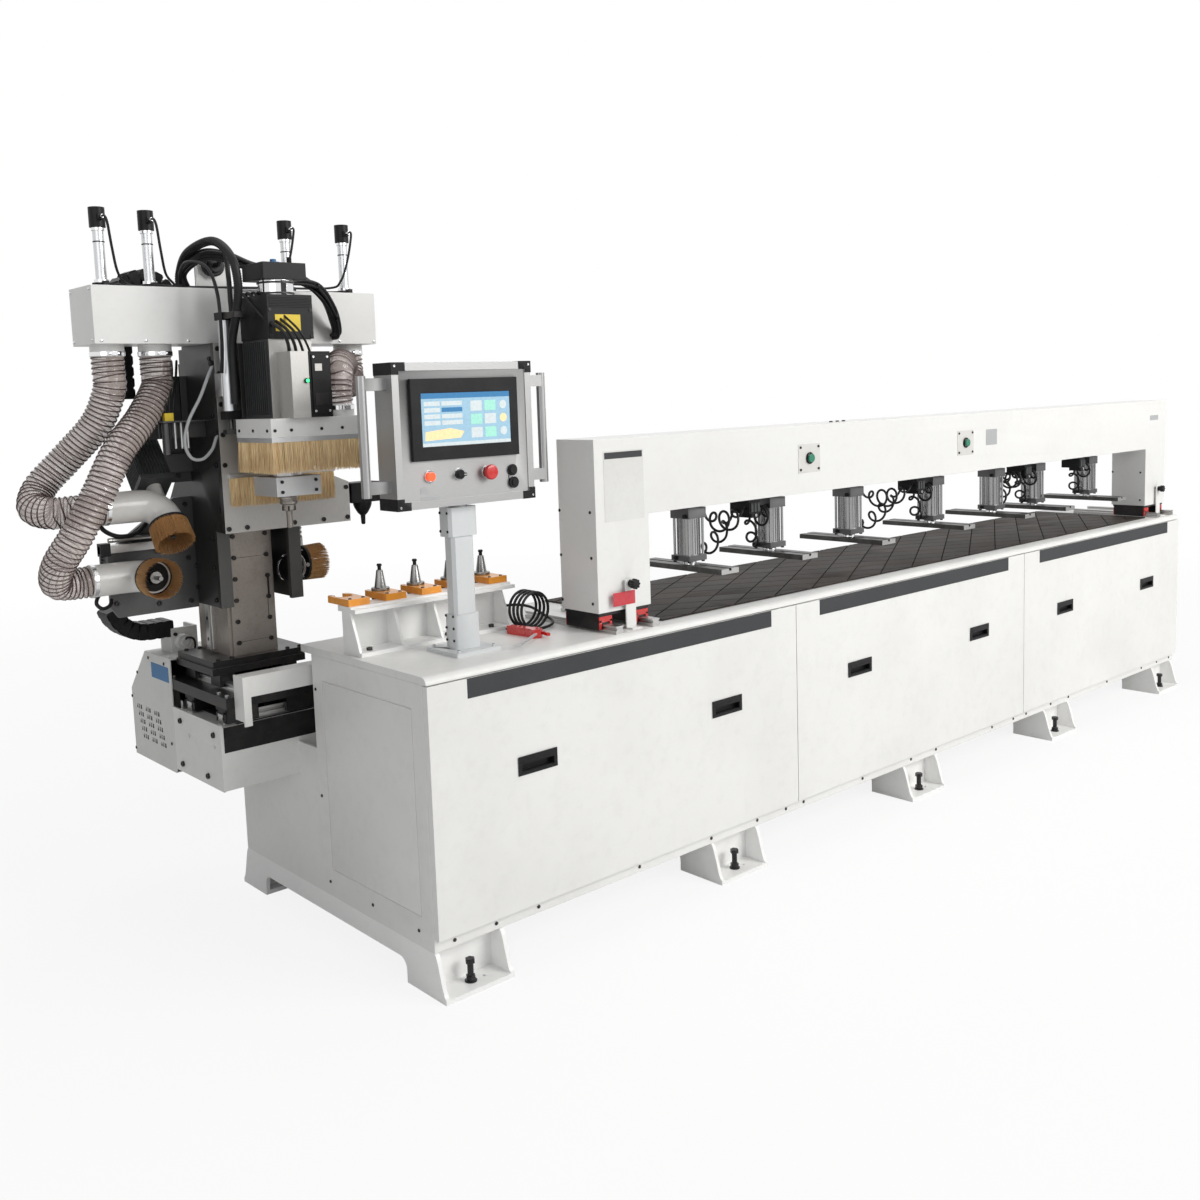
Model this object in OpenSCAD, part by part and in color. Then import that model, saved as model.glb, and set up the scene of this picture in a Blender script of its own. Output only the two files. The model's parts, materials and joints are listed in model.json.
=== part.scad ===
// CNC grooving machine: long bed with a press beam, and a travelling column
// whose head carries one vertical router and three side spindles.
// Lengths are in millimetres. X runs along the bed, Y to its rear, Z up.

/* [Bed] */
// Length of the bed
bed_len = 4230; // [3600:10:4600]
// Depth of the cabinet, front to back
cab_dep = 555; // [520:5:570]
// Height of the table surface
table_z = 815; // [800:1:830]
// Thickness of the table plate
table_th = 20; // [14:1:24]
// Overhang of the table plate behind the cabinet
table_lip = 57; // [50:1:60]
// Height of the underside of the bed frame
frame_z = 120; // [110:1:130]
// Wall of the welded bed frame
frame_wall = 8; // [6:1:12]
// Thickness of a front panel
panel_th = 18; // [14:1:22]
// Height of the strip below the panels
skirt_h = 35; // [25:1:45]
// Gap round each front panel
panel_gap = 3; // [2:0.5:5]
// Length of a recessed pull
pull_len = 120; // [100:1:140]
// Height of a recessed pull
pull_h = 40; // [34:1:46]
// Height of the pulls above the floor
pull_z = 514; // [450:1:560]
// Height of the coloured stripe along the panels
stripe_h = 54; // [40:1:60]

/* [Feet] */
// Width of a foot along the bed
foot_w = 212; // [180:1:230]
// Thickness of the plates of a foot
foot_th = 12; // [8:1:16]
// Reach of a foot in front of the cabinet
foot_toe = 22; // [15:1:40]
// Radius of a levelling bolt
level_r = 8; // [6:0.5:10]

/* [Pad] */
// Thickness of the rubber pad
pad_th = 5; // [4:0.5:8]
// Depth of the pad, front to back
pad_dep = 532; // [480:2:540]
// Spacing of the diamond grooves along the bed
groove_pitch = 190; // [170:5:220]
// Width of a groove
groove_w = 4; // [3:0.5:6]

/* [Rear base] */
// Rear face of the lower rear base
base_y1 = 1030; // [1010:1:1040]
// Top of the lower rear base
base_z1 = 440; // [400:5:460]
// Front face of the rail beam
beam_y0 = 657; // [650:1:665]
// Depth of the rail beam
beam_dep = 300; // [296:1:304]
// Top of the rail beam
beam_z1 = 616; // [610:1:622]
// Overhang of the rail beam past the near end
overhang = 222; // [215:1:230]
// Width and height of a long rail
rail_w = 30; // [26:1:32]
// Module of the rack teeth
rack_m = 5; // [4:0.5:5]
// Number of teeth of the pinion
pinion_n = 24; // [24:4:28]

/* [Saddle and column] */
// Width of the saddle plate along the bed
saddle_w = 286; // [280:1:292]
// Thickness of the saddle plate
saddle_th = 30; // [24:1:32]
// Width of the cross rails
yrail_w = 20; // [16:1:22]
// Width of the column
col_w = 145; // [140:1:150]
// Depth of the column
col_dep = 190; // [180:1:195]
// Wall of the column
col_wall = 10; // [8:1:14]
// Top of the column
col_z1 = 1480; // [1460:1:1484]
// Spacing of the bolts on the column cover
col_bolt_pitch = 60; // [55:1:64]
// Radius of the lift screw
screw_r = 10; // [8:0.5:11]

/* [Head] */
// Thickness of the head side plates
side_th = 18; // [14:1:18]
// Length of the dust manifold
man_len = 810; // [800:1:820]
// Depth of the dust manifold
man_dep = 155; // [140:1:160]
// Height of the dust manifold
man_h = 145; // [130:1:150]
// Wall of the dust manifold
man_wall = 3; // [2:0.5:4]
// Radius of the main dust outlet
outlet_r = 60; // [50:1:62]
// Length of the main dust outlet
outlet_len = 80; // [60:1:90]
// Outer radius of the dust pipes and elbows
pipe_r = 42; // [40:0.5:43]
// Wall of the dust pipes and elbows
pipe_wall = 4; // [3:0.5:5]
// Bend radius of the dust elbows
bend_r = 55; // [52:1:56]
// Height of the gate cylinders above the manifold
gate_h = 200; // [180:5:205]
// Side of a side spindle motor
side_motor = 90; // [80:1:90]
// Length of a side spindle motor
side_motor_len = 135; // [120:1:140]
// Radius of a brush ring
ring_r = 48; // [46:0.5:49]
// Length of the bristles on a brush ring
ring_bristle = 62; // [50:1:64]

/* [Router] */
// Width of the router body
router_w = 126; // [120:1:130]
// Depth of the router body
router_dep = 144; // [138:1:150]
// Length of the brush skirt along the bed
skirt_w = 260; // [256:1:264]
// Depth of the brush skirt
skirt_dep = 194; // [190:1:198]
// Length of the skirt bristles
skirt_bristle = 80; // [60:1:84]
// Radius of the nose shaft
nose_r = 15; // [12:0.5:17]

/* [Press beam] */
// Width of a leg of the beam
leg_w = 202; // [190:1:206]
// Depth of the beam
beam_d = 156; // [150:1:160]
// Top of the beam
beam_top = 1350; // [1330:1:1370]
// Height of the beam
beam_h = 219; // [200:1:225]
// Wall of the beam
beam_wall = 6; // [4:1:8]
// Side of a press cylinder
cyl_w = 76; // [70:1:80]
// Radius of the rod of a press cylinder
rod_r = 10; // [8:0.5:12]
// Width of a press bar
bar_w = 76; // [60:1:80]
// Height of a press bar
bar_h = 16; // [12:1:17]
// Length of a press bar
bar_len = 350; // [300:5:360]

/* [Control box] */
// Width of the control box
hmi_w = 432; // [410:1:440]
// Height of the control box
hmi_h = 362; // [350:1:370]
// Depth of the control box
hmi_d = 80; // [70:1:86]
// Width of the post
post_w = 70; // [60:1:74]
// Depth of the post
post_d = 42; // [36:1:46]
// Width of the screen bezel
screen_w = 332; // [300:1:340]
// Height of the screen bezel
screen_h = 203; // [190:1:210]

/* [Tool rack] */
// Spacing of the tool forks
fork_pitch = 114; // [108:1:118]
// Width of a tool fork
fork_w = 64; // [58:1:68]
// Thickness of a tool fork
fork_th = 18; // [14:1:20]
// Radius of the groove of a tool holder
holder_r = 22.7; // [20:0.1:23]

/* [Clearances] */
// Radial clearance of a shaft in its bearing
fit = 0.05; // [0.02:0.01:0.09]
// Clearance of a carriage round its rail
slide_gap = 0.3; // [0.2:0.05:0.5]

/* [Hidden] */
$fn = 48;
// Places along the bed
table_dep = cab_dep + table_lip;
frame_top = table_z - table_th;
seams = [0, 1394, 2807, bed_len];
pull_inset = 270;
stripe_inset = 118;
stripe_z = table_z - 20 - stripe_h;
panel_z0 = frame_z + skirt_h;
panel_z1 = frame_top - panel_gap;
// Feet
foot_n = 5;
foot_pitch = (bed_len - foot_w - 18) / (foot_n - 1);
foot_y1 = base_y1 + 41;
foot_pad = 150;
level_y = 44;
// Rear base and long rails
beam_y1 = beam_y0 + beam_dep;
rail_y = [beam_y0 + 33, beam_y0 + 233];
rail_x0 = 12 - overhang;
rail_x1 = bed_len - 10;
rack_y = beam_y1 - 1;
rack_th = 20;
rack_h = 20;
rack_z0 = beam_z1 + 4;
pinion_r = rack_m * pinion_n / 2;
pinion_x = -60;
pinion_y = rack_y + pinion_r;
backlash = 0.35;
// Saddle
saddle_x0 = 3 - overhang;
saddle_x1 = saddle_x0 + saddle_w;
saddle_y0 = 628;
saddle_y1 = beam_y1 + 248;
truck_z1 = beam_z1 + 54;
saddle_z1 = truck_z1 + saddle_th;
yrail_z1 = saddle_z1 + yrail_w;
yrail_x = [-160, 28];
slide_z0 = saddle_z1 + 42;
slide_z1 = slide_z0 + 20;
louvre_y0 = 979;
louvre_y1 = 1290;
louvre_z0 = beam_z1 - 197;
louvre_z1 = saddle_z1 + 57;
louvre_wall = 3;
// Column
col_x = -57;
col_x0 = col_x - col_w / 2;
col_x1 = col_x + col_w / 2;
col_y0 = 778;
col_y1 = col_y0 + col_dep;
cover_th = 10;
flange_z1 = slide_z1 + 18;
zrail_w = 23;
zrail_h = 20;
zrail_y = 870;
screw_y = 1003;
// Head
side_x0 = col_x0 - 30 - side_th;
side_x1 = col_x1 + 30 + side_th;
head_y = 660;
head_top = 1640;
head_low = 930;
plate_z0 = 1138;
front_th = 20;
man_x0 = col_x - 410;
man_y0 = 690;
man_z1 = head_top + man_h;
gate_x = [-410, -285, 110, 292];
port_y = man_y0 + man_dep / 2;
port_len = 30;
port_z = head_top - port_len;
outlet_x = 200;
outlet_z = 1712;
// Side spindles: lower left, upper left, right
low_x = -345;
low_z = 1035;
low_y = 745;
up_p = [-300, 735, 1180];
up_tilt = 50;
right_x = 116;
right_y = 815;
right_z = 1010;
wing_y = 850;
spin_r = 12;
// Router
router_x = -67;
router_y = 500;
router_y1 = 584;
router_rail_x = [-107, -27];
drop_x = -165;
drop_y = 600;
body_z0 = 1440;
fan_z0 = 1640;
fan_z1 = 1750;
skirt_x0 = -160;
skirt_y0 = 390;
skirt_z = 1380;
hood_x = 56;
hood_y = 434;
// Press beam
beam_x0 = 624;
press_y0 = 70;
press_y1 = press_y0 + beam_d;
press_y = 148;
leg_z0 = 869;
beam_z0 = beam_top - beam_h;
leg_x = [beam_x0, bed_len - leg_w];
// Places between the legs, as shares of the gap between them
legs_gap = leg_x[1] - leg_x[0] - leg_w;
function between(shares) = [for (s = shares) leg_x[0] + leg_w + legs_gap * s / 3202];
cyl_x = between([244, 620, 1046, 1552, 1990, 2314, 2775]);
cyl_z0 = 962;
cyl_z1 = 1108;
cap_h = 17;
piston_r = 28;
bar_z0 = 934;
bar_y0 = -18;
knob_z = 942;
knob_dx = 112;
knob_y = press_y0 - 8;
button_x = between([733, 1668]);
button_z = 1243;
valve_w = 50;
// Each tube pair runs from a cylinder to a valve block: cylinder, valve, curls
valve_x = between([470, 1392, 2164, 2625]);
tube_pairs = [[0, 0, 2], [1, 0, 1], [2, 1, 1], [3, 1, 1], [4, 2, 1], [5, 2, 1], [6, 3, 1]];
cross_rail_dx = [31, leg_w - 31];
cross_rail_w = 28;
cross_rail_h = 22;
cross_rail_y = [20, 420];
// Control box
post_x = 250;
post_y = 190;
hmi_x0 = post_x - hmi_w / 2;
hmi_y0 = 135;
hmi_z0 = 1204;
hmi_wall = 3;
panel_y = hmi_y0 + 2;
control_z = hmi_z0 + 79;
start_x = hmi_x0 + 98;
selector_x = hmi_x0 + 188;
estop_x = hmi_x0 + 277;
socket_x = hmi_x0 + 359;
// Tool rack
rack_x0 = 20;
rack_x1 = 520;
rack_y0 = 322;
rack_y1 = 411;
rack_top = 940;
fork_x = [for (i = [0:4]) 45 + i * fork_pitch];
fork_y = 440;
fork_z = rack_top + 5;
// Pad
pad_x = [leg_x[0] + leg_w + 34, leg_x[1] - 18];
pad_y0 = 60;
// Air hose: from the rack's socket, down round the side, four upright turns, then to the gun
hose_r = 4;
turn_r = 52;
turn_c = [540, 237.5, table_z + turn_r + 4.5];
turn_n = 4;
turn_step = 18;
hose_turns = [for (k = [0:turn_n * 24])
    turn_c + [-turn_r * sin(15 * k), turn_step * k / 24, -turn_r * cos(15 * k)]];
hose_lead = [[534, 376, 872], [544, 376, 871.8], [562, 376, 870.6], [581, 376, 868.1], [598.5, 371.3, 864.6],
             [611.3, 358.5, 860.2], [616, 341, 855.1], [616, 320, 848.8], [616, 295, 841.1],
             [616, 272.5, 834.5], [611.3, 255, 829.7], [598.5, 242.2, 825.6], [581, 237.5, 822.4],
             [562, 237.5, 820.3]];
hose_tail = [[522, 309.5, 819.7], [506, 309.5, 820.3], [496, 308.2, 821], [486, 304, 822],
             [477, 297.4, 823.4], [470.6, 289, 824.8], [467, 280, 826], [466, 270, 827]];
// Dust hoses: outer radius of a rib, of the groove beside it, and of the bore
rib_r = 42;
rib_low = 38.5;
hose_bore = 31;
hose_a = [[-410, 768, 1610], [-410, 768, 1568], [-411, 769, 1526], [-440, 800, 1440], [-510, 850, 1350],
          [-570, 865, 1285], [-600, 830, 1236], [-575, 785, 1222], [-539, 770, 1222], [-497, 770, 1222],
          [-455, 770, 1222]];
hose_b = [[-285, 768, 1610], [-285, 768, 1568], [-290, 762, 1526], [-350, 725, 1450], [-430, 690, 1370],
          [-490, 680, 1270], [-545, 695, 1170], [-580, 740, 1095], [-574, 785, 1045], [-532, 800, 1035],
          [-490, 800, 1035]];
hose_c = [[292, 768, 1610], [292, 766, 1568], [270, 730, 1530], [190, 620, 1535], [120, 510, 1575],
          [70, 445, 1560], [hood_x, hood_y, 1512], [hood_x, hood_y, 1470]];
hose_d = [[110, 768, 1610], [110, 768, 1568], [110, 772, 1520], [112, 800, 1400], [115, 845, 1260],
          [right_x, right_y + bend_r, 1164], [right_x, right_y + bend_r, 1122],
          [right_x, right_y + bend_r, 1080]];
// Cables of the head
loop_path = [[-190, 800, 1785], [-190, 800, 1830], [-190, 740, 1880], [-185, 600, 1895], [-175, 520, 1850],
             [-167, 505, 1780], [-165, 530, 1705], [-165, 562, 1640], [-165, 566, 1560], [-165, 566, 1480]];
loom_path = [[-15, 600, 1800], [20, 600, 1800], [110, 606, 1792], [168, 622, 1730],
             [196, 650, 1668], [200, 690, 1660]];

// The part's origin: middle of the footprint, on the floor
end_x0 = -638.8;
origin = [(end_x0 + bed_len) / 2, (louvre_y1 - foot_toe) / 2, 0];

// Bed coordinates: X from the near end, Y from the cabinet front, Z from the floor
module bed() {
    translate(-origin) children();
}

// A block given by its two corners
module block(a, b) {
    translate(a) cube(b - a);
}

// A cylinder from p along an axis letter
module rod(p, r, h, axis = "z") {
    turn = axis == "x" ? [0, 90, 0] : axis == "y" ? [-90, 0, 0] : [0, 0, 0];
    translate(p) rotate(turn) cylinder(r = r, h = h);
}

// A profile drawn in Y and Z, extruded along X
module along_x(x0, x1) {
    translate([x0, 0, 0]) rotate([90, 0, 90]) linear_extrude(x1 - x0) children();
}

// A profile drawn in X and Z, extruded along Y
module along_y(y0, y1) {
    translate([0, y1, 0]) rotate([90, 0, 0]) linear_extrude(y1 - y0) children();
}

// A hollow box with an even wall
module hollow(a, b, wall) {
    difference() {
        block(a, b);
        block(a + [wall, wall, wall], b - [wall, wall, wall]);
    }
}

// A carriage that straddles a rail running along X, bottom open
module truck_x(x0, len, y, w, z0, z1, rail_top) {
    difference() {
        block([x0, y - w / 2, z0], [x0 + len, y + w / 2, z1]);
        block([x0 - 1, y - rail_w / 2 - slide_gap, z0 - 1],
              [x0 + len + 1, y + rail_w / 2 + slide_gap, rail_top + slide_gap]);
    }
}

// A carriage that straddles a rail running along Y, bottom open
module truck_y(x, w, y0, len, z0, z1, rail_top, rw) {
    difference() {
        block([x - w / 2, y0, z0], [x + w / 2, y0 + len, z1]);
        block([x - rw / 2 - slide_gap, y0 - 1, z0 - 1],
              [x + rw / 2 + slide_gap, y0 + len + 1, rail_top + slide_gap]);
    }
}

// Vector helpers for swept tubes
function unit(v) = v / norm(v);
function drop(v, t) = v - t * (v * t);
// A smooth point between p[i] and p[i + 1]
function curve(p, i, t) =
    let (a = p[max(i - 1, 0)], b = p[i], c = p[i + 1], d = p[min(i + 2, len(p) - 1)])
    0.5 * (2 * b + (c - a) * t + (2 * a - 5 * b + 4 * c - d) * t * t
           + (3 * b - a - 3 * c + d) * t * t * t);
// n points spread along a smooth route through p
function route(p, n) =
    [for (k = [0:n - 1])
        let (u = k * (len(p) - 1) / (n - 1), i = min(floor(u), len(p) - 2))
        curve(p, i, u - i)];
// The main axis nearest to v: the ends of every tube stand square to the face they meet
function main_axis(v) =
    let (m = max([for (c = v) abs(c)]))
    [for (c = v) abs(c) == m ? sign(c) : 0];
function tangent(q, k) =
    k == 0 || k == len(q) - 1
        ? main_axis(q[min(k + 1, len(q) - 1)] - q[max(k - 1, 0)])
        : unit(q[k + 1] - q[k - 1]);
// Side vectors that follow the route without twisting
function sides(q, k = 0, s = undef) =
    let (t = tangent(q, k),
         first = abs(t[1]) < 0.9 ? [0, 1, 0] : [1, 0, 0],
         v = unit(drop(is_undef(s) ? first : s, t)))
    k == len(q) - 1 ? [v] : concat([v], sides(q, k + 1, v));
// Rings of points round a route, one radius for each ring
function rings(q, r, n) =
    let (s = sides(q))
    [for (k = [0:len(q) - 1])
        let (t = tangent(q, k), a = s[k], b = cross(t, a))
        for (j = [0:n - 1]) q[k] + r[k] * (a * cos(360 * j / n) + b * sin(360 * j / n))];
// Triangles between successive rings
function skin(m, n, base = 0, flip = false) =
    [for (k = [0:m - 2]) for (j = [0:n - 1])
        let (a = base + k * n + j, b = base + k * n + (j + 1) % n, c = a + n, d = b + n)
        for (f = flip ? [[a, c, b], [b, c, d]] : [[a, b, c], [b, d, c]]) f];
function fan(n, base, flip = false) =
    [for (j = [1:n - 2]) flip ? [base, base + j + 1, base + j] : [base, base + j, base + j + 1]];

// A solid tube along points q
module sweep(q, r, n = 8) {
    m = len(q);
    radii = [for (k = [0:m - 1]) r];
    polyhedron(rings(q, radii, n),
               concat(skin(m, n, 0, true), fan(n, 0), fan(n, (m - 1) * n, true)));
}

// Bed frame: welded box with three bays open to the front
module bed_frame() color("white") bed() {
    y0 = panel_th;
    w = frame_wall;
    difference() {
        block([0, y0, frame_z], [bed_len, cab_dep, frame_top]);
        for (i = [0:2]) {
            block([seams[i] + w, y0 + w, frame_z + w], [seams[i + 1] - w, cab_dep - w, frame_top - w]);
            block([seams[i] + w * 3, y0 - 1, panel_z0 + 20],
                  [seams[i + 1] - w * 3, y0 + w + 1, panel_z1 - 20]);
        }
        end_outline(-1);
        end_outline(bed_len - 3);
    }
}

// Groove that outlines the inset panel of an end face
module end_outline(x) {
    difference() {
        block([x, 69, 198], [x + 4, 506, 730]);
        block([x - 1, 72, 201], [x + 5, 503, 727]);
    }
}

// Table plate with a rounded front edge
module table_top() color("white") bed() {
    along_x(0, bed_len) {
        translate([table_th, frame_top]) square([table_dep - table_th, table_th]);
        intersection() {
            translate([table_th, frame_top]) circle(r = table_th);
            translate([0, frame_top]) square(table_th);
        }
    }
}

// Rubber pad with a diamond pattern of grooves
module table_pad() color("dimgray") bed() {
    len = pad_x[1] - pad_x[0];
    reach = pad_dep / tan(30);
    n = floor((len + reach) / groove_pitch);
    difference() {
        block([pad_x[0], pad_y0, table_z], [pad_x[1], pad_y0 + pad_dep, table_z + pad_th]);
        for (i = [0:n]) {
            x = pad_x[0] - reach + (i + 0.5) * groove_pitch;
            groove(x, 30);
            groove(x + reach, 150);
        }
    }
}

module groove(x, angle) {
    translate([x, pad_y0, table_z + pad_th - 2]) rotate(angle)
        translate([-20, -groove_w / 2, 0]) cube([pad_dep / sin(30) + 40, groove_w, 3]);
}

// Outline of the low box, stepped down at its rear, drawn in by w
function base_outline(w) =
    [[cab_dep + w, frame_z + w], [base_y1 - w, frame_z + w], [base_y1 - w, base_z1 - 32 - w],
     [base_y1 - 60 - w, base_z1 - 32 - w], [base_y1 - 60 - w, base_z1 - w], [cab_dep + w, base_z1 - w]];

// Rear base: low box behind the cabinet and the beam that carries the long rails
module rear_base() color("whitesmoke") bed() {
    w = frame_wall;
    difference() {
        union() {
            along_x(0, bed_len) polygon(base_outline(0));
            block([-overhang, beam_y0, base_z1], [bed_len, beam_y1, beam_z1]);
            block([0, cab_dep, base_z1], [w, beam_y0, base_z1 + 92]);
            block([bed_len - w, cab_dep, base_z1], [bed_len, beam_y0, base_z1 + 92]);
            block([-overhang - 6, beam_y0, base_z1 - 2], [-overhang, beam_y1 + 9, beam_z1 + 6]);
        }
        along_x(w, bed_len - w) polygon(base_outline(w));
        block([w - overhang, beam_y0 + w, base_z1 + w], [bed_len - w, beam_y1 - w, beam_z1 - w]);
        for (y = [699, 865]) rod([-overhang - 7, y, beam_z1 - 60], 6, 8, "x");
    }
}

// Outline of a foot's side plate, front toe to rear heel, with curved shoulders
module foot_outline() {
    n = 10;
    toe = [for (i = [0:n]) [-foot_toe + 44 * i / n, 14 + (frame_z - 14) * (1 - cos(180 * i / n)) / 2]];
    heel = [for (i = [n:-1:0]) [foot_y1 - 44 * i / n, 14 + (frame_z - 14) * (1 - cos(180 * i / n)) / 2]];
    arch = 64;
    difference() {
        polygon(concat([[-foot_toe, 0]], toe, heel, [[foot_y1, 0]]));
        translate([foot_pad, -1]) square([foot_y1 - foot_pad * 2, arch - 30]);
        translate([foot_pad + 30, -1]) square([foot_y1 - foot_pad * 2 - 60, arch]);
        for (y = [foot_pad + 30, foot_y1 - foot_pad - 30]) translate([y, arch - 31]) circle(r = 30);
    }
}

// Feet: two side plates, base plates and a back plate each
module feet() color("white") bed() {
    for (i = [0:foot_n - 1]) translate([i * foot_pitch, 0, 0]) {
        for (x = [0, foot_w - foot_th]) along_x(x, x + foot_th) foot_outline();
        block([foot_th, 60, foot_th], [foot_w - foot_th, 60 + foot_th, frame_z]);
        block([foot_th, foot_y1 - 110, foot_th], [foot_w - foot_th, foot_y1 - 98, frame_z]);
        foot_base(-foot_toe, foot_pad, level_y - foot_toe);
        foot_base(foot_y1 - foot_pad, foot_y1, foot_y1 - 60);
    }
}

module foot_base(y0, y1, hole_y) {
    difference() {
        block([foot_th, y0, 0], [foot_w - foot_th, y1, foot_th]);
        rod([foot_w / 2, hole_y, -1], level_r + 1, foot_th + 2);
        rod([foot_w / 2 + 40, hole_y, -1], 5, foot_th + 2);
    }
}

// Levelling bolts with their lock nuts
module levelling_bolts() color("black") bed() {
    for (i = [0:foot_n - 1]) for (y = [level_y - foot_toe, foot_y1 - 60])
        translate([i * foot_pitch + foot_w / 2, y, 0]) {
            rod([0, 0, 0.5], level_r, 62);
            rod([0, 0, foot_th], level_r * 2, 3);
            translate([0, 0, foot_th + 3]) cylinder(r = level_r * 1.6, h = 13, $fn = 6);
            translate([0, 0, 60]) cylinder(r = level_r * 1.6, h = 12, $fn = 6);
        }
}

// Outline of the rack: straight-flanked teeth facing the rear
module rack_outline() {
    p = PI * rack_m;
    n = floor((rail_x1 - rail_x0) / p / 2);
    half = (p / 2 - backlash) / 2;
    rise = tan(20);
    tip = half - rack_m * rise;
    root = half + rack_m * 1.25 * rise;
    mid = pinion_x + p / 2;
    first = ceil((rail_x0 - mid) / p) + 1;
    last = floor((rail_x1 - mid) / p) - 1;
    teeth = [for (i = [first:last]) each
        [[mid + i * p - root, rack_y - rack_m * 1.25], [mid + i * p - tip, rack_y + rack_m],
         [mid + i * p + tip, rack_y + rack_m], [mid + i * p + root, rack_y - rack_m * 1.25]]];
    polygon(concat([[rail_x0, rack_y - rack_th], [rail_x0, rack_y - rack_m * 1.25]], teeth,
                   [[rail_x1, rack_y - rack_m * 1.25], [rail_x1, rack_y - rack_th]]));
}

// Long rails with their rack
module x_rails() color("silver") bed() {
    for (y = rail_y) along_x(rail_x0, rail_x1) translate([y, beam_z1]) rail_section(rail_w, rail_w);
    translate([0, 0, beam_z1]) linear_extrude(rack_h + 4) rack_outline();
}

// Section of a profile rail standing on its base, with grooved flanks
module rail_section(w, h) {
    difference() {
        translate([-w / 2, 0]) square([w, h]);
        for (s = [-1, 1]) translate([s * w / 2, h * 0.62]) circle(r = w * 0.13);
    }
}

// Cross rails under the legs of the press beam, with the folded brackets of the clamp knobs
module beam_rails() color("silver") bed() {
    for (x = leg_x) {
        for (dx = cross_rail_dx)
            along_y(cross_rail_y[0], cross_rail_y[1]) translate([x + dx, table_z])
                rail_section(cross_rail_w, cross_rail_h);
        knob_bracket(x + knob_dx);
    }
}

module knob_bracket(x) {
    block([x - 19, 34, table_z], [x + 19, knob_y, table_z + 4]);
    difference() {
        block([x - 19, knob_y - 4, table_z], [x + 19, knob_y, knob_z + 14]);
        rod([x, knob_y - 5, knob_z], 6 + fit, 6, "y");
    }
}

// Front panel: folded sheet tray with two recessed pulls
module panel(i) {
    x0 = seams[i] + (i == 0 ? 2 : panel_gap / 2);
    x1 = seams[i + 1] - (i == 2 ? 2 : panel_gap / 2);
    pulls = [x0 + pull_inset, x1 - pull_inset - pull_len];
    difference() {
        block([x0, 0, panel_z0], [x1, panel_th, panel_z1]);
        block([x0 + 3, 3, panel_z0 + 3], [x1 - 3, panel_th + 1, panel_z1 - 3]);
        block([x0 + stripe_inset, -1, stripe_z], [x1 - stripe_inset, 1, stripe_z + stripe_h]);
        for (x = pulls) block([x, -1, pull_z], [x + pull_len, 4, pull_z + pull_h]);
    }
    for (x = pulls) pull(x);
}

// Recessed pull: a cup with a finger lip along its top
module pull(x) {
    difference() {
        block([x, -1, pull_z], [x + pull_len, panel_th, pull_z + pull_h]);
        block([x + 6, -2, pull_z + 5], [x + pull_len - 6, panel_th - 3, pull_z + pull_h - 14]);
        block([x + 6, 5, pull_z + 5], [x + pull_len - 6, panel_th - 3, pull_z + pull_h - 5]);
    }
}

module front_panel_1() color("white") bed() panel(0);
module front_panel_2() color("white") bed() panel(1);
module front_panel_3() color("white") bed() panel(2);

// Post of the control box with its base plate and two sleeves
module hmi_post() color("gainsboro") bed() {
    difference() {
        block([post_x - 70, post_y - 70, table_z], [post_x + 70, post_y + 70, table_z + 10]);
        for (x = [-56, 56]) for (y = [-56, 56]) rod([post_x + x, post_y + y, table_z - 1], 4.5, 12);
    }
    for (x = [-56, 56]) for (y = [-56, 56]) rod([post_x + x, post_y + y, table_z], 4.4, 16);
    post(post_w, post_d, table_z + 10, hmi_z0 - 8);
    post(post_w + 10, post_d + 10, table_z + 10, table_z + 100);
    post(post_w + 20, post_d + 10, hmi_z0 - 84, hmi_z0 - 8);
    rod([post_x, post_y, hmi_z0 - 8], 24, 8);
}

// A length of post with chamfered corners
module post(w, d, z0, z1) {
    c = 8;
    translate([post_x, post_y, z0]) linear_extrude(z1 - z0)
        polygon([[-w / 2 + c, -d / 2], [w / 2 - c, -d / 2], [w / 2, -d / 2 + c], [w / 2, d / 2 - c],
                 [w / 2 - c, d / 2], [-w / 2 + c, d / 2], [-w / 2, d / 2 - c], [-w / 2, -d / 2 + c]]);
}

// Control box: extruded frame, back, corner blocks and two bow handles
module hmi_case() color("silver") bed() {
    x1 = hmi_x0 + hmi_w;
    y1 = hmi_y0 + hmi_d;
    z1 = hmi_z0 + hmi_h;
    difference() {
        block([hmi_x0, hmi_y0, hmi_z0], [x1, y1, z1]);
        block([hmi_x0 + 20, hmi_y0 - 1, hmi_z0 + 20], [x1 - 20, panel_y, z1 - 20]);
        block([hmi_x0 + hmi_wall, panel_y + hmi_wall, hmi_z0 + hmi_wall],
              [x1 - hmi_wall, y1 - hmi_wall, z1 - hmi_wall]);
        for (x = [start_x, selector_x, estop_x]) rod([x, panel_y - 1, control_z], 10, 8, "y");
    }
    for (x = [hmi_x0 - 1, x1 - 39]) for (z = [hmi_z0 - 1, z1 - 29]) difference() {
        block([x, hmi_y0 - 2, z], [x + 40, y1 + 1, z + 30]);
        block([hmi_x0 + 1, hmi_y0 + 1, hmi_z0 + 1], [x1 - 1, y1 - 1, z1 - 1]);
        block([hmi_x0 + 20, hmi_y0 - 3, hmi_z0 + 20], [x1 - 20, hmi_y0 + 2, z1 - 20]);
    }
    rod([socket_x, panel_y - 5, control_z], 15, 5, "y");
    rod([socket_x + 2, panel_y - 7, control_z - 33], 15, 7, "y");
    bow_handle(hmi_x0, -1);
    bow_handle(x1, 1);
}

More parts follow.
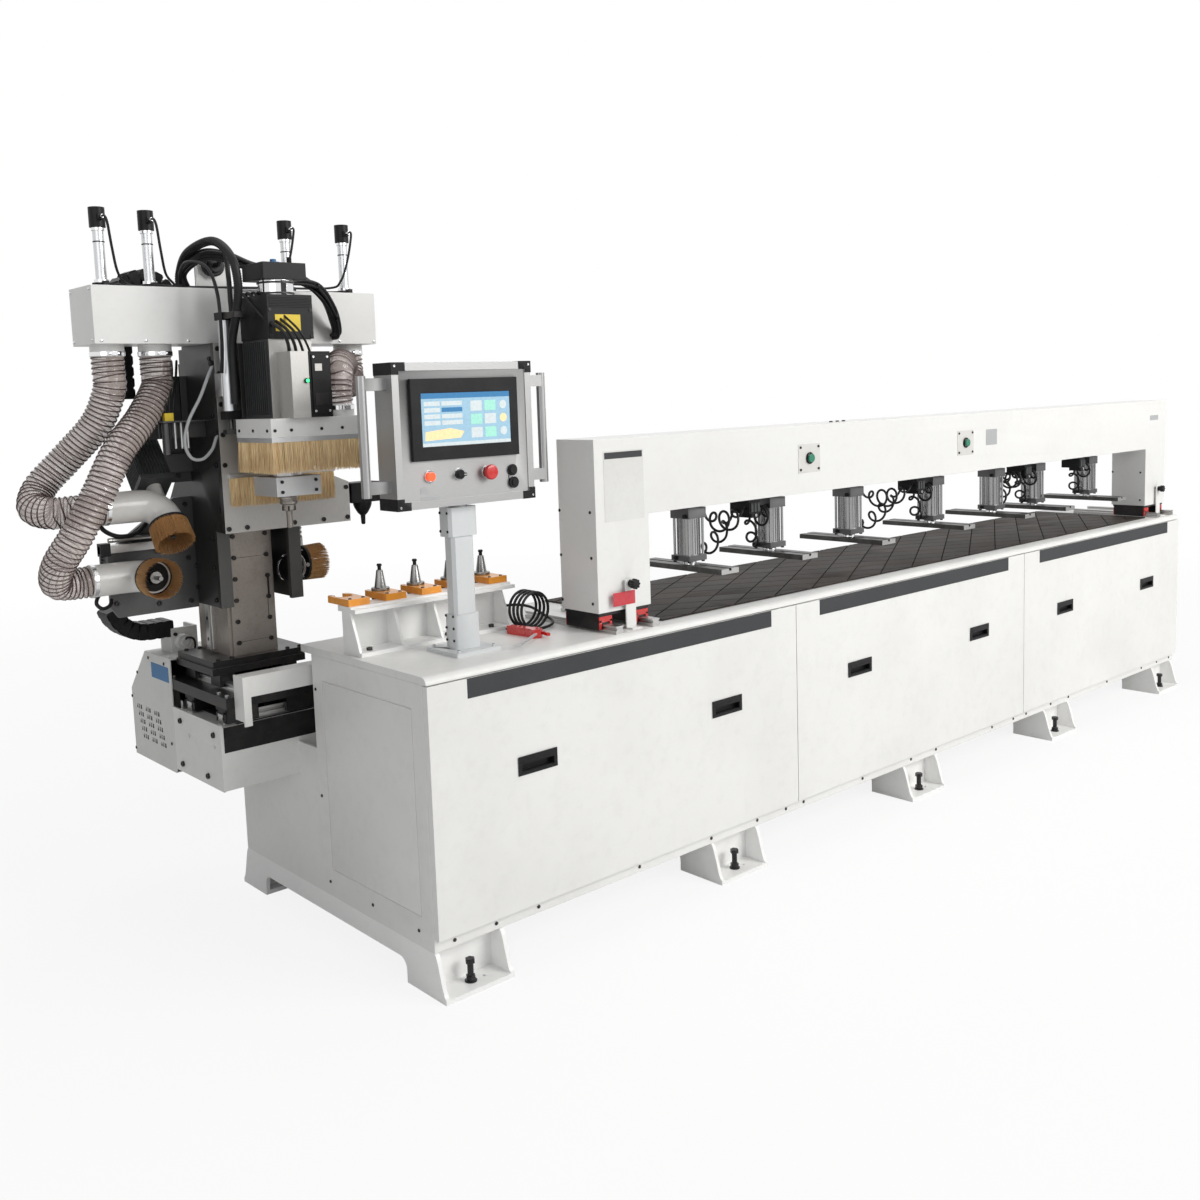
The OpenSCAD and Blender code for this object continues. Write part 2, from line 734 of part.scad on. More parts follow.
// Bow handle on a side of the control box, s gives the side
module bow_handle(x, s) {
    y = hmi_y0 + 36;
    for (z = [hmi_z0 + 44, hmi_z0 + hmi_h - 66])
        block([min(x, x + s * 60), y - 10, z], [max(x, x + s * 60), y + 10, z + 30]);
    translate([x + s * 64, y, hmi_z0 + 36]) linear_extrude(hmi_h - 66) union() {
        circle(r = 11);
        translate([-11, -6]) square([22, 12]);
    }
}

// Bezel of the touch screen
module hmi_screen() color("black") bed() {
    x0 = hmi_x0 + 48;
    z0 = hmi_z0 + hmi_h - 40 - screen_h;
    difference() {
        block([x0, panel_y - 9, z0], [x0 + screen_w, panel_y, z0 + screen_h]);
        block([x0 + 30, panel_y - 10, z0 + 34], [x0 + screen_w - 26, panel_y - 7, z0 + screen_h - 36]);
    }
}

// Lit start button
module start_button() color("red") bed() {
    rod([start_x, panel_y - 12, control_z], 11, 7.5, "y");
    rod([start_x, panel_y - 12, control_z], 10 - fit * 2, 24, "y");
}

// Two-way selector
module selector_knob() color("black") bed() {
    rod([selector_x, panel_y - 10, control_z], 12, 9.7, "y");
    rod([selector_x, panel_y - 10, control_z], 10 - fit * 2, 22, "y");
    block([selector_x - 12, panel_y - 19, control_z - 4], [selector_x + 12, panel_y - 9, control_z + 4]);
}

// Mushroom stop button
module stop_button() color("crimson") bed() {
    rod([estop_x, panel_y - 26, control_z], 20, 14, "y");
    rod([estop_x, panel_y - 26, control_z], 10 - fit * 2, 40, "y");
}

// Tool rack: foot, web, sloping gussets, top plate and an air socket
module tool_rack() color("white") bed() {
    difference() {
        block([rack_x0, rack_y0, table_z], [rack_x1, rack_y1, table_z + 10]);
        for (x = [rack_x0 + 40, rack_x0 + 290, rack_x1 - 60]) rod([x, rack_y0 + 26, table_z - 1], 5, 12);
    }
    block([rack_x0, rack_y1 - 10, table_z + 10], [rack_x1, rack_y1, rack_top - 10]);
    for (x = [rack_x0, rack_x0 + 130, rack_x0 + 258, rack_x1 - 8]) along_x(x, x + 8)
        polygon([[rack_y1 - 10, table_z + 10], [rack_y0 + 8, table_z + 10],
                 [rack_y0 + 50, rack_top - 10], [rack_y1 - 10, rack_top - 10]]);
    block([rack_x0 - 10, rack_y0 + 4, rack_top - 10], [rack_x1 + 14, rack_y1 + 2, rack_top]);
    block([rack_x0 - 10, rack_y0 + 26, rack_top], [rack_x1 + 14, rack_y1 + 2, fork_z]);
    rod([rack_x1, 376, 872], 9, 14, "x");
}

// Forks that hold the spare tools
module tool_forks() color("darkorange") bed() {
    for (x = fork_x) translate([x, 0, fork_z]) difference() {
        linear_extrude(fork_th) difference() {
            polygon([[-fork_w / 2, 361], [fork_w / 2, 361], [fork_w / 2, 468], [fork_w / 2 - 6, 475],
                     [-fork_w / 2 + 6, 475], [-fork_w / 2, 468]]);
            translate([0, fork_y]) circle(r = holder_r + slide_gap);
            translate([-16, fork_y]) square([32, 50]);
        }
        for (dx = [-20, 20]) rod([dx, 375, fork_th - 4], 5, 6);
    }
}

// Taper tool holders in four of the forks
module tool_holders() color("silver") bed() {
    for (i = [1:4]) translate([fork_x[i], fork_y, fork_z]) {
        rod([0, 0, -0.3], holder_r, fork_th + 0.6);
        rod([0, 0, fork_th + 0.3], holder_r + 2.3, 7);
        rod([0, 0, -7], holder_r + 2.3, 6.7);
        rod([0, 0, -40], 16, 33);
        rod([0, 0, -64], 5, 24);
        translate([0, 0, fork_th + 7]) cylinder(r1 = 15.9, r2 = 8.5, h = 48);
        rod([0, 0, fork_th + 55], 5, 12);
        rod([0, 0, fork_th + 66], 7, 6);
    }
}

// Blow gun lying on its side
module blow_gun() color("steelblue") bed() {
    translate([0, 0, table_z]) linear_extrude(24)
        polygon([[456, 270], [476, 270], [488, 196], [499, 188],
                 [494, 160], [478, 148], [460, 160], [466, 186]]);
    translate([0, 0, table_z + 8]) linear_extrude(8)
        polygon([[492, 172], [500, 168], [492, 124], [484, 127]]);
    translate([482, 166, table_z + 12]) rotate([0, 90, 214]) cylinder(r = 4, h = 164);
}

// Least gap between the turns of a tube, from its points
function least_gap(q, r, skip) =
    min([for (i = [0:len(q) - skip - 1]) for (j = [i + skip:len(q) - 1]) norm(q[i] - q[j])]) - 2 * r;

// Air hose with its upright turns
module air_hose() color("black") bed() {
    q = concat(hose_lead, hose_turns, hose_tail);
    echo(str("air hose: least gap to itself ", least_gap(q, hose_r, 5), " mm"));
    sweep(q, hose_r, 6);
}

// Saddle: four trucks, plate, cross rails, and the drive bracket with its motor
module saddle() color("white") bed() {
    for (y = rail_y) for (x = [saddle_x0 + 14, saddle_x1 - 92])
        truck_x(x, 90, y, 62, beam_z1 + 6, truck_z1, beam_z1 + rail_w);
    block([saddle_x0, saddle_y0, truck_z1], [saddle_x1, saddle_y1, saddle_z1]);
    for (x = yrail_x) along_y(saddle_y0 + 4, 972) translate([x, saddle_z1]) rail_section(yrail_w, yrail_w);
    for (x = [pinion_x - 90, pinion_x + 82]) block([x, 975, 600], [x + 8, 1100, truck_z1]);
    difference() {
        union() {
            block([pinion_x - 90, 975, 600], [pinion_x + 90, 1100, 612]);
            block([pinion_x - 45, pinion_y - 45, 450], [pinion_x + 45, pinion_y + 45, 600]);
        }
        rod([pinion_x, pinion_y, 598], 10 + fit, 20);
    }
    difference() {
        block([-180, 1060, 757], [-100, 1140, 830]);
        block([-172, 1068, 765], [-108, 1141, 831]);
    }
    lower_chain();
}

// Drag chain from the saddle, curving up
module lower_chain() {
    chain_y = 1062;
    outline = concat([for (a = [-90:-15:-170]) [-245 + 120 * cos(a), 927 + 120 * sin(a)]],
                     [for (a = [-170:15:-90]) [-245 + 74 * cos(a), 927 + 74 * sin(a)]]);
    along_y(chain_y, chain_y + 76) {
        polygon(outline);
        translate([-246, 807]) square([76, 46]);
    }
}

// White guard in front of the saddle
module saddle_guard() color("white") bed() {
    block([-195, 572, 706], [95, 578, 762]);
    block([-195, 572, 756], [95, 620, 762]);
    block([-195, 572, 628], [-173, 578, 706]);
    block([-195, 572, 640], [-189, saddle_y0, 762]);
    block([saddle_x1 - 7, 572, 670], [saddle_x1 - 1, saddle_y0, 762]);
}

// Outline of the rear cover of the saddle, drawn in by w and open to the front
function louvre_outline(w) =
    let (front = w > 0 ? louvre_y0 - 9 : louvre_y0)
    [[front, louvre_z1 - w], [louvre_y1 - 126 - w / 2, louvre_z1 - w],
     [louvre_y1 - w, louvre_z1 - 132 - w / 2], [louvre_y1 - w, louvre_z0 + w],
     [w > 0 ? front : front + 10, louvre_z0 + w], [front, louvre_z0 + 25 - w]];

// Rear cover of the saddle with louvres in its ends
module louvre_box() color("white") bed() {
    x0 = saddle_x0 - louvre_wall;
    x1 = saddle_x1 + louvre_wall;
    difference() {
        along_x(x0, x1) polygon(louvre_outline(0));
        along_x(saddle_x0, saddle_x1) polygon(louvre_outline(louvre_wall));
        for (i = [0:4]) for (j = [0:2])
            translate([0, louvre_y1 - 72 - j * 66 - i * 9, louvre_z1 - 182 - i * 22])
            block([x0 - 1, 0, 0], [x1 + 1, 36, 7]);
    }
    for (p = [[1131, 741], [1226, 683], [1281, 601], [1280, 438], [999, 505], [1017, 739]])
        rod([x0 - 3, p[0], p[1]], 5, 3, "x");
}

// Half angle, in degrees, of a tooth of the pinion at radius r
function tooth_half(r) =
    let (base = pinion_r * cos(20), a = acos(min(1, base / max(r, base))))
    (PI * rack_m / 4 - backlash / 2) / pinion_r * 180 / PI + involute(20) - involute(a);
function involute(a) = tan(a) * 180 / PI - a;

function on_circle(r, a) = r * [cos(a), sin(a)];

// Pinion in mesh with the rack, on its motor shaft
module x_pinion() color("silver") bed() translate([pinion_x, pinion_y, 0]) {
    steps = [for (k = [0:5]) pinion_r + rack_m * (-0.72 + 1.72 * k / 5)];
    root = pinion_r - rack_m * 1.25;
    flank = concat([root], steps);
    n = len(flank);
    points = [for (i = [0:pinion_n - 1]) each concat(
        [for (k = [0:n - 1]) on_circle(flank[k], i * 360 / pinion_n - tooth_half(flank[k]))],
        [for (k = [n - 1:-1:0]) on_circle(flank[k], i * 360 / pinion_n + tooth_half(flank[k]))])];
    translate([0, 0, rack_z0]) linear_extrude(18) polygon(points);
    rod([0, 0, 600.3], 10, rack_z0 - 600.3);
    rod([0, 0, rack_z0 + 18], 20, 8);
}

// Cross slide: four carriages and a plate
module y_slide() color("gainsboro") bed() {
    for (x = yrail_x) for (y = [737, 900])
        truck_y(x, 46, y, 60, saddle_z1 + 6, slide_z0, yrail_z1, yrail_w);
    block([-205, 730, slide_z0], [75, 970, slide_z1]);
}

// Column: flange, box tube, bolted front cover, screw bearings and lift motor
module column() color("darkgray") bed() {
    block([-200, 735, slide_z1], [86, 970, flange_z1]);
    hollow([col_x0, col_y0, flange_z1], [col_x1, col_y1, col_z1], col_wall);
    block([col_x0 + 8, col_y0 - cover_th, flange_z1], [col_x1 - 8, col_y0, col_z1]);
    n = floor((col_z1 - 840) / col_bolt_pitch);
    for (i = [0:n]) for (x = [col_x0 + 24, col_x1 - 24])
        rod([x, col_y0 - cover_th - 4, 815 + i * col_bolt_pitch], 5, 4, "y");
    block([col_x0, col_y0 - cover_th, col_z1], [col_x1, 1050, col_z1 + 12]);
    block([col_x - 45, screw_y - 45, col_z1 + 12], [col_x + 45, screw_y + 45, col_z1 + 160]);
    for (z = [[800, 830], [col_z1 - 40, col_z1]]) difference() {
        block([col_x - 30, col_y1, z[0]], [col_x + 30, 1030, z[1]]);
        rod([col_x, screw_y, z[0] - 1], screw_r + fit, z[1] - z[0] + 2);
    }
}

// Upright rails on the sides of the column
module z_rails() color("silver") bed() {
    for (s = [-1, 1]) translate([col_x + s * col_w / 2, zrail_y, 790]) rotate(-90 * s)
        linear_extrude(col_z1 - 10 - 790) rail_section(zrail_w, zrail_h);
}

// Lift screw
module z_screw() color("silver") bed() {
    rod([col_x, screw_y, 800.5], screw_r, col_z1 - 801);
}

// Head: side plates, front plate, nut plate, carriages and the router's rails
module head_plates() color("silver") bed() {
    for (x = [side_x0, side_x1 - side_th]) along_x(x, x + side_th)
        polygon([[716, head_low], [716, plate_z0], [head_y, plate_z0], [head_y, head_top], [850, head_top],
                 [850, 1400], [1030, 1180], [1030, 1060], [900, head_low]]);
    for (x = [-180, 30]) block([x, 700, head_low], [x + 36, 716, plate_z0 + 2]);
    along_y(head_y - front_th, head_y)
        polygon([[-182, plate_z0], [196, plate_z0], [196, 1250], [80, 1300],
                 [80, head_top], [-182, head_top]]);
    difference() {
        block([side_x0 + side_th, 975, 1080], [side_x1 - side_th, 1030, 1130]);
        rod([col_x, screw_y, 1079], screw_r + fit, 52);
    }
    for (s = [-1, 1]) for (z = [960, 1270]) z_carriage(s, z);
    for (x = router_rail_x) translate([x, head_y - front_th, 1298]) rotate(180)
        linear_extrude(head_top - 5 - 1298) rail_section(20, 20);
}

// Carriage between a side plate and the column's rail, s gives the side
module z_carriage(s, z) {
    face = col_x + s * (col_w / 2);
    difference() {
        block([min(face + s * 4.5, face + s * 30), zrail_y - 30, z],
              [max(face + s * 4.5, face + s * 30), zrail_y + 30, z + 90]);
        block([min(face, face + s * (zrail_h + slide_gap)), zrail_y - zrail_w / 2 - slide_gap, z - 1],
              [max(face, face + s * (zrail_h + slide_gap)), zrail_y + zrail_w / 2 + slide_gap, z + 91]);
    }
}

// Dust manifold: box with four ports below and the main outlet behind
module dust_manifold() color("white") bed() {
    w = man_wall;
    difference() {
        union() {
            block([man_x0, man_y0, head_top], [man_x0 + man_len, man_y0 + man_dep, man_z1]);
            for (x = gate_x) rod([x, port_y, port_z], pipe_r, port_len);
            rod([outlet_x, man_y0 + man_dep, outlet_z], outlet_r, outlet_len, "y");
        }
        block([man_x0 + w, man_y0 + w, head_top + w],
              [man_x0 + man_len - w, man_y0 + man_dep - w, man_z1 - w]);
        for (x = gate_x) rod([x, port_y, port_z - 1], pipe_r - pipe_wall, port_len + 6);
        rod([outlet_x, man_y0 + man_dep - 6, outlet_z], outlet_r - pipe_wall, outlet_len + 10, "y");
    }
}

// Air cylinders: four for the dust gates and one for the drop of the router
module gate_cylinders() color("silver") bed() {
    for (x = gate_x) {
        rod([x, port_y, man_z1], 23, 12);
        rod([x, port_y, man_z1 + 12], 13.5, gate_h - 62);
        rod([x, port_y, man_z1 + gate_h - 50], 20, 50);
    }
    difference() {
        union() {
            block([drop_x - 19, drop_y - 19, 1440], [drop_x + 19, drop_y + 19, 1462]);
            rod([drop_x, drop_y, 1462], 18, 233);
            block([drop_x - 19, drop_y - 19, 1695], [drop_x + 19, drop_y + 19, 1715]);
            block([drop_x - 19, drop_y, 1500], [drop_x + 19, head_y - front_th, 1560]);
        }
        rod([drop_x, drop_y, 1439], 6, 210);
    }
}

// A ribbed hose with its bore, from hand-set points: n ribs
module ribbed(p, n) {
    q = route(p, 2 * n + 1);
    b = route(p, floor(n / 3) * 2 + 1);
    m = len(q);
    k = len(b);
    outer = rings(q, [for (i = [0:m - 1]) i % 2 == 0 ? rib_r : rib_low], 8);
    inner = rings(b, [for (i = [0:k - 1]) hose_bore], 8);
    base = m * 8;
    end_a = (m - 1) * 8;
    end_b = base + (k - 1) * 8;
    polyhedron(concat(outer, inner),
        concat(skin(m, 8, 0, true), skin(k, 8, base, false),
               [for (j = [0:7]) let (i = (j + 1) % 8) each
                   [[j, i, base + j], [i, base + i, base + j],
                    [end_a + j, end_b + j, end_a + i], [end_a + i, end_b + j, end_b + i]]]));
}

// Dust hoses from the manifold to the elbows and to the hood
module dust_hoses() color("rosybrown") bed() {
    ribbed(hose_a, 24);
    ribbed(hose_b, 28);
    ribbed(hose_c, 16);
    ribbed(hose_d, 18);
}

// Elbow with its collar in front, bend from +Y to -X, leg, and spacer tube behind
module elbow(leg, spacer) {
    difference() {
        union() {
            rod([0, -15, 0], pipe_r, 15, "y");
            translate([-bend_r, 0, 0]) rotate_extrude(angle = 90) translate([bend_r, 0]) circle(r = pipe_r);
            rod([-bend_r - leg, bend_r, 0], pipe_r, leg, "x");
            rod([0, 60, 0], 20, spacer - 60, "y");
        }
        rod([0, -16, 0], pipe_r - pipe_wall, 16.01, "y");
        translate([-bend_r, 0, 0]) rotate_extrude(angle = 90)
            translate([bend_r, 0]) circle(r = pipe_r - pipe_wall);
        rod([-bend_r - leg - 1, bend_r, 0], pipe_r - pipe_wall, leg + 1.01, "x");
        rod([0, 50, 0], spin_r + 2, spacer, "y");
    }
}

// Places something in the frame of each side spindle
module at_low() translate([low_x, low_y, low_z]) children();
module at_up() translate(up_p) rotate([up_tilt, 0, 0]) children();
module at_right() translate([right_x, right_y, right_z]) rotate([0, 90, 0]) children();

module dust_elbows() color("white") bed() {
    at_low() elbow(90, wing_y - low_y);
    at_up() elbow(100, 110);
    at_right() elbow(15, 100);
}

// One pointed three-sided strand from a to b
function strand_points(a, b, r) =
    let (t = unit(b - a), s = unit(drop(abs(t[2]) < 0.9 ? [0, 0, 1] : [1, 0, 0], t)), c = cross(t, s))
    concat([for (j = [0:2]) a + r * (s * cos(120 * j) + c * sin(120 * j))], [b]);
module strand(a, b)
    polyhedron(strand_points(a, b, 1.6), [[0, 1, 2], [0, 3, 1], [1, 3, 2], [2, 3, 0]]);

// Round brush in front of an elbow's collar
module ring_brush(n) {
    difference() {
        rod([0, -17, 0], ring_r + 3, 8, "y");
        rod([0, -18, 0], pipe_r + slide_gap, 10, "y");
    }
    for (i = [0:n - 1]) let (c = cos(360 * i / n), s = sin(360 * i / n))
        strand([ring_r * c, -15, ring_r * s], [(ring_r + 2) * c, -15 - ring_bristle, (ring_r + 2) * s]);
}

// Brushes of the head: three rings and a bar
module head_brushes() color("peru") bed() {
    at_low() ring_brush(36);
    at_up() ring_brush(36);
    at_right() ring_brush(36);
    y = head_y - front_th;
    block([-165, y - 8, 1284], [150, y, 1295]);
    for (i = [0:31]) strand([-160 + i * 10, y - 4, 1288], [-160 + i * 10, y - 4, 1205]);
}

// A square motor along Y with ribs, shaft side at y = 0
module side_motor_body(len) {
    h = side_motor / 2;
    block([-h, 0, -h], [h, 14, h]);
    block([-h + 5, 14, -h + 5], [h - 5, len - 14, h - 5]);
    block([-h, len - 14, -h], [h, len, h]);
}

// Side spindles: wing plate, three motors and their mounts
module side_spindles() color("dimgray") bed() {
    difference() {
        union() {
            along_y(wing_y, wing_y + 15)
                polygon([[side_x0, low_z - 115], [side_x0, low_z + 195], [low_x + 115, low_z + 195],
                         [low_x - 75, low_z + 65], [low_x - 75, low_z - 85], [low_x - 55, low_z - 115]]);
            translate([low_x, wing_y + 15, low_z]) side_motor_body(side_motor_len);
        }
        rod([low_x, wing_y - 1, low_z], spin_r + fit, 40, "y");
    }
    difference() {
        union() {
            at_up() translate([0, 110, 0]) side_motor_body(160);
            block([up_p[0] + 44, 830, up_p[2] + 120], [side_x0, 890, up_p[2] + 170]);
        }
        at_up() rod([0, 105, 0], spin_r + fit, 32, "y");
    }
    difference() {
        union() {
            translate([right_x, 915, right_z]) side_motor_body(125);
            block([side_x1, 915, 985], [right_x - 44, 940, 1055]);
        }
        rod([right_x, 914, right_z], spin_r + fit, 30, "y");
    }
}

// Nose of a side spindle: shaft, collet and cutter, in front of a motor face at y = back
module side_nose(back) {
    rod([0, -6, 0], spin_r, back + 6 + 24, "y");
    rod([0, -26, 0], 16, 20, "y");
    rod([0, -58, 0], 6, 34, "y");
}
module side_nose_1() color("silver") bed() at_low() side_nose(wing_y - low_y);
module side_nose_2() color("silver") bed() at_up() side_nose(110);
module side_nose_3() color("silver") bed() at_right() side_nose(100);

// Cables and drag chain of the head
module cable_loom() color("black") bed() {
    sweep(route(loop_path, 25), 12, 8);
    sweep(route(loom_path, 15), 12, 8);
    arch = concat([for (a = [180:-15:0]) [-260 + 92 * cos(a), 1757 + 92 * sin(a)]],
                  [for (a = [0:15:180]) [-260 + 48 * cos(a), 1757 + 48 * sin(a)]]);
    along_y(862, 938) {
        polygon(arch);
        translate([-352, 1500]) square([44, 258]);
        translate([-212, 1700]) square([44, 58]);
    }
    block([-352, man_y0 + man_dep, 1700], [-168, 862, 1750]);
    block([-215, 780, man_z1], [-165, 820, man_z1 + 12]);
    block([drop_x - 12, 515, 1697], [drop_x + 12, drop_y - 19, 1713]);
    block([-12, 590, 1777], [12, man_y0, 1790]);
}

// Router: slide plate, carriages, motor body, junction box, drawbar cylinder and nose housing
module router_spindle() color("dimgray") bed() {
    x = router_x;
    difference() {
        union() {
            block([x - 73, router_y1, 1400], [x + 73, router_y1 + 16, head_top - 5]);
            block([x - router_w / 2 + 3, router_y1 - router_dep, body_z0],
                  [x + router_w / 2 - 3, router_y1, fan_z0]);
            block([x - router_w / 2, router_y1 - router_dep - 10, fan_z0],
                  [x + router_w / 2, router_y1, fan_z1]);
            block([x - 38, 370, body_z0], [x + 72, router_y1 - router_dep, 1605]);
            rod([x, router_y, fan_z1], 45, 40);
            block([x - 58, 450, fan_z1 + 40], [x + 62, 565, fan_z1 + 82]);
            rod([x, router_y, 1390], 45, 50);
            rod([x, router_y, 1250], 38, 140);
            block([drop_x - 19, router_y1 + 2, 1402], [x - 60, router_y1 + 26, 1414]);
            rod([drop_x, drop_y, 1414], 5.5, 206);
        }
        rod([x, router_y, 1249], nose_r + fit, 200);
    }
    for (rx = router_rail_x) for (z = [1425, 1550]) difference() {
        block([rx - 20, router_y1 + 16, z], [rx + 20, head_y - front_th - 4, z + 80]);
        block([rx - 10 - slide_gap, head_y - front_th - 20 - slide_gap, z - 1],
              [rx + 10 + slide_gap, head_y - front_th, z + 81]);
    }
}

// Router hood: plate, ring of the brush, dust collar and lower clamp cover
module router_hood() color("white") bed() {
    x1 = skirt_x0 + skirt_w;
    y1 = skirt_y0 + skirt_dep;
    w = 14;
    difference() {
        union() {
            block([skirt_x0, skirt_y0, 1425], [x1, y1, 1440]);
            rod([hood_x, hood_y, 1440], pipe_r, 30);
        }
        rod([router_x, router_y, 1424], 45.3, 17);
        rod([hood_x, hood_y, 1424], pipe_r - pipe_wall, 47);
    }
    difference() {
        block([skirt_x0, skirt_y0, skirt_z + 12], [x1, y1, 1425]);
        block([skirt_x0 + w, skirt_y0 + w, skirt_z], [x1 - w, y1 - w, 1426]);
    }
    difference() {
        block([router_x - 63, router_y - 63, 1240], [router_x + 63, router_y + 63, 1290]);
        rod([router_x, router_y, 1239], 38.3, 52);
    }
}

// Brush skirt: a slice of its backing and the strands
module brush_skirt() color("burlywood") bed() {
    x1 = skirt_x0 + skirt_w;
    y1 = skirt_y0 + skirt_dep;
    e = 6;
    difference() {
        block([skirt_x0 + 1, skirt_y0 + 1, skirt_z], [x1 - 1, y1 - 1, skirt_z + 12]);
        block([skirt_x0 + 12, skirt_y0 + 12, skirt_z - 1], [x1 - 12, y1 - 12, skirt_z + 13]);
    }
    nx = 50;
    ny = 36;
    dx = (skirt_w - 2 * e) / nx;
    dy = (skirt_dep - 2 * e) / ny;
    for (i = [0:nx]) for (y = [skirt_y0 + e, y1 - e]) hair(skirt_x0 + e + i * dx, y);
    for (i = [1:ny - 1]) for (x = [skirt_x0 + e, x1 - e]) hair(x, skirt_y0 + e + i * dy);
}

module hair(x, y) strand([x, y, skirt_z + 3], [x, y, skirt_z - skirt_bristle]);

// Nose of the router: shaft, collet nut and cutter
module router_nose() color("silver") bed() translate([router_x, router_y, 0]) {
    rod([0, 0, 1236], nose_r, 190);
    rod([0, 0, 1214], 24, 25.7);
    rod([0, 0, 1196], 18, 18);
    rod([0, 0, 1152], 8, 44);
}

// Outline of the portal in X and Z, drawn in by w
function portal(w) =
    [[leg_x[0] + w, leg_z0 + w], [leg_x[0] + leg_w - w, leg_z0 + w], [leg_x[0] + leg_w - w, beam_z0 + w],
     [leg_x[1] + w, beam_z0 + w], [leg_x[1] + w, leg_z0 + w], [bed_len - w, leg_z0 + w],
     [bed_len - w, beam_top - w], [leg_x[0] + w, beam_top - w]];

// Press beam: closed box section on two legs, with seats for buttons and knobs
module press_beam() color("white") bed() {
    w = beam_wall;
    difference() {
        union() {
            difference() {
                along_y(press_y0, press_y1) polygon(portal(0));
                along_y(press_y0 + w, press_y1 - w) polygon(portal(w));
            }
            for (x = button_x) {
                block([x - 56, press_y0 - 2, button_z - 46], [x + 56, press_y0, button_z + 46]);
                block([x - 20, press_y0, button_z - 20], [x + 20, press_y0 + 34, button_z + 20]);
            }
            for (x = leg_x) translate([x + knob_dx, press_y0, knob_z])
                block([-16, 0, -16], [16, 34, 16]);
        }
        for (x = button_x) rod([x, press_y0 - 3, button_z], 9 + fit, 30, "y");
        for (x = leg_x) rod([x + knob_dx, press_y0 - 1, knob_z], 6 + fit, 27, "y");
    }
}

// Carriages and foot plates of the press beam
module beam_trucks() color("silver") bed() {
    for (x = leg_x) {
        block([x + 6, press_y0 + 5, leg_z0 - 9], [x + leg_w - 6, press_y1 - 5, leg_z0]);
        for (dx = cross_rail_dx)
            truck_y(x + dx, 50, press_y0 + 10, beam_d - 20, table_z + 5, leg_z0 - 9,
                    table_z + cross_rail_h, cross_rail_w);
    }
}

// Press cylinders with their rail and the four valve blocks
module press_cylinders() color("silver") bed() {
    h = cyl_w / 2;
    block([leg_x[0] + leg_w + 4, press_y - 20, cyl_z1 + 15], [leg_x[1] - 8, press_y + 20, beam_z0]);
    for (x = valve_x) block([x, press_y - 48, cyl_z1 - 25], [x + valve_w, press_y + 32, cyl_z1 + 15]);
    for (x = cyl_x) translate([x, press_y, 0]) difference() {
        union() {
            block([-h, -h, cyl_z0], [h, h, cyl_z0 + cap_h]);
            block([-h, -h, cyl_z1 - cap_h], [h, h, cyl_z1 + 15]);
            rod([0, 0, cyl_z0], h - 5, cyl_z1 - cyl_z0);
            for (a = [8 - h, h - 8]) for (b = [8 - h, h - 8]) rod([a, b, cyl_z0 - 4], 4, cyl_z1 - cyl_z0);
        }
        rod([0, 0, cyl_z0 + cap_h], piston_r + fit, cyl_z1 - cyl_z0 - cap_h * 2);
        rod([0, 0, cyl_z0 - 1], rod_r + fit, cap_h + 2);
    }
}

// Points of a curly air tube from a to b that hangs in n curls of radius r
function curly(a, b, r, n) =
    let (s = [sign(b[0] - a[0]) * 8, 0, 0], m = 8 * n)
    concat([a], [for (k = [0:m]) let (t = k / m, g = r * min(1, 3 * t, 3 - 3 * t), v = 45 * k)
                 a + s + (b - a - 2 * s) * t + g * [0, sin(v), cos(v) - 1]], [b]);

// Curly air tubes from the cylinders to the valve blocks
module air_coils() color("black") bed() {
    for (p = tube_pairs) {
        left = cyl_x[p[0]] < valve_x[p[1]];
        xa = cyl_x[p[0]] + (left ? 1 : -1) * cyl_w / 2;
        xb = valve_x[p[1]] + (left ? 0 : valve_w);
        high = curly([xa, press_y - 23, cyl_z1 - 9], [xb, press_y - 30, cyl_z1 - 8], 30, p[2]);
        low = curly([xa, press_y + 18, cyl_z0 + 9], [xb, press_y + 12, cyl_z1 - 16], 24, p[2]);
        echo(str("upper curly tube: least gap ", least_gap(high, hose_r, 4), " mm"));
        echo(str("lower curly tube: least gap ", least_gap(low, hose_r, 4), " mm"));
        sweep(high, hose_r, 6);
        sweep(low, hose_r, 6);
    }
}

// Press foot: bar with a groove on top, joint flange, rod and piston
module press_foot(i) translate([cyl_x[i], press_y, 0]) {
    difference() {
        block([-bar_w / 2, bar_y0 - press_y, bar_z0],
              [bar_w / 2, bar_y0 + bar_len - press_y, bar_z0 + bar_h]);
        for (y = [[bar_y0 - press_y - 1, -40], [40, bar_y0 + bar_len - press_y + 1]])
            block([-5, y[0], bar_z0 + bar_h - 7], [5, y[1], bar_z0 + bar_h + 1]);
    }
    rod([0, 0, bar_z0 + bar_h], 22, 8);
    rod([0, 0, bar_z0 + bar_h], rod_r, cyl_z1 - cap_h - bar_z0 - bar_h - 1);
    rod([0, 0, cyl_z1 - cap_h - 10], piston_r, 9);
}
module press_foot_1() color("darkgray") bed() press_foot(0);
module press_foot_2() color("darkgray") bed() press_foot(1);
module press_foot_3() color("darkgray") bed() press_foot(2);
module press_foot_4() color("darkgray") bed() press_foot(3);
module press_foot_5() color("darkgray") bed() press_foot(4);
module press_foot_6() color("darkgray") bed() press_foot(5);
module press_foot_7() color("darkgray") bed() press_foot(6);

// Push button on the press beam
module beam_button(x) {
    rod([x, press_y0 - 14, button_z], 14, 7.5, "y");
    rod([x, press_y0 - 14, button_z], 9, 34, "y");
}
module beam_button_1() color("green") bed() beam_button(button_x[0]);
module beam_button_2() color("green") bed() beam_button(button_x[1]);

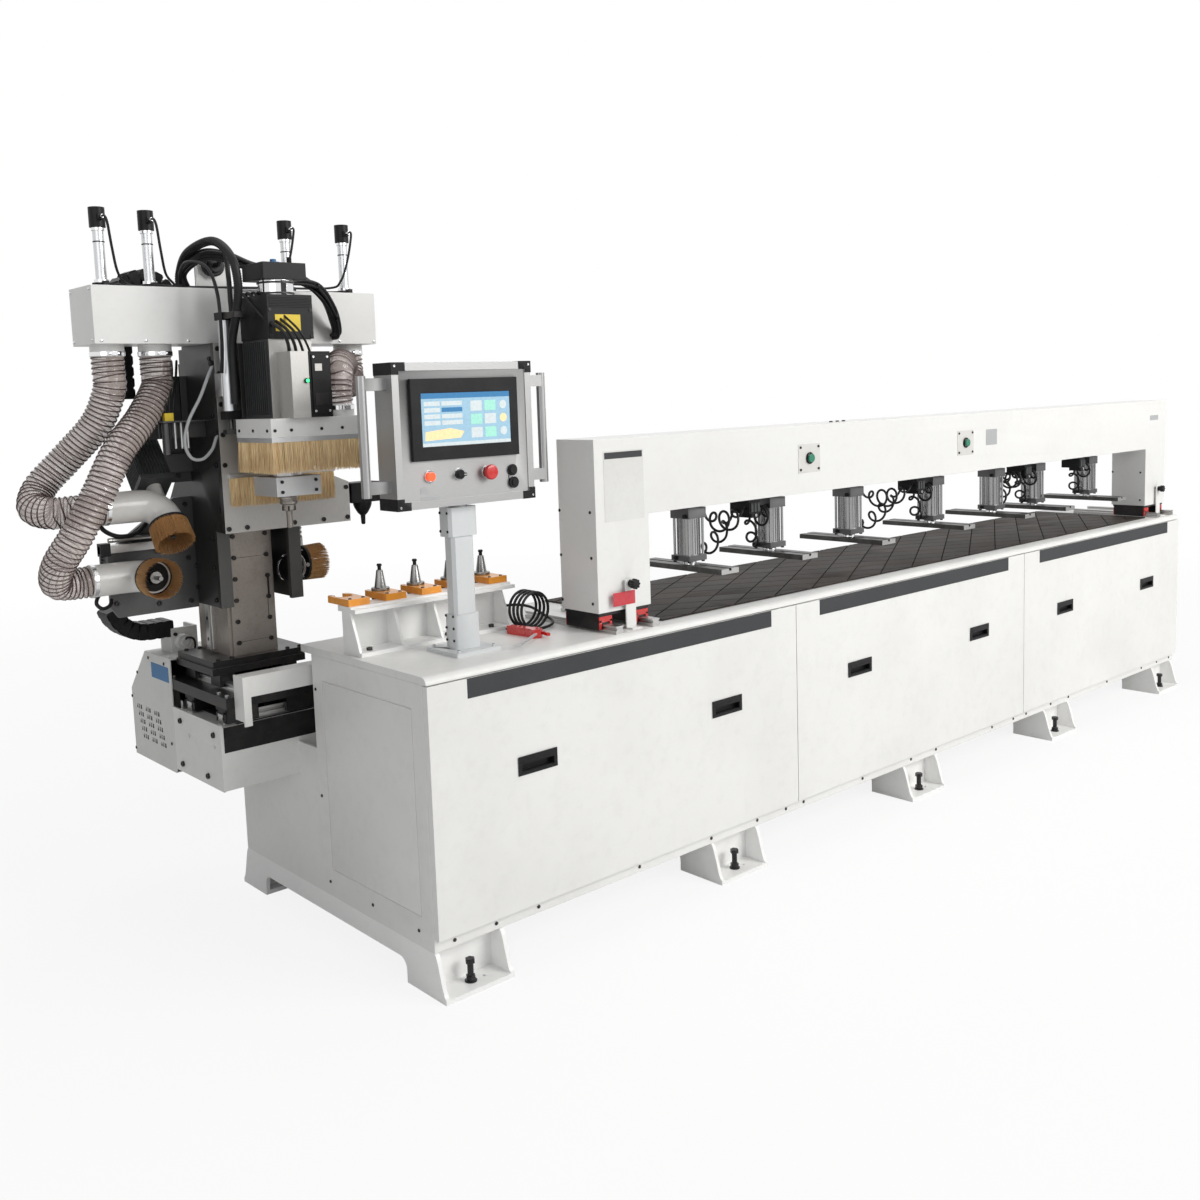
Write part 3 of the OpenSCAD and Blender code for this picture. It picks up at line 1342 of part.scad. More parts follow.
// Clamp knob in its bracket, its screw in the leg of the press beam
module clamp_knob(x) {
    rod([x, knob_y - 30, knob_z], 15, 16, "y");
    rod([x, knob_y - 14, knob_z], 11, 9.7, "y");
    rod([x, knob_y - 14, knob_z], 6, 40, "y");
}
module clamp_knob_1() color("black") bed() clamp_knob(leg_x[0] + knob_dx);
module clamp_knob_2() color("black") bed() clamp_knob(leg_x[1] + knob_dx);

bed_frame();
table_top();
table_pad();
rear_base();
feet();
levelling_bolts();
x_rails();
beam_rails();
front_panel_1();
front_panel_2();
front_panel_3();
hmi_post();
hmi_case();
hmi_screen();
start_button();
selector_knob();
stop_button();
tool_rack();
tool_forks();
tool_holders();
blow_gun();
air_hose();
saddle();
saddle_guard();
louvre_box();
x_pinion();
y_slide();
column();
z_rails();
z_screw();
head_plates();
dust_manifold();
gate_cylinders();
dust_hoses();
dust_elbows();
head_brushes();
side_spindles();
cable_loom();
router_spindle();
router_hood();
brush_skirt();
router_nose();
side_nose_1();
side_nose_2();
side_nose_3();
press_beam();
beam_trucks();
press_cylinders();
air_coils();
press_foot_1();
press_foot_2();
press_foot_3();
press_foot_4();
press_foot_5();
press_foot_6();
press_foot_7();
beam_button_1();
beam_button_2();
clamp_knob_1();
clamp_knob_2();
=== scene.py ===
"""Looks of the CNC grooving machine, built round its CAD frame."""
import json
import math
import random

import bmesh
import bpy
from bpy.props import FloatProperty, FloatVectorProperty, IntProperty, PointerProperty
from mathutils import Matrix, Vector

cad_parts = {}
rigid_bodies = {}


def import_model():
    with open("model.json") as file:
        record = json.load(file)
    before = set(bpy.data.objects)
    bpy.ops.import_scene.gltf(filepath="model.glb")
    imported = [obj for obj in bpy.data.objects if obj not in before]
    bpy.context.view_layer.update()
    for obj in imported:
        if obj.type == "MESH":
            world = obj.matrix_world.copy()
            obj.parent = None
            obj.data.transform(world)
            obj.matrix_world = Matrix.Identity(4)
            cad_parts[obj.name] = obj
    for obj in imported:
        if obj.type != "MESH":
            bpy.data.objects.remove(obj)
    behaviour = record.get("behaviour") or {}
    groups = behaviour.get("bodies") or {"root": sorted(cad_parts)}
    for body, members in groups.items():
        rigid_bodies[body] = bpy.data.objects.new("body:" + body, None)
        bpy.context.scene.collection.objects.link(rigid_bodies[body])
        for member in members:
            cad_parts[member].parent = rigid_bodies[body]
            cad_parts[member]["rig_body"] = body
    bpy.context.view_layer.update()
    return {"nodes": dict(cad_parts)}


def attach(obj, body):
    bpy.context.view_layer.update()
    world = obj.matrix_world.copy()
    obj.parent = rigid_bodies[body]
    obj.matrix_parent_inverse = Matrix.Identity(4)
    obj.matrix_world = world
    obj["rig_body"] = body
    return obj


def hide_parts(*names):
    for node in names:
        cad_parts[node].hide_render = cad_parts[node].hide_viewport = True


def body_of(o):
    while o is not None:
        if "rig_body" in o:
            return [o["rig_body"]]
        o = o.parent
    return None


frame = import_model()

bl_info = {
    "name": "CNC grooving machine",
    "version": (1, 0, 0),
    "blender": (4, 5, 0),
    "location": "3D View > Sidebar > Grooving machine",
    "description": "Finishes and fine parts of a grooving machine round its CAD frame",
    "category": "Object",
}

# The drawing's own zero, in millimetres: near end of the bed, front of the cabinet, floor
DRAWING_ZERO = Vector((1795.6, 634.0, 0.0))
MM = 0.001


def at(x, y, z):
    """A point of the drawing, in millimetres, as metres in the frame."""
    return (Vector((x, y, z)) - DRAWING_ZERO) * MM


# Settings


def colour_setting(name, description, rgb):
    return FloatVectorProperty(name=name, description=description, subtype="COLOR", size=4, min=0, max=1,
                               default=(*rgb, 1.0))


def size_setting(name, description, default, low, high):
    """A length in the drawing's millimetres."""
    return FloatProperty(name=name, description=description, default=default, min=low, max=high)


def number_setting(name, description, default, low, high):
    return IntProperty(name=name, description=description, default=default, min=low, max=high)


def grey(value):
    return value, value, value, 1


class GrooverFinishes(bpy.types.PropertyGroup):
    """Colours of the finishes."""

    white: colour_setting("White paint", "Bed, panels, press beam and manifold", (0.80, 0.80, 0.785))
    louvre: colour_setting("Cover paint", "Rear cover of the saddle", (0.72, 0.72, 0.70))
    stripe: colour_setting("Stripe", "Dark stripes on the panels", (0.038, 0.040, 0.043))
    orange: colour_setting("Fork orange", "Tool forks", (0.86, 0.33, 0.02))
    pad: colour_setting("Pad rubber", "Grooved pad on the table", (0.018, 0.013, 0.011))
    bristle: colour_setting("Pale bristles", "Skirt and bar brush", (1.0, 0.66, 0.38))
    amber: colour_setting("Amber bristles", "Round brushes", (0.52, 0.29, 0.12))
    hose: colour_setting("Dust hose", "Wall of the dust hoses", (0.70, 0.60, 0.57))
    wear: FloatProperty(name="Wear", description="Strength of dirt and wear", default=1.0, min=0, max=2)


class GrooverSizes(bpy.types.PropertyGroup):
    """Sizes of the fine parts, in millimetres."""

    hose_pitch: size_setting("Hose pitch", "Distance between hose wires", 13.0, 8, 30)
    wire: size_setting("Hose wire", "Radius of the hose wire", 2.0, 0.5, 3)
    ring_hairs: number_setting("Ring bristles", "Bristles in a round brush", 1300, 100, 4000)
    skirt_hairs: number_setting("Skirt bristles", "Bristles in the skirt", 4200, 300, 9000)
    edge: size_setting("Edge rounding", "Rounding of sheet edges", 1.2, 0.1, 4)
    seed: number_setting("Seed", "Seed of everything random", 7, 0, 9999)


def finishes():
    return bpy.context.scene.groover_finishes


def sizes():
    return bpy.context.scene.groover_sizes


# Node groups for finishes


def new_group(name, inputs, outputs):
    """A shader group with its named sockets, and its two end nodes."""
    group = bpy.data.node_groups.new(name, "ShaderNodeTree")
    for label, kind, value in inputs:
        socket = group.interface.new_socket(label, in_out="INPUT", socket_type=kind)
        socket.default_value = value
    for label, kind in outputs:
        group.interface.new_socket(label, in_out="OUTPUT", socket_type=kind)
    return group, group.nodes.new("NodeGroupInput"), group.nodes.new("NodeGroupOutput")


FLOAT, INT, COLOR = "NodeSocketFloat", "NodeSocketInt", "NodeSocketColor"


def noise(tree, coords, scale, detail=4.0, rough=0.6):
    node = tree.nodes.new("ShaderNodeTexNoise")
    node.inputs["Detail"].default_value = detail
    node.inputs["Roughness"].default_value = rough
    tree.links.new(coords, node.inputs["Vector"])
    if hasattr(scale, "links"):
        tree.links.new(scale, node.inputs["Scale"])
    else:
        node.inputs["Scale"].default_value = scale
    return node.outputs["Fac"]


def math_node(tree, operation, a, b=None, clamp=False):
    node = tree.nodes.new("ShaderNodeMath")
    node.operation = operation
    node.use_clamp = clamp
    for socket, value in zip(node.inputs, (a, b)):
        if value is None:
            continue
        if hasattr(value, "links"):
            tree.links.new(value, socket)
        else:
            socket.default_value = value
    return node.outputs[0]


def ramp(tree, value, low, high):
    """value from low to high, spread over 0 to 1."""
    node = tree.nodes.new("ShaderNodeMapRange")
    tree.links.new(value, node.inputs["Value"])
    node.inputs["From Min"].default_value = low
    node.inputs["From Max"].default_value = high
    return node.outputs["Result"]


def mix(tree, share, a, b):
    node = tree.nodes.new("ShaderNodeMix")
    node.data_type = "RGBA"
    for key, value in ((0, share), (6, a), (7, b)):
        if hasattr(value, "links"):
            tree.links.new(value, node.inputs[key])
        else:
            node.inputs[key].default_value = value
    return node.outputs[2]


def object_coords(tree, stretch=None):
    node = tree.nodes.new("ShaderNodeTexCoord")
    if stretch is None:
        return node.outputs["Object"]
    mapping = tree.nodes.new("ShaderNodeMapping")
    mapping.inputs["Scale"].default_value = stretch
    tree.links.new(node.outputs["Object"], mapping.inputs["Vector"])
    return mapping.outputs["Vector"]


def soiling_group():
    """Faint dirt and rub marks: a colour that varies, and a roughness."""
    group, source, out = new_group(
        "soiling",
        [("Color", COLOR, (0.8, 0.8, 0.8, 1)), ("Dirt", COLOR, (0.25, 0.23, 0.2, 1)), ("Amount", FLOAT, 0.2),
         ("Scale", FLOAT, 3.0), ("Roughness", FLOAT, 0.45), ("Spread", FLOAT, 0.1)],
        [("Color", COLOR), ("Roughness", FLOAT)],
    )
    coords = object_coords(group)
    broad = ramp(group, noise(group, coords, source.outputs["Scale"], 6.0), 0.45, 0.8)
    fine_scale = math_node(group, "MULTIPLY", source.outputs["Scale"], 22.0)
    fine = ramp(group, noise(group, coords, fine_scale, 3.0), 0.5, 0.85)
    both = math_node(group, "ADD", broad, math_node(group, "MULTIPLY", fine, 0.5))
    marks = math_node(group, "MULTIPLY", both, source.outputs["Amount"], True)
    group.links.new(mix(group, marks, source.outputs["Color"], source.outputs["Dirt"]), out.inputs["Color"])
    swing = math_node(group, "MULTIPLY", math_node(group, "SUBTRACT", broad, 0.3), source.outputs["Spread"])
    rough = math_node(group, "ADD", source.outputs["Roughness"], swing, True)
    group.links.new(rough, out.inputs["Roughness"])
    return group


def grain_group():
    """Height of a fine grain, such as powder coat or a cast skin."""
    inputs = [("Scale", FLOAT, 900.0), ("Height", FLOAT, 1.0)]
    group, source, out = new_group("grain", inputs, [("Height", FLOAT)])
    value = noise(group, object_coords(group), source.outputs["Scale"], 2.0)
    group.links.new(math_node(group, "MULTIPLY", value, source.outputs["Height"]), out.inputs["Height"])
    return group


def brushing_group():
    """Grinding marks along one direction: a colour, a roughness and a height."""
    group, source, out = new_group(
        "brushing",
        [("Color", COLOR, (0.6, 0.6, 0.6, 1)), ("Along X", FLOAT, 1.0), ("Along Y", FLOAT, 1.0),
         ("Along Z", FLOAT, 1.0), ("Depth", FLOAT, 0.25), ("Roughness", FLOAT, 0.3)],
        [("Color", COLOR), ("Roughness", FLOAT), ("Height", FLOAT)],
    )
    stretch = group.nodes.new("ShaderNodeCombineXYZ")
    for axis in "XYZ":
        group.links.new(source.outputs["Along " + axis], stretch.inputs[axis])
    scaled = group.nodes.new("ShaderNodeVectorMath")
    scaled.operation = "MULTIPLY"
    group.links.new(object_coords(group), scaled.inputs[0])
    group.links.new(stretch.outputs[0], scaled.inputs[1])
    lines = noise(group, scaled.outputs[0], 60.0, 5.0, 0.7)
    shade = math_node(group, "MULTIPLY", ramp(group, lines, 0.3, 0.75), source.outputs["Depth"], True)
    group.links.new(mix(group, shade, source.outputs["Color"], (0.12, 0.12, 0.12, 1)), out.inputs["Color"])
    rougher = math_node(group, "MULTIPLY", shade, 0.3)
    rough = math_node(group, "ADD", source.outputs["Roughness"], rougher, True)
    group.links.new(rough, out.inputs["Roughness"])
    group.links.new(lines, out.inputs["Height"])
    return group


def place(tree, group, **values):
    node = tree.nodes.new("ShaderNodeGroup")
    node.node_tree = bpy.data.node_groups[group]
    for key, value in values.items():
        node.inputs[key.replace("_", " ")].default_value = value
    return node


def new_material(name):
    material = bpy.data.materials.new(name)
    material.use_nodes = True
    tree = material.node_tree
    shader = next(n for n in tree.nodes if n.type == "BSDF_PRINCIPLED")
    return material, tree, shader


def add_bump(tree, shader, height, strength, distance=0.0004):
    bump = tree.nodes.new("ShaderNodeBump")
    bump.inputs["Strength"].default_value = strength
    bump.inputs["Distance"].default_value = distance
    tree.links.new(height, bump.inputs["Height"])
    tree.links.new(bump.outputs["Normal"], shader.inputs["Normal"])


def coated(name, rgb, rough=0.42, dirt=(0.25, 0.23, 0.2, 1), amount=0.12, scale=3.0, spread=0.12,
           grain=900.0, bump=0.12, metallic=0.0, coat=0.0, specular=0.5):
    """Paint, plastic, rubber or a dark steel skin."""
    material, tree, shader = new_material(name)
    soil = place(tree, "soiling", Color=(*rgb[:3], 1), Dirt=dirt, Amount=amount * finishes().wear,
                 Scale=scale, Roughness=rough, Spread=spread)
    tree.links.new(soil.outputs["Color"], shader.inputs["Base Color"])
    tree.links.new(soil.outputs["Roughness"], shader.inputs["Roughness"])
    add_bump(tree, shader, place(tree, "grain", Scale=grain, Height=1.0).outputs["Height"], bump)
    shader.inputs["Metallic"].default_value = metallic
    shader.inputs["Coat Weight"].default_value = coat
    shader.inputs["Specular IOR Level"].default_value = specular
    return material


def machined(name, rgb, along=(1.0, 12.0, 12.0), rough=0.28, depth=0.25, bump=0.15, metallic=1.0):
    """Ground, brushed or drawn metal."""
    material, tree, shader = new_material(name)
    lines = place(tree, "brushing", Color=(*rgb[:3], 1), Along_X=along[0], Along_Y=along[1], Along_Z=along[2],
                  Depth=depth, Roughness=rough)
    tree.links.new(lines.outputs["Color"], shader.inputs["Base Color"])
    tree.links.new(lines.outputs["Roughness"], shader.inputs["Roughness"])
    add_bump(tree, shader, lines.outputs["Height"], bump, 0.0002)
    shader.inputs["Metallic"].default_value = metallic
    return material


def lit(name, rgb, strength, rough=0.25):
    """A lens or lamp that glows."""
    material, tree, shader = new_material(name)
    soil = place(tree, "soiling", Color=(*rgb, 1), Dirt=(*[c * 0.6 for c in rgb], 1), Amount=0.4, Scale=160.0,
                 Roughness=rough, Spread=0.05)
    tree.links.new(soil.outputs["Color"], shader.inputs["Base Color"])
    tree.links.new(soil.outputs["Color"], shader.inputs["Emission Color"])
    tree.links.new(soil.outputs["Roughness"], shader.inputs["Roughness"])
    shader.inputs["Emission Strength"].default_value = strength
    return material


def see_through(name, rgb, alpha, rough=0.2):
    """Clear or tinted plastic wall, cloudier in places."""
    material, tree, shader = new_material(name)
    soil = place(tree, "soiling", Color=(*rgb[:3], 1), Dirt=(0.75, 0.68, 0.58, 1), Amount=0.5, Scale=9.0,
                 Roughness=rough, Spread=0.25)
    tree.links.new(soil.outputs["Color"], shader.inputs["Base Color"])
    tree.links.new(soil.outputs["Roughness"], shader.inputs["Roughness"])
    cloud = ramp(tree, noise(tree, object_coords(tree), 12.0), 0.3, 0.8)
    spread = math_node(tree, "ADD", alpha, math_node(tree, "MULTIPLY", cloud, 0.25), True)
    tree.links.new(spread, shader.inputs["Alpha"])
    shader.inputs["Coat Weight"].default_value = 0.4
    return material


def bristle_finish(name, rgb):
    """Natural hair, with strands a little lighter or darker than their neighbours."""
    material, tree, shader = new_material(name)
    streak = noise(tree, object_coords(tree, (1.0, 1.0, 0.04)), 620.0, 2.0)
    darker = (*[c * 0.72 for c in rgb[:3]], 1)
    lighter = (*[min(1, c * 1.3) for c in rgb[:3]], 1)
    tone = mix(tree, ramp(tree, streak, 0.35, 0.7), darker, lighter)
    tree.links.new(tone, shader.inputs["Base Color"])
    shader.inputs["Roughness"].default_value = 0.6
    shader.inputs["Specular IOR Level"].default_value = 0.3
    return material


MATERIALS = {}


def finish(name):
    return MATERIALS[name]


def make_finishes():
    f = finishes()
    soiling_group()
    grain_group()
    brushing_group()
    made = [
        # A lighter copy of the white paint for the feet and the tool rack: painted light on faces the lamps
        # leave in shade
        coated("bright_paint", (0.92, 0.92, 0.91), 0.42, amount=0.12, scale=3.0, coat=0.1),
        coated("white_paint", f.white, 0.40, amount=0.10, scale=2.2, coat=0.15),
        coated("bed_paint", f.white, 0.42, amount=0.16, scale=1.4, coat=0.1),
        coated("cover_paint", f.louvre, 0.5, amount=0.16, scale=4.0),
        coated("post_paint", (0.66, 0.68, 0.69), 0.38, amount=0.1, scale=8.0),
        coated("stripe_paint", f.stripe, 0.5, grey(0.12), 0.12, 6.0, specular=0.3),
        coated("fork_orange", f.orange, 0.35, (0.3, 0.1, 0.02, 1), 0.35, 30.0, coat=0.3),
        coated("pad_rubber", f.pad, 0.62, (0.07, 0.055, 0.045, 1), 0.7, 5.0, grain=260.0, bump=0.9,
               specular=0.2),
        # Near-black for the pad's groove bottoms: painted shade in the grooves
        coated("groove_black", grey(0.003), 0.9, (0.012, 0.01, 0.009, 1), 0.4, 20.0, specular=0.05),
        coated("black_plastic", (0.010, 0.010, 0.011), 0.42, grey(0.035), 0.4, 12.0, specular=0.2),
        coated("black_rubber", grey(0.012), 0.65, (0.05, 0.048, 0.045, 1), 0.4, 30.0, specular=0.2),
        coated("black_cable", (0.011, 0.011, 0.012), 0.45, grey(0.04), 0.4, 40.0, specular=0.25),
        coated("black_steel", (0.03, 0.03, 0.032), 0.36, (0.13, 0.11, 0.09, 1), 0.45, 9.0, metallic=0.7),
        coated("cover_steel", (0.36, 0.325, 0.295), 0.36, (0.12, 0.095, 0.08, 1), 0.6, 10.0, metallic=0.6),
        coated("motor_grey", (0.048, 0.050, 0.052), 0.45, grey(0.14), 0.3, 14.0, specular=0.3),
        coated("bar_grey", (0.085, 0.083, 0.08), 0.38, grey(0.25), 0.5, 18.0, metallic=0.75),
        coated("red_plastic", (0.62, 0.02, 0.018), 0.3, (0.2, 0.01, 0.01, 1), 0.25, 30.0, coat=0.4),
        coated("red_label", (0.55, 0.035, 0.05), 0.4, (0.8, 0.5, 0.5, 1), 0.08, 60.0),
        coated("green_plastic", (0.02, 0.22, 0.13), 0.35, (0.01, 0.08, 0.05, 1), 0.25, 40.0, coat=0.3),
        coated("yellow_label", (0.85, 0.62, 0.03), 0.45, (0.5, 0.35, 0.05, 1), 0.25, 40.0),
        coated("blue_label", (0.02, 0.16, 0.38), 0.4, (0.2, 0.3, 0.4, 1), 0.25, 40.0),
        coated("grey_label", (0.42, 0.43, 0.44), 0.4, amount=0.1, scale=40.0),
        coated("pale_plastic", (0.70, 0.69, 0.665), 0.34, amount=0.16, scale=20.0, coat=0.3),
        machined("ground_steel", (0.58, 0.575, 0.565), (1.0, 14.0, 14.0), 0.26, 0.3),
        # Dark steel for the head's side plates and the router body's sides: painted shade on faces turned
        # from the light
        machined("plate_steel", (0.085, 0.085, 0.083), (14.0, 14.0, 1.0), 0.40, 0.35),
        machined("front_steel", (0.50, 0.49, 0.47), (14.0, 14.0, 1.0), 0.40, 0.25, metallic=0.7),
        machined("collet_steel", (0.34, 0.31, 0.28), (6.0, 6.0, 30.0), 0.24, 0.3),
        machined("wing_steel", (0.10, 0.10, 0.10), (10.0, 1.0, 10.0), 0.4, 0.4),
        machined("cast_aluminium", (0.62, 0.625, 0.63), (9.0, 9.0, 9.0), 0.42, 0.18),
        machined("drawn_aluminium", (0.68, 0.69, 0.70), (14.0, 14.0, 0.6), 0.3, 0.18),
        machined("box_aluminium", (0.37, 0.37, 0.37), (1.0, 1.0, 16.0), 0.42, 0.12, 0.06),
        machined("barrel_chrome", (0.56, 0.56, 0.565), (14.0, 14.0, 0.6), 0.17, 0.3),
        machined("cap_grey", (0.15, 0.15, 0.152), (9.0, 9.0, 9.0), 0.38, 0.2),
        machined("tool_steel", (0.30, 0.295, 0.29), (6.0, 6.0, 30.0), 0.28, 0.25),
        machined("chrome", (0.78, 0.78, 0.79), (6.0, 6.0, 30.0), 0.12, 0.08, 0.05),
        machined("hose_wire", (0.060, 0.030, 0.027), (4.0, 4.0, 4.0), 0.35, 0.3, metallic=0.2),
        see_through("hose_wall", f.hose, 0.26),
        bristle_finish("pale_bristle", f.bristle),
        bristle_finish("amber_bristle", f.amber),
        lit("lamp_red", (1.0, 0.09, 0.03), 1.2),
        lit("led_green", (0.05, 1.0, 0.25), 2.5),
        lit("screen_sky", (0.34, 0.55, 0.70), 0.18),
        lit("screen_bar", (0.03, 0.16, 0.34), 0.5),
        lit("screen_pale", (0.66, 0.73, 0.75), 0.18),
        lit("screen_sand", (0.86, 0.62, 0.34), 0.5),
        lit("screen_mint", (0.30, 0.62, 0.52), 0.5),
    ]
    MATERIALS.update({m.name: m for m in made})


# Shapes


# Turns a shape made along Z so that it runs along Y
AXIS_Y = Matrix(((1, 0, 0), (0, 0, 1), (0, -1, 0)))
TURNS = {"x": Matrix(((0, 0, 1), (0, 1, 0), (-1, 0, 0))), "y": AXIS_Y, "z": Matrix.Identity(3)}


def circle(p, turn, r, h, n):
    """n points of a circle of radius r at height h over p, along the turned axis."""
    angles = [math.tau * j / n for j in range(n)]
    return [Vector(p) + turn @ Vector((r * math.cos(a), r * math.sin(a), h)) for a in angles]


def wraps(count, n):
    """Faces between each ring of n points and the next of count rings."""
    return [(k * n + j, k * n + (j + 1) % n, (k + 1) * n + (j + 1) % n, (k + 1) * n + j)
            for k in range(count - 1) for j in range(n)]


def caps(count, n):
    """The two flat faces that close a stack of count rings."""
    return [tuple(range(n))[::-1], tuple(range((count - 1) * n, count * n))]


BLOCK_FACES = [(0, 1, 3, 2), (4, 6, 7, 5), (0, 4, 5, 1), (2, 3, 7, 6), (0, 2, 6, 4), (1, 5, 7, 3)]


class Maker:
    """Collects shapes drawn in millimetres and turns them into one piece."""

    def __init__(self):
        self.points, self.faces, self.slots = [], [], []

    def add(self, points, faces, slot=0):
        base = len(self.points)
        self.points += [tuple(p) for p in points]
        self.faces += [[base + i for i in face] for face in faces]
        self.slots += [slot] * len(faces)

    def block(self, a, b, slot=0):
        x0, x1 = sorted((a[0], b[0]))
        y0, y1 = sorted((a[1], b[1]))
        z0, z1 = sorted((a[2], b[2]))
        corners = [(x, y, z) for x in (x0, x1) for y in (y0, y1) for z in (z0, z1)]
        self.add(corners, BLOCK_FACES, slot)

    def lathe(self, p, profile, axis="z", slot=0, n=28, matrix=None):
        """A turned shape: profile lists (radius, height) along the axis, closed with flat ends."""
        turn = matrix or TURNS[axis]
        points = [v for r, h in profile for v in circle(p, turn, r, h, n)]
        self.add(points, wraps(len(profile), n) + caps(len(profile), n), slot)

    def rod(self, p, r, h, axis="z", slot=0, n=28, chamfer=0.0, matrix=None):
        c = chamfer
        profile = [(r - c, 0), (r, c), (r, h - c), (r - c, h)] if c else [(r, 0), (r, h)]
        self.lathe(p, profile, axis, slot, n, matrix)

    def ring(self, p, r_in, r_out, h, axis="z", slot=0, n=36, matrix=None):
        """A flat ring with its hole, from p along the axis."""
        profile = [(r_out, 0), (r_out, h), (r_in, h), (r_in, 0)]
        turn = matrix or TURNS[axis]
        points = [v for r, w in profile for v in circle(p, turn, r, w, n)]
        faces = [(k * n + j, k * n + (j + 1) % n, (k + 1) % 4 * n + (j + 1) % n, (k + 1) % 4 * n + j)
                 for k in range(4) for j in range(n)]
        self.add(points, faces, slot)

    def prism(self, outline, low, high, axis="y", slot=0):
        """An outline in the two other axes, drawn out along one."""
        place_w = "xyz".index(axis)
        n = len(outline)
        ends = [(*p[:place_w], w, *p[place_w:]) for w in (low, high) for p in outline]
        self.add(ends, [tuple(range(n)), tuple(range(n, 2 * n))] +
                 [(i, (i + 1) % n, n + (i + 1) % n, n + i) for i in range(n)], slot)

    def tube(self, path, radius, slot=0, n=10, inner=None):
        """A tube along a path; radius is one number or one for each point; inner leaves a bore."""
        path = [Vector(p) for p in path]
        radii = radius if isinstance(radius, list) else [radius] * len(path)
        frames = side_vectors(path)

        def ring(k, r):
            a, b = frames[k]
            angles = [math.tau * j / n for j in range(n)]
            return [path[k] + r * (a * math.cos(v) + b * math.sin(v)) for v in angles]

        m = len(path)
        points = [v for k in range(m) for v in ring(k, radii[k])]
        faces = [(k * n + j, (k + 1) * n + j, (k + 1) * n + (j + 1) % n, k * n + (j + 1) % n)
                 for k in range(m - 1) for j in range(n)]
        if inner is None:
            faces += [tuple(range(n)), tuple(range((m - 1) * n, m * n))[::-1]]
        else:
            base = m * n
            points += [v for k in range(m) for v in ring(k, radii[k] - inner)]
            faces += [(base + k * n + j, base + k * n + (j + 1) % n, base + (k + 1) * n + (j + 1) % n,
                       base + (k + 1) * n + j) for k in range(m - 1) for j in range(n)]
            for k in (0, m - 1):
                faces += [(k * n + j, k * n + (j + 1) % n, base + k * n + (j + 1) % n, base + k * n + j)
                          for j in range(n)]
        self.add(points, faces, slot)

    def cable(self, points, count, radius, slot=0, n=8):
        """A round cable through count points of a smooth route."""
        self.tube(smooth_route(points, count), radius, slot, n)

    def mesh(self, name, mats):
        mesh = bpy.data.meshes.new(name)
        mesh.from_pydata([at(*p) for p in self.points], [], self.faces)
        for mat in mats:
            mesh.materials.append(finish(mat))
        mesh.polygons.foreach_set("material_index", self.slots)
        work = bmesh.new()
        work.from_mesh(mesh)
        bmesh.ops.recalc_face_normals(work, faces=work.faces)
        work.to_mesh(mesh)
        work.free()
        return mesh

    def piece(self, name, mats, body, bevel=0.0, segments=2, sharp=35):
        """The finished piece, riding on its body."""
        mats = [mats] if isinstance(mats, str) else mats
        obj = bpy.data.objects.new(name, self.mesh(name, mats))
        bpy.context.scene.collection.objects.link(obj)
        soften(obj, bevel, segments, sharp)
        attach(obj, body)
        return obj


def side_vectors(path):
    """Two side vectors at each point of a path, carried along without twisting."""
    out, side = [], None
    for k in range(len(path)):
        t = (path[min(k + 1, len(path) - 1)] - path[max(k - 1, 0)]).normalized()
        if side is None:
            side = Vector((0, 1, 0)) if abs(t.y) < 0.9 else Vector((1, 0, 0))
        side = (side - t * side.dot(t)).normalized()
        out.append((side, t.cross(side)))
    return out


def smooth_route(points, count):
    """count points along a smooth route through the given ones."""
    points = [Vector(p) for p in points]
    out = []
    for k in range(count):
        u = k * (len(points) - 1) / (count - 1)
        i = min(int(u), len(points) - 2)
        t = u - i
        a, b, c, d = points[max(i - 1, 0)], points[i], points[i + 1], points[min(i + 2, len(points) - 1)]
        square, cube = (2 * a - 5 * b + 4 * c - d) * t * t, (3 * b - a - 3 * c + d) * t ** 3
        out.append(0.5 * (2 * b + (c - a) * t + square + cube))
    return out


def route_length(path):
    return sum((b - a).length for a, b in zip(path, path[1:]))


def even_route(path, step):
    """The same path with its points a step apart."""
    lengths = [0.0]
    for a, b in zip(path, path[1:]):
        lengths.append(lengths[-1] + (b - a).length)
    count = max(2, round(lengths[-1] / step) + 1)
    out, k = [], 0
    for i in range(count):
        want = lengths[-1] * i / (count - 1)
        while k < len(path) - 2 and lengths[k + 1] < want:
            k += 1
        share = (want - lengths[k]) / max(lengths[k + 1] - lengths[k], 1e-9)
        out.append(path[k].lerp(path[k + 1], min(1, share)))
    return out


def soften(obj, bevel, segments=2, sharp=35):
    """Smooth shading with sharp edges kept, and rounded edges of the given width in millimetres."""
    mesh = obj.data
    mesh.polygons.foreach_set("use_smooth", [True] * len(mesh.polygons))
    mesh.set_sharp_from_angle(angle=math.radians(sharp))
    if bevel:
        mod = obj.modifiers.new("rounding", "BEVEL")
        mod.width = bevel * MM
        mod.segments = segments
        mod.limit_method = "ANGLE"
        mod.angle_limit = math.radians(50)
        mod.use_clamp_overlap = True
        mod.harden_normals = True


# Points of a CAD mesh nearer than WELD metres are one, and faces that turn less than FLAT_ANGLE
# degrees are one flat face; a face up to AREA_SLACK metres outside an area still counts as inside
WELD = 2e-6
FLAT_ANGLE = 0.6
AREA_SLACK = 0.0006


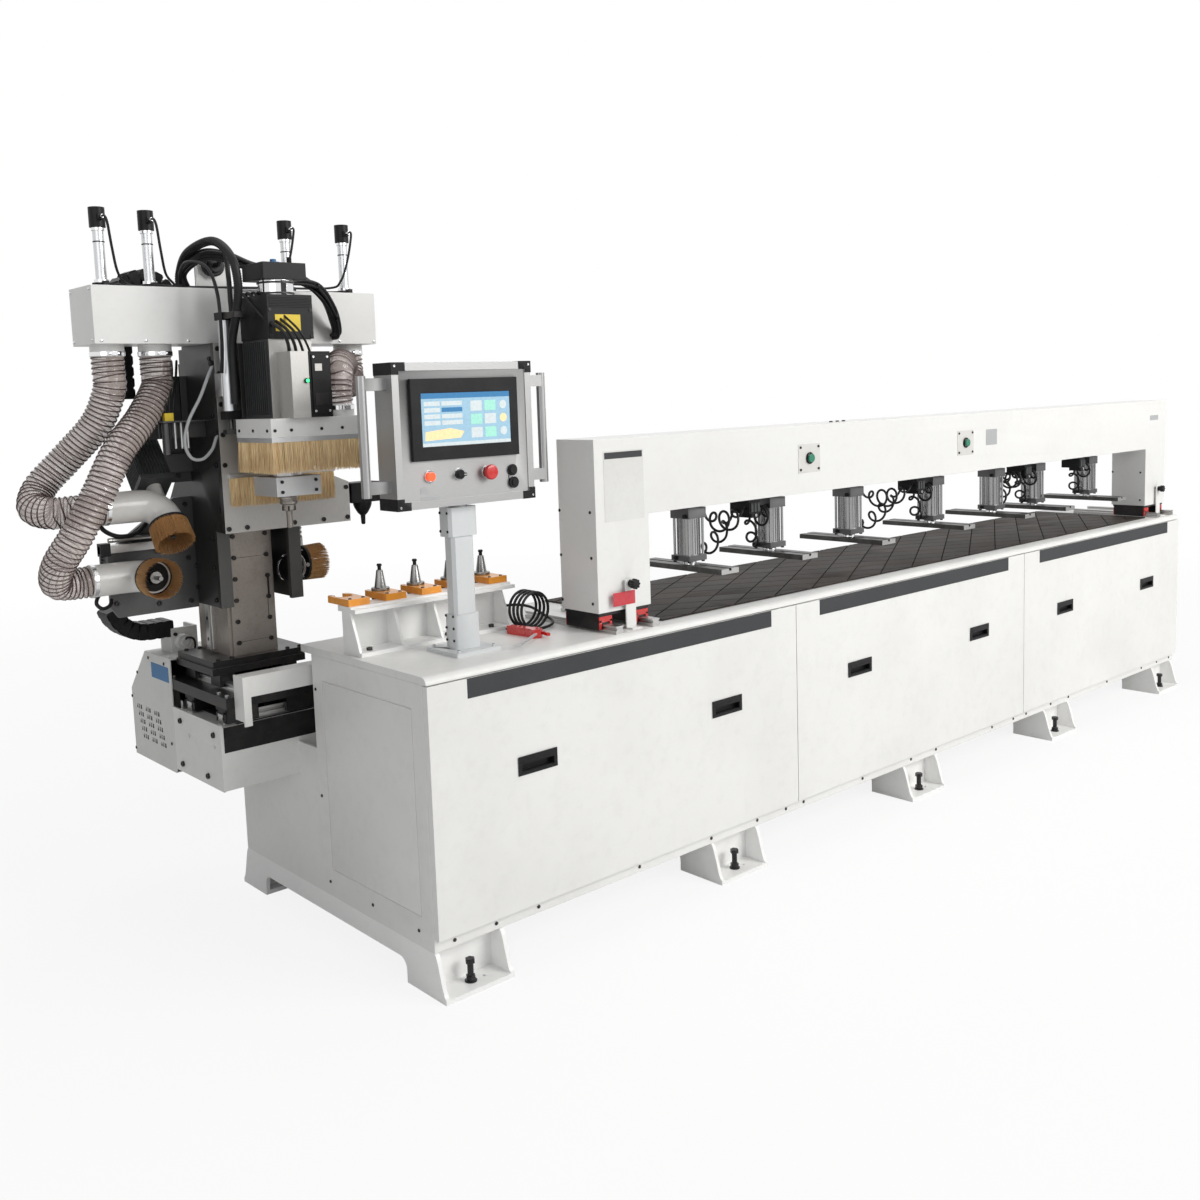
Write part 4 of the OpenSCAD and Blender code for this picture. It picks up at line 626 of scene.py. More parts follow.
def dress(node, mats, areas=(), bevel=1.0, name=None, dissolve=True):
    """A finished copy of a CAD node: edges rounded, and another finish in some areas.

    An area is (low corner, high corner, slot) in the drawing; a face wholly inside takes the slot."""
    mesh = frame["nodes"][node].data.copy()
    mesh.name = name or node + "_finished"
    mesh.materials.clear()
    work = bmesh.new()
    work.from_mesh(mesh)
    bmesh.ops.remove_doubles(work, verts=work.verts, dist=WELD)
    if dissolve:
        flat = math.radians(FLAT_ANGLE)
        bmesh.ops.dissolve_limit(work, angle_limit=flat, verts=work.verts, edges=work.edges)
    slack = Vector((AREA_SLACK, AREA_SLACK, AREA_SLACK))
    boxes = [(at(*a) - slack, at(*b) + slack, slot) for a, b, slot in areas]
    for face in work.faces:
        face.material_index = 0
        for low, high, slot in boxes:
            if all(low[i] <= v.co[i] <= high[i] for v in face.verts for i in range(3)):
                face.material_index = slot
    work.to_mesh(mesh)
    work.free()
    for mat in [mats] if isinstance(mats, str) else mats:
        mesh.materials.append(finish(mat))
    obj = bpy.data.objects.new(mesh.name, mesh)
    bpy.context.scene.collection.objects.link(obj)
    soften(obj, bevel)
    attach(obj, BODY_OF[node])
    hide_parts(node)
    return obj


BODY_OF = {node: body_of(obj)[0] for node, obj in frame["nodes"].items()}


# Geometry node trees


def node_tree(name, inputs):
    tree = bpy.data.node_groups.new(name, "GeometryNodeTree")
    tree.interface.new_socket("Geometry", in_out="INPUT", socket_type="NodeSocketGeometry")
    for label, kind, value in inputs:
        socket = tree.interface.new_socket(label, in_out="INPUT", socket_type=kind)
        if value is not None:
            socket.default_value = value
    tree.interface.new_socket("Geometry", in_out="OUTPUT", socket_type="NodeSocketGeometry")
    return tree, tree.nodes.new("NodeGroupInput"), tree.nodes.new("NodeGroupOutput")


def link(tree, source, target):
    tree.links.new(source, target)


def end_tree(tree, source, out, geometry):
    """Realize Instances and Set Material, then the output."""
    real = tree.nodes.new("GeometryNodeRealizeInstances")
    mat = tree.nodes.new("GeometryNodeSetMaterial")
    link(tree, geometry, real.inputs[0])
    link(tree, real.outputs[0], mat.inputs["Geometry"])
    link(tree, source.outputs["Material"], mat.inputs["Material"])
    link(tree, mat.outputs[0], out.inputs[0])


def attribute(tree, name, kind="FLOAT_VECTOR"):
    node = tree.nodes.new("GeometryNodeInputNamedAttribute")
    node.data_type = kind
    node.inputs["Name"].default_value = name
    return node.outputs["Attribute"]


def aligned(tree, vector, axis="Z", rotation=None, pivot="AUTO"):
    node = tree.nodes.new("FunctionNodeAlignRotationToVector")
    node.axis = axis
    node.pivot_axis = pivot
    link(tree, vector, node.inputs["Vector"])
    if rotation is not None:
        link(tree, rotation, node.inputs["Rotation"])
    return node.outputs[0]


def stamp_tree():
    """Copies of one small shape at points, its Z along 'facing' and its X along 'side'."""
    inputs = [("Stamp", "NodeSocketObject", None), ("Material", "NodeSocketMaterial", None)]
    tree, source, out = node_tree("stamps", inputs)
    info = tree.nodes.new("GeometryNodeObjectInfo")
    link(tree, source.outputs["Stamp"], info.inputs["Object"])
    points = tree.nodes.new("GeometryNodeInstanceOnPoints")
    link(tree, source.outputs["Geometry"], points.inputs["Points"])
    link(tree, info.outputs["Geometry"], points.inputs["Instance"])
    turned = aligned(tree, attribute(tree, "facing"))
    turned = aligned(tree, attribute(tree, "side"), "X", turned, "Z")
    link(tree, turned, points.inputs["Rotation"])
    end_tree(tree, source, out, points.outputs[0])
    return tree


def bristle_tree():
    """Fine pointed strands at points, leaning a little at random."""
    tree, source, out = node_tree(
        "bristles",
        [("Length", FLOAT, 0.06), ("Radius", FLOAT, 0.0008), ("Lean", FLOAT, 0.05), ("Seed", INT, 1),
         ("Material", "NodeSocketMaterial", None)],
    )
    strand = tree.nodes.new("GeometryNodeMeshCone")
    strand.inputs["Vertices"].default_value = 3
    link(tree, source.outputs["Length"], strand.inputs["Depth"])
    link(tree, source.outputs["Radius"], strand.inputs["Radius Bottom"])
    tip = math_node(tree, "MULTIPLY", source.outputs["Radius"], 0.25)
    link(tree, tip, strand.inputs["Radius Top"])

    def scatter(low, high, offset):
        node = tree.nodes.new("FunctionNodeRandomValue")
        node.data_type = "FLOAT_VECTOR"
        node.inputs[0].default_value = low
        node.inputs[1].default_value = high
        link(tree, math_node(tree, "ADD", source.outputs["Seed"], offset), node.inputs["Seed"])
        return node.outputs[0]

    lean = tree.nodes.new("ShaderNodeVectorMath")
    lean.operation = "SCALE"
    link(tree, scatter((-1, -1, -1), (1, 1, 1), 0), lean.inputs[0])
    link(tree, source.outputs["Lean"], lean.inputs["Scale"])
    leant = tree.nodes.new("ShaderNodeVectorMath")
    link(tree, attribute(tree, "facing"), leant.inputs[0])
    link(tree, lean.outputs[0], leant.inputs[1])
    points = tree.nodes.new("GeometryNodeInstanceOnPoints")
    link(tree, source.outputs["Geometry"], points.inputs["Points"])
    link(tree, strand.outputs["Mesh"], points.inputs["Instance"])
    link(tree, aligned(tree, leant.outputs[0]), points.inputs["Rotation"])
    link(tree, scatter((0.9, 0.9, 0.9), (1.0, 1.0, 1.0), 5), points.inputs["Scale"])
    end_tree(tree, source, out, points.outputs[0])
    return tree


def winding_tree():
    """A wire wound round a path: path, radius of the winding, turns and wire thickness."""
    tree, source, out = node_tree(
        "winding",
        [("Radius", FLOAT, 0.04), ("Turns", FLOAT, 20.0), ("Wire", FLOAT, 0.0015), ("Points", INT, 500),
         ("Sides", INT, 5), ("Material", "NodeSocketMaterial", None)],
    )
    curve = tree.nodes.new("GeometryNodeMeshToCurve")
    link(tree, source.outputs["Geometry"], curve.inputs[0])
    spread = tree.nodes.new("GeometryNodeResampleCurve")
    link(tree, curve.outputs[0], spread.inputs["Curve"])
    link(tree, source.outputs["Points"], spread.inputs["Count"])

    def vectors(operation, a, b=None, scale=None):
        node = tree.nodes.new("ShaderNodeVectorMath")
        node.operation = operation
        link(tree, a, node.inputs[0])
        if b is not None:
            link(tree, b, node.inputs[1])
        if scale is not None:
            link(tree, scale, node.inputs["Scale"])
        return node.outputs[0]

    factor = tree.nodes.new("GeometryNodeSplineParameter").outputs["Factor"]
    turns = math_node(tree, "MULTIPLY", factor, source.outputs["Turns"])
    angle = math_node(tree, "MULTIPLY", turns, math.tau)
    tangent = tree.nodes.new("GeometryNodeInputTangent").outputs[0]
    normal = tree.nodes.new("GeometryNodeInputNormal").outputs[0]
    across = vectors("CROSS_PRODUCT", tangent, normal)
    reach = vectors("ADD", vectors("SCALE", normal, scale=math_node(tree, "COSINE", angle)),
                    vectors("SCALE", across, scale=math_node(tree, "SINE", angle)))
    moved = tree.nodes.new("GeometryNodeSetPosition")
    link(tree, spread.outputs[0], moved.inputs["Geometry"])
    link(tree, vectors("SCALE", reach, scale=source.outputs["Radius"]), moved.inputs["Offset"])
    profile = tree.nodes.new("GeometryNodeCurvePrimitiveCircle")
    link(tree, source.outputs["Sides"], profile.inputs["Resolution"])
    link(tree, source.outputs["Wire"], profile.inputs["Radius"])
    wire = tree.nodes.new("GeometryNodeCurveToMesh")
    link(tree, moved.outputs[0], wire.inputs["Curve"])
    link(tree, profile.outputs["Curve"], wire.inputs["Profile Curve"])
    wire.inputs["Fill Caps"].default_value = True
    end_tree(tree, source, out, wire.outputs[0])
    return tree


TREES = {}


def run_tree(name, tree, points, body, values, facing=None, side=None, edges=(), sharp=35):
    """A plain mesh piece made by a tree from points in drawing millimetres."""
    seed_mesh = bpy.data.meshes.new(name + "_points")
    seed_mesh.from_pydata([at(*p) for p in points], list(edges), [])
    for label, data in (("facing", facing), ("side", side)):
        if data is not None:
            layer = seed_mesh.attributes.new(label, "FLOAT_VECTOR", "POINT")
            layer.data.foreach_set("vector", [c for v in data for c in v])
    holder = bpy.data.objects.new(name + "_points", seed_mesh)
    bpy.context.scene.collection.objects.link(holder)
    modifier = holder.modifiers.new("tree", "NODES")
    modifier.node_group = TREES[tree]
    for item in TREES[tree].interface.items_tree:
        if item.item_type == "SOCKET" and item.in_out == "INPUT" and item.name in values:
            modifier[item.identifier] = values[item.name]
    graph = bpy.context.evaluated_depsgraph_get()
    made = holder.evaluated_get(graph)
    mesh = bpy.data.meshes.new_from_object(made, preserve_all_data_layers=False, depsgraph=graph)
    mesh.name = name
    bpy.data.objects.remove(holder)
    bpy.data.meshes.remove(seed_mesh)
    if not mesh.polygons:
        raise RuntimeError(name + ": the tree made nothing")
    obj = bpy.data.objects.new(name, mesh)
    bpy.context.scene.collection.objects.link(obj)
    soften(obj, 0, sharp=sharp)
    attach(obj, body)
    return obj


def stamp(name, maker, mat, points, facing, side, body, sharp=35):
    """The maker's shape, drawn round its own zero, repeated at points."""
    shape = bpy.data.objects.new(name + "_shape", maker.mesh(name + "_shape", [mat]))
    shape.data.transform(Matrix.Translation(-at(0, 0, 0)))
    bpy.context.scene.collection.objects.link(shape)
    count = len(points)
    facing = facing if isinstance(facing, list) else [facing] * count
    side = side if isinstance(side, list) else [side] * count
    values = {"Stamp": shape, "Material": finish(mat)}
    obj = run_tree(name, "stamps", points, body, values, facing, side, sharp=sharp)
    mesh = shape.data
    bpy.data.objects.remove(shape)
    bpy.data.meshes.remove(mesh)
    return obj


def bolt_shape(r, h, socket=True):
    """A cap screw head, seat at z = 0, with its hexagon socket."""
    maker = Maker()
    if not socket:
        maker.lathe((0, 0, 0), [(r, 0), (r, h * 0.55), (r * 0.6, h)], n=14)
        return maker
    n, key = 18, r * 0.55
    outer = [(r * math.cos(math.tau * j / n), r * math.sin(math.tau * j / n)) for j in range(n)]
    inner = []
    for j in range(n):
        a = math.tau * j / n
        reach = key * math.cos(math.pi / 6) / math.cos((a % (math.pi / 3)) - math.pi / 6)
        inner.append((reach * math.cos(a), reach * math.sin(a)))
    rings = [[(*p, 0) for p in outer], [(*p, h * 0.88) for p in outer],
             [(p[0] * 0.92, p[1] * 0.92, h) for p in outer], [(*p, h) for p in inner],
             [(*p, h * 0.45) for p in inner]]
    maker.add([p for ring in rings for p in ring], wraps(len(rings), n) + caps(len(rings), n))
    return maker


# Directions that screws and plugs face
TO_LEFT, TO_RIGHT, TO_FRONT, TO_TOP, TO_FLOOR = (-1, 0, 0), (1, 0, 0), (0, -1, 0), (0, 0, 1), (0, 0, -1)


def bolts(name, points, facing, body, r=5.0, h=4.0, socket=True, mat="black_steel"):
    """Screw heads of radius r and height h, seated at points; without socket they are domed."""
    side = TO_TOP if abs(facing[2]) < 0.5 else TO_RIGHT
    return stamp(name, bolt_shape(r, h, socket), mat, points, facing, side, body)


def bristles(name, points, facing, body, mat, length, radius, step):
    """Hairs with their length and radius in millimetres; step keeps brushes from looking alike."""
    values = {"Length": length * MM, "Radius": radius * MM, "Lean": 0.03, "Seed": sizes().seed + step,
              "Material": finish(mat)}
    return run_tree(name, "bristles", points, body, values, facing, sharp=80)


def winding(name, path, body, mat, radius, turns, wire, count, sharp=35):
    """A wire of count points wound round a path, with its radii in millimetres."""
    values = {"Radius": radius * MM, "Turns": float(turns), "Wire": wire * MM, "Points": count, "Sides": 5,
              "Material": finish(mat)}
    edges = [(i, i + 1) for i in range(len(path) - 1)]
    return run_tree(name, "winding", path, body, values, edges=edges, sharp=sharp)


def make_trees():
    TREES["stamps"] = stamp_tree()
    TREES["bristles"] = bristle_tree()
    TREES["winding"] = winding_tree()


# Bed, panels and pad

# Ends of the three panels, heights of their stripes and pulls, and the saddle's two rails
SEAMS = [0, 1394, 2807, 4230]
BED_END = 4225
TABLE_Z = 815
STRIPE_Z = (741.5, 791.6)
STRIPE_INSET = 118.6
PULL_Z, PULL_H, PULL_LEN, PULL_INSET = 514, 40, 120, 270
RAIL_Y = (690, 890)
RAIL_PLUG_PITCH = 80
CLAMP_BLOCK_X = (736, 4140)
SKIRT_SCREW_X = (60, 190, 330, 700, 1000, 1210, 1350, 1440, 1760, 2050,
                 2210, 2600, 2760, 2860, 3060, 3210, 3560, 3900, 4060, 4190)


def panel_span(i):
    left = 2 if i == 0 else 1.5
    right = 2 if i == 2 else 1.5
    return SEAMS[i] + left, SEAMS[i + 1] - right


def pull_places(i):
    x0, x1 = panel_span(i)
    return x0 + PULL_INSET, x1 - PULL_INSET - PULL_LEN


def plugs(name, points, facing, side, body, r, h, n, chamfer=0.0):
    """Flat round plugs in the screw holes of a rail."""
    plug = Maker()
    plug.rod((0, 0, 0), r, h, n=n, chamfer=chamfer)
    stamp(name, plug, "black_steel", points, facing, side, body)


def build_cover_and_shade_sheets():
    """Black sheets on the front and the top of the low rear beam: partly a way cover, and partly painted
    shade that stands for the beam's dark inside.
    """
    covers = Maker()
    covers.block((-219, 656.5, 545), (BED_END, 657.05, 615.5))
    for y0, y1 in ((662, 672), (708, 872)):
        covers.block((-176, y0, 615.9), (BED_END, y1, 616.6))
    covers.piece("way_covers", "black_rubber", "bed", 0.1)


def build_bed():
    edge = sizes().edge
    for node in ("bed_frame", "table_top", "rear_base"):
        dress(node, "bed_paint", bevel=edge)
    # The feet take the lighter copy of the white paint as painted light
    dress("feet", "bright_paint", bevel=edge)
    build_cover_and_shade_sheets()
    dress("levelling_bolts", "black_steel", bevel=0.6)
    dress("x_rails", "ground_steel", bevel=0)
    blocks = [((x - 20, 30, TABLE_Z), (x + 20, 66, 960), 1) for x in CLAMP_BLOCK_X]
    dress("beam_rails", ["ground_steel", "bed_paint"], blocks, bevel=0.5)
    spots = [(x, y, 646) for y in RAIL_Y for x in range(-170, 4210, RAIL_PLUG_PITCH)]
    plugs("rail_plugs", spots, TO_TOP, TO_RIGHT, "bed", 8, 0.6, 18, 0.2)
    bolts("skirt_screws", [(x, 18, 137) for x in SKIRT_SCREW_X], TO_FRONT, "bed", 5, 3, False)
    ends = ((84, 160), (300, 160), (520, 160), (540, 400), (540, 700))
    bolts("end_screws", [(0.0, y, z) for y, z in ends], TO_LEFT, "bed", 4.5, 3, False)
    beam_ends = ((917, 464), (750, 465), (699, 590), (917, 590))
    bolts("beam_end_bolts", [(-228, y, z) for y, z in beam_ends], TO_LEFT, "bed", 8, 6)


def build_pull_rims(i, body):
    """Raised rims round a panel's two pulls, each with a lip."""
    rims = Maker()
    front, back = -3.2, -0.9
    low, sill, head, high = PULL_Z - 5, PULL_Z + 3, PULL_Z + 24, PULL_Z + PULL_H + 5
    for x in pull_places(i):
        end = x + PULL_LEN
        rims.block((x - 5, front, low), (end + 5, back, sill))
        rims.block((x - 5, front, head), (end + 5, back, high))
        rims.block((x - 5, front, sill), (x + 7, back, head))
        rims.block((end - 7, front, sill), (end + 5, back, head))
        rims.block((x + 8, -4.4, PULL_Z + 27), (end - 8, -3.0, PULL_Z + 31))
    rims.piece("pull_rims_%d" % (i + 1), "black_plastic", body, 1.0)


def build_panels():
    for i in range(3):
        x0, x1 = panel_span(i)
        body = "panel_%d" % (i + 1)
        cups = [((x - 0.5, -1.5, PULL_Z - 0.5), (x + PULL_LEN + 0.5, 19, PULL_Z + PULL_H + 0.5), 1)
                for x in pull_places(i)]
        dress("front_panel_%d" % (i + 1), ["bed_paint", "black_plastic"], cups, bevel=0.8)
        strip = Maker()
        strip.block((x0 + STRIPE_INSET, 0.3, STRIPE_Z[0]), (x1 - STRIPE_INSET, 1.0, STRIPE_Z[1]))
        strip.piece("panel_stripe_%d" % (i + 1), "stripe_paint", body, 0.2)
        build_pull_rims(i, body)


def build_pad():
    # The groove bottoms are painted near-black: painted shade in the grooves
    groove_bottom_shade = ((-60, -60, 814.9), (4300, 660, 818.9), 1)
    dress("table_pad", ["pad_rubber", "groove_black"], [groove_bottom_shade], bevel=0.5)


# Control box and tool rack

# Outline of the box, its row of controls and the lit part of the screen
BOX_X = (34, 466)
BOX_Z = (1204, 1566)
BUTTON_Z = 1283
START_X, SELECTOR_X, STOP_X, SOCKET_X = 132, 222, 311, 393
SCREEN_X = (112.4, 387.6)
SCREEN_Z = (1357.4, 1489.6)


def build_screen():
    """A lit picture of plain bars and shapes; its slots are sky, bar, pale, sand and mint."""
    front, back = 129.2, 129.5
    glass = Maker()
    glass.block((SCREEN_X[0], back, SCREEN_Z[0]), (SCREEN_X[1], 130.0, SCREEN_Z[1]))
    glass.block((SCREEN_X[0], front, 1476), (SCREEN_X[1], back, SCREEN_Z[1]), 1)
    glass.block((SCREEN_X[0], front, SCREEN_Z[0]), (SCREEN_X[1], back, 1366), 2)
    for row in range(4):
        z = 1458 - row * 16
        glass.block((120, front, z), (168, back, z + 11), 2)
        glass.block((173, front, z), (236, back, z + 11), 1 if row == 1 else 2)
    glass.prism([(120, 1372), (228, 1376), (240, 1392), (196, 1401), (122, 1394)], front, back, "y", 3)
    for row in range(3):
        for col in range(2):
            x, z = 262 + col * 44, 1374 + row * 34
            glass.block((x, front, z), (x + 36, back, z + 26), 4 if (row + col) % 2 else 2)
    for row in range(3):
        glass.lathe((366, front, 1388 + row * 34), [(11, 0), (11, 0.3)], "y", 3 if row == 1 else 2, 24)
    mats = ["screen_sky", "screen_bar", "screen_pale", "screen_sand", "screen_mint"]
    glass.piece("screen_picture", mats, "control_box", sharp=20)


def build_control_trim():
    """Button collars, blank labels and sockets on the box's face."""
    trim = Maker()
    for x in (START_X, SELECTOR_X, STOP_X):
        trim.ring((x, 133.2, BUTTON_Z), 12.4, 16, 3.8, "y", 0)
    label_x = BOX_X[0] + 70
    trim.block((label_x, 136.4, 1240), (label_x + 22, 137, 1256), 1)
    trim.block((label_x, 136.4, 1222), (label_x + 60, 137, 1233), 1)
    trim.rod((SOCKET_X, 129, BUTTON_Z), 11, 3, "y", 2, chamfer=0.8)
    trim.rod((SOCKET_X + 2, 127, 1250), 9, 3, "y", 2, chamfer=0.8)
    trim.piece("control_trim", ["chrome", "grey_label", "black_rubber"], "control_box", 0.4)


def build_controls():
    dress("start_button", "lamp_red", bevel=1.6)
    dress("selector_knob", "black_plastic", bevel=1.2)
    mark = Maker()
    mark.block((SELECTOR_X + 3, 117.6, BUTTON_Z - 1), (SELECTOR_X + 11, 118.1, BUTTON_Z + 1))
    mark.piece("selector_mark", "pale_plastic", "selector", 0.1)
    cap = Maker()
    profile = [(13, 0), (17.5, 1.2), (19.6, 4), (20, 7), (19.4, 11), (16, 13.6), (9.7, 14), (9.7, 40)]
    cap.lathe((STOP_X, 111, BUTTON_Z), profile, "y", n=40)
    stop = cap.piece("stop_mushroom", "red_plastic", "stop", 0.3)
    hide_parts("stop_button")


def build_control_box():
    corners = [((x - 0.5, 132.5, z - 0.5), (x + 40.5, 216.5, z + 30.5), 1)
               for x in (33, 427) for z in (1203, 1537)]
    sockets = ((377, 129, 1233), (412, 138, 1300), 1)
    dress("hmi_case", ["box_aluminium", "black_plastic"], corners + [sockets], bevel=1.6)
    post_foot = ((190, 130, 825.2), (310, 250, 832), 1)
    dress("hmi_post", ["post_paint", "black_steel"], [post_foot], bevel=1.2)
    for name, half, heights in (("post_screws_1", 40, (848, 880, 912)), ("post_screws_2", 45, (1134, 1182))):
        bolts(name, [(250 - half, y, z) for y in (174, 206) for z in heights], TO_LEFT, "bed", 3.6, 2)
    dress("hmi_screen", "black_plastic", bevel=2.0)
    build_screen()
    build_control_trim()
    build_controls()
    heads = [(x, 133, z) for x in (BOX_X[0] + 8, BOX_X[1] - 8) for z in (BOX_Z[0] + 8, BOX_Z[1] - 8)]
    bolts("box_screws", heads, TO_FRONT, "control_box", 3.2, 1.6, mat="chrome")
    for k, (x, facing) in enumerate(((-37.5, TO_LEFT), (537.5, TO_RIGHT))):
        ends = [(x, 171, z) for z in (BOX_Z[0] + 60, BOX_Z[1] - 52)]
        bolts("handle_screws_%d" % (k + 1), ends, facing, "control_box", 5, 2)


FORK_X = [45 + i * 114 for i in range(5)]
HOLDER_Y, HOLDER_Z = 440, 945
# Profiles of a tool holder, as (radius, height): shank and flange, cone, and nut
SHANK = [(1, -64), (4.6, -62), (5, -58), (5, -42), (11, -40), (15.4, -38.5), (16, -36), (16, -12), (14, -9),
         (20, -7), (24.2, -6.6), (25, -5.6), (25, -1.5), (24, -0.3), (22.6, -0.3), (22.6, 18.3)]
CONE = [(22.6, 18.3), (24.2, 18.4), (25, 19.4), (25, 24.3), (24, 25.3), (17, 25.3), (15.9, 26.5), (8.6, 72.5),
        (7.6, 73.5), (5, 73.6)]
NUT = [(5, 73.6), (5, 83), (6.6, 84), (7, 85), (7, 88), (5.4, 90)]


def build_tool_rack():
    air_socket = ((519, 366, 862), (536, 386, 882), 1)
    # The rack takes the lighter copy of the white paint as painted light
    dress("tool_rack", ["bright_paint", "black_steel"], [air_socket], bevel=1.0)
    dress("tool_forks", "fork_orange", bevel=1.2)
    bolts("fork_screws", [(x + dx, 375, 959.5) for x in FORK_X for dx in (-20, 20)], TO_TOP, "bed", 4.6, 5.5)
    holders = Maker()
    for x in FORK_X[1:]:
        for profile, slot in ((SHANK, 0), (CONE, 1), (NUT, 0)):
            holders.lathe((x, HOLDER_Y, HOLDER_Z), profile, "z", slot, 36)
    shown = holders.piece("taper_holders", ["black_plastic", "tool_steel"], "bed")
    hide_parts("tool_holders")
    bolts("rack_screws", [(x, 348, 825) for x in (60, 310, 460)], TO_TOP, "bed", 8, 8)


HOSE_R = 4
# Middle of the coil's first turn, its radius, and the step from turn to turn
COIL_X, COIL_Y, COIL_Z = 540, 237.5, 871.5
COIL_R, COIL_PITCH, COIL_TURNS, COIL_STEPS = 52, 18, 4, 24


def hose_points():
    """The air hose: rack socket, round the coil's side, four upright turns, and back to the gun's handle."""
    lead = [(534, 376, 872), (544, 376, 871.8), (562, 376, 870.6), (581, 376, 868.1), (598.5, 371.3, 864.6),
            (611.3, 358.5, 860.2), (616, 341, 855.1), (616, 320, 848.8), (616, 295, 841.1),
            (616, 272.5, 834.5), (611.3, 255, 829.7), (598.5, 242.2, 825.6), (581, 237.5, 822.4),
            (562, 237.5, 820.3)]
    turns = []
    for k in range(COIL_TURNS * COIL_STEPS + 1):
        a = math.radians(360 / COIL_STEPS * k)
        turns.append((COIL_X - COIL_R * math.sin(a), COIL_Y + COIL_PITCH * k / COIL_STEPS,
                      COIL_Z - COIL_R * math.cos(a)))
    tail = [(522, 309.5, 819.7), (506, 309.5, 820.3), (496, 308.2, 821), (486, 304, 822), (477, 297.4, 823.4),
            (470.6, 289, 824.8), (467, 280, 826), (466, 270, 827)]
    rough = lead + turns + tail
    return even_route(smooth_route(rough, (len(rough) - 1) * 4 + 1), 6)


def build_air_hose():
    nozzle = ((330, 0, 823), (481, 172, 832), 1)
    dress("blow_gun", ["red_plastic", "cast_aluminium"], [nozzle], bevel=2.5, name="air_gun")
    path = hose_points()
    tube = Maker()
    tube.tube(path, HOSE_R, n=12)
    hose = tube.piece("coiled_air_hose", "black_cable", "bed")
    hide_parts("air_hose")


# Saddle and column


def link_shape(width, height, pitch):
    """One link of a drag chain: two side plates and a bar on each face; it runs along X."""
    maker = Maker()
    w, h, p = width / 2, height / 2, pitch / 2
    outline = [(-p * 0.98, -h * 0.8), (-p * 0.6, -h), (p * 0.6, -h), (p * 0.98, -h * 0.8),
               (p * 0.98, h * 0.8), (p * 0.6, h), (-p * 0.6, h), (-p * 0.98, h * 0.8)]
    for s in (-1, 1):
        maker.prism(outline, s * w, s * (w - 4), "y")
        maker.rod((0, min(s * w, s * (w + 0.8)), 0), h * 0.42, 0.8, "y", n=14)
    for s in (-1, 1):
        maker.block((-p * 0.55, -w, s * h), (p * 0.55, w, s * (h - 3)))
    maker.block((-p * 0.9, -w + 4, -h + 4), (p * 0.9, w - 4, h - 4))
    return maker


def chain(name, path, width, height, pitch, body):
    """Links along a path that lies in a plane of constant Y."""
    path = even_route([Vector(p) for p in path], pitch)
    points, facing, side = [], [], []
    for a, b in zip(path, path[1:]):
        t = (b - a).normalized()
        points.append((a + b) / 2)
        side.append(tuple(t))
        facing.append(tuple(t.cross(Vector((0, 1, 0)))))
    return stamp(name, link_shape(width, height, pitch), "black_plastic", points, facing, side, body)


def arc(cx, cz, r, first, last, y, steps=24):
    """Points of an arc in a plane of constant Y, from the first angle to the last in degrees."""
    angles = [math.radians(first + (last - first) * k / steps) for k in range(steps + 1)]
    return [(cx + r * math.cos(a), y, cz + r * math.sin(a)) for a in angles]


def build_truck_seals():
    """Wipers at both ends of the saddle's four trucks."""
    seals = Maker()
    for y in RAIL_Y:
        for truck_x in (-205, -25):
            for x in (truck_x - 3, truck_x + 90):
                for dy in (-30, 16):
                    seals.block((x, y + dy, 623), (x + 3, y + dy + 14, 655))
                seals.block((x, y - 30, 648), (x + 3, y + 30, 668))
    seals.piece("truck_seals", "black_plastic", "carriage", 0.5)


def build_louvres():
    """Rows of slots with pale bars on both ends of the rear cover; the black fills of the slots and the black
    sheets of the dark room behind them are painted shade.
    """
    bars, slots = Maker(), Maker()
    for x0, x1 in ((-222.5, -221.9), (69.9, 70.5)):
        fin_x0, fin_x1 = (x0 + 0.8, x1) if x0 < 0 else (x0, x1 - 0.8)
        for i in range(5):
            for j in range(3):
                y, z = 1218 - j * 66 - i * 9, 575 - i * 22
                slots.block((x0, y, z - 6), (x1, y + 36, z + 0.5))
                for k in range(3):
                    slots.block((fin_x0, y + 13 * k, z), (fin_x1, y + 13 * k + 0.5, z + 7))
                for dy in (8, 21):
                    bars.block((x0 - 0.4, y + dy, z - 6.5), (x1 + 0.4, y + dy + 6, z + 7.2))
    # Black sheets inside both end walls: painted shade of the cover's dark inside
    for x in (-218.4, 65.8):
        slots.block((x, 1040, 470), (x + 0.6, 1262, 590))
    bars.piece("cover_louvres", "cover_paint", "carriage", 0.2)
    slots.piece("cover_slots", "black_rubber", "carriage", 0)


def build_rear_cover():
    dress("louvre_box", "cover_paint", bevel=0.8, dissolve=False)
    patch = Maker()
    patch.block((-222.8, 995, 685), (-222.1, 1120, 730))
    patch.piece("cover_patch", "blue_label", "carriage", 0.2)
    build_louvres()
    rim = [(1131, 741), (1226, 683), (1281, 601), (1280, 438), (999, 505), (1017, 739)]
    bolts("cover_screws", [(-225, y, z) for y, z in rim], TO_LEFT, "carriage", 5, 1.5)


def build_chain_end_motor():
    """Small pale motor at the end of the saddle's chain, with its cable."""
    x, z = -150, 789
    motor = Maker()
    motor.rod((x, 1034, z), 23, 26, "y", 0, chamfer=2)
    motor.rod((x, 1029, z), 12, 6, "y", 0, chamfer=1)
    motor.rod((-168, 1053, 812), 5, 7, "y", 1, 16)
    motor.cable([(x, 1024, 800), (x, 1012, 806), (-134, 1010, 800), (-128, 1014, 778), (-130, 1026, 758),
                 (-132, 1046, 752)], 30, 3.4, 1)
    motor.piece("chain_end_motor", ["cover_paint", "black_cable"], "carriage", 0.8)


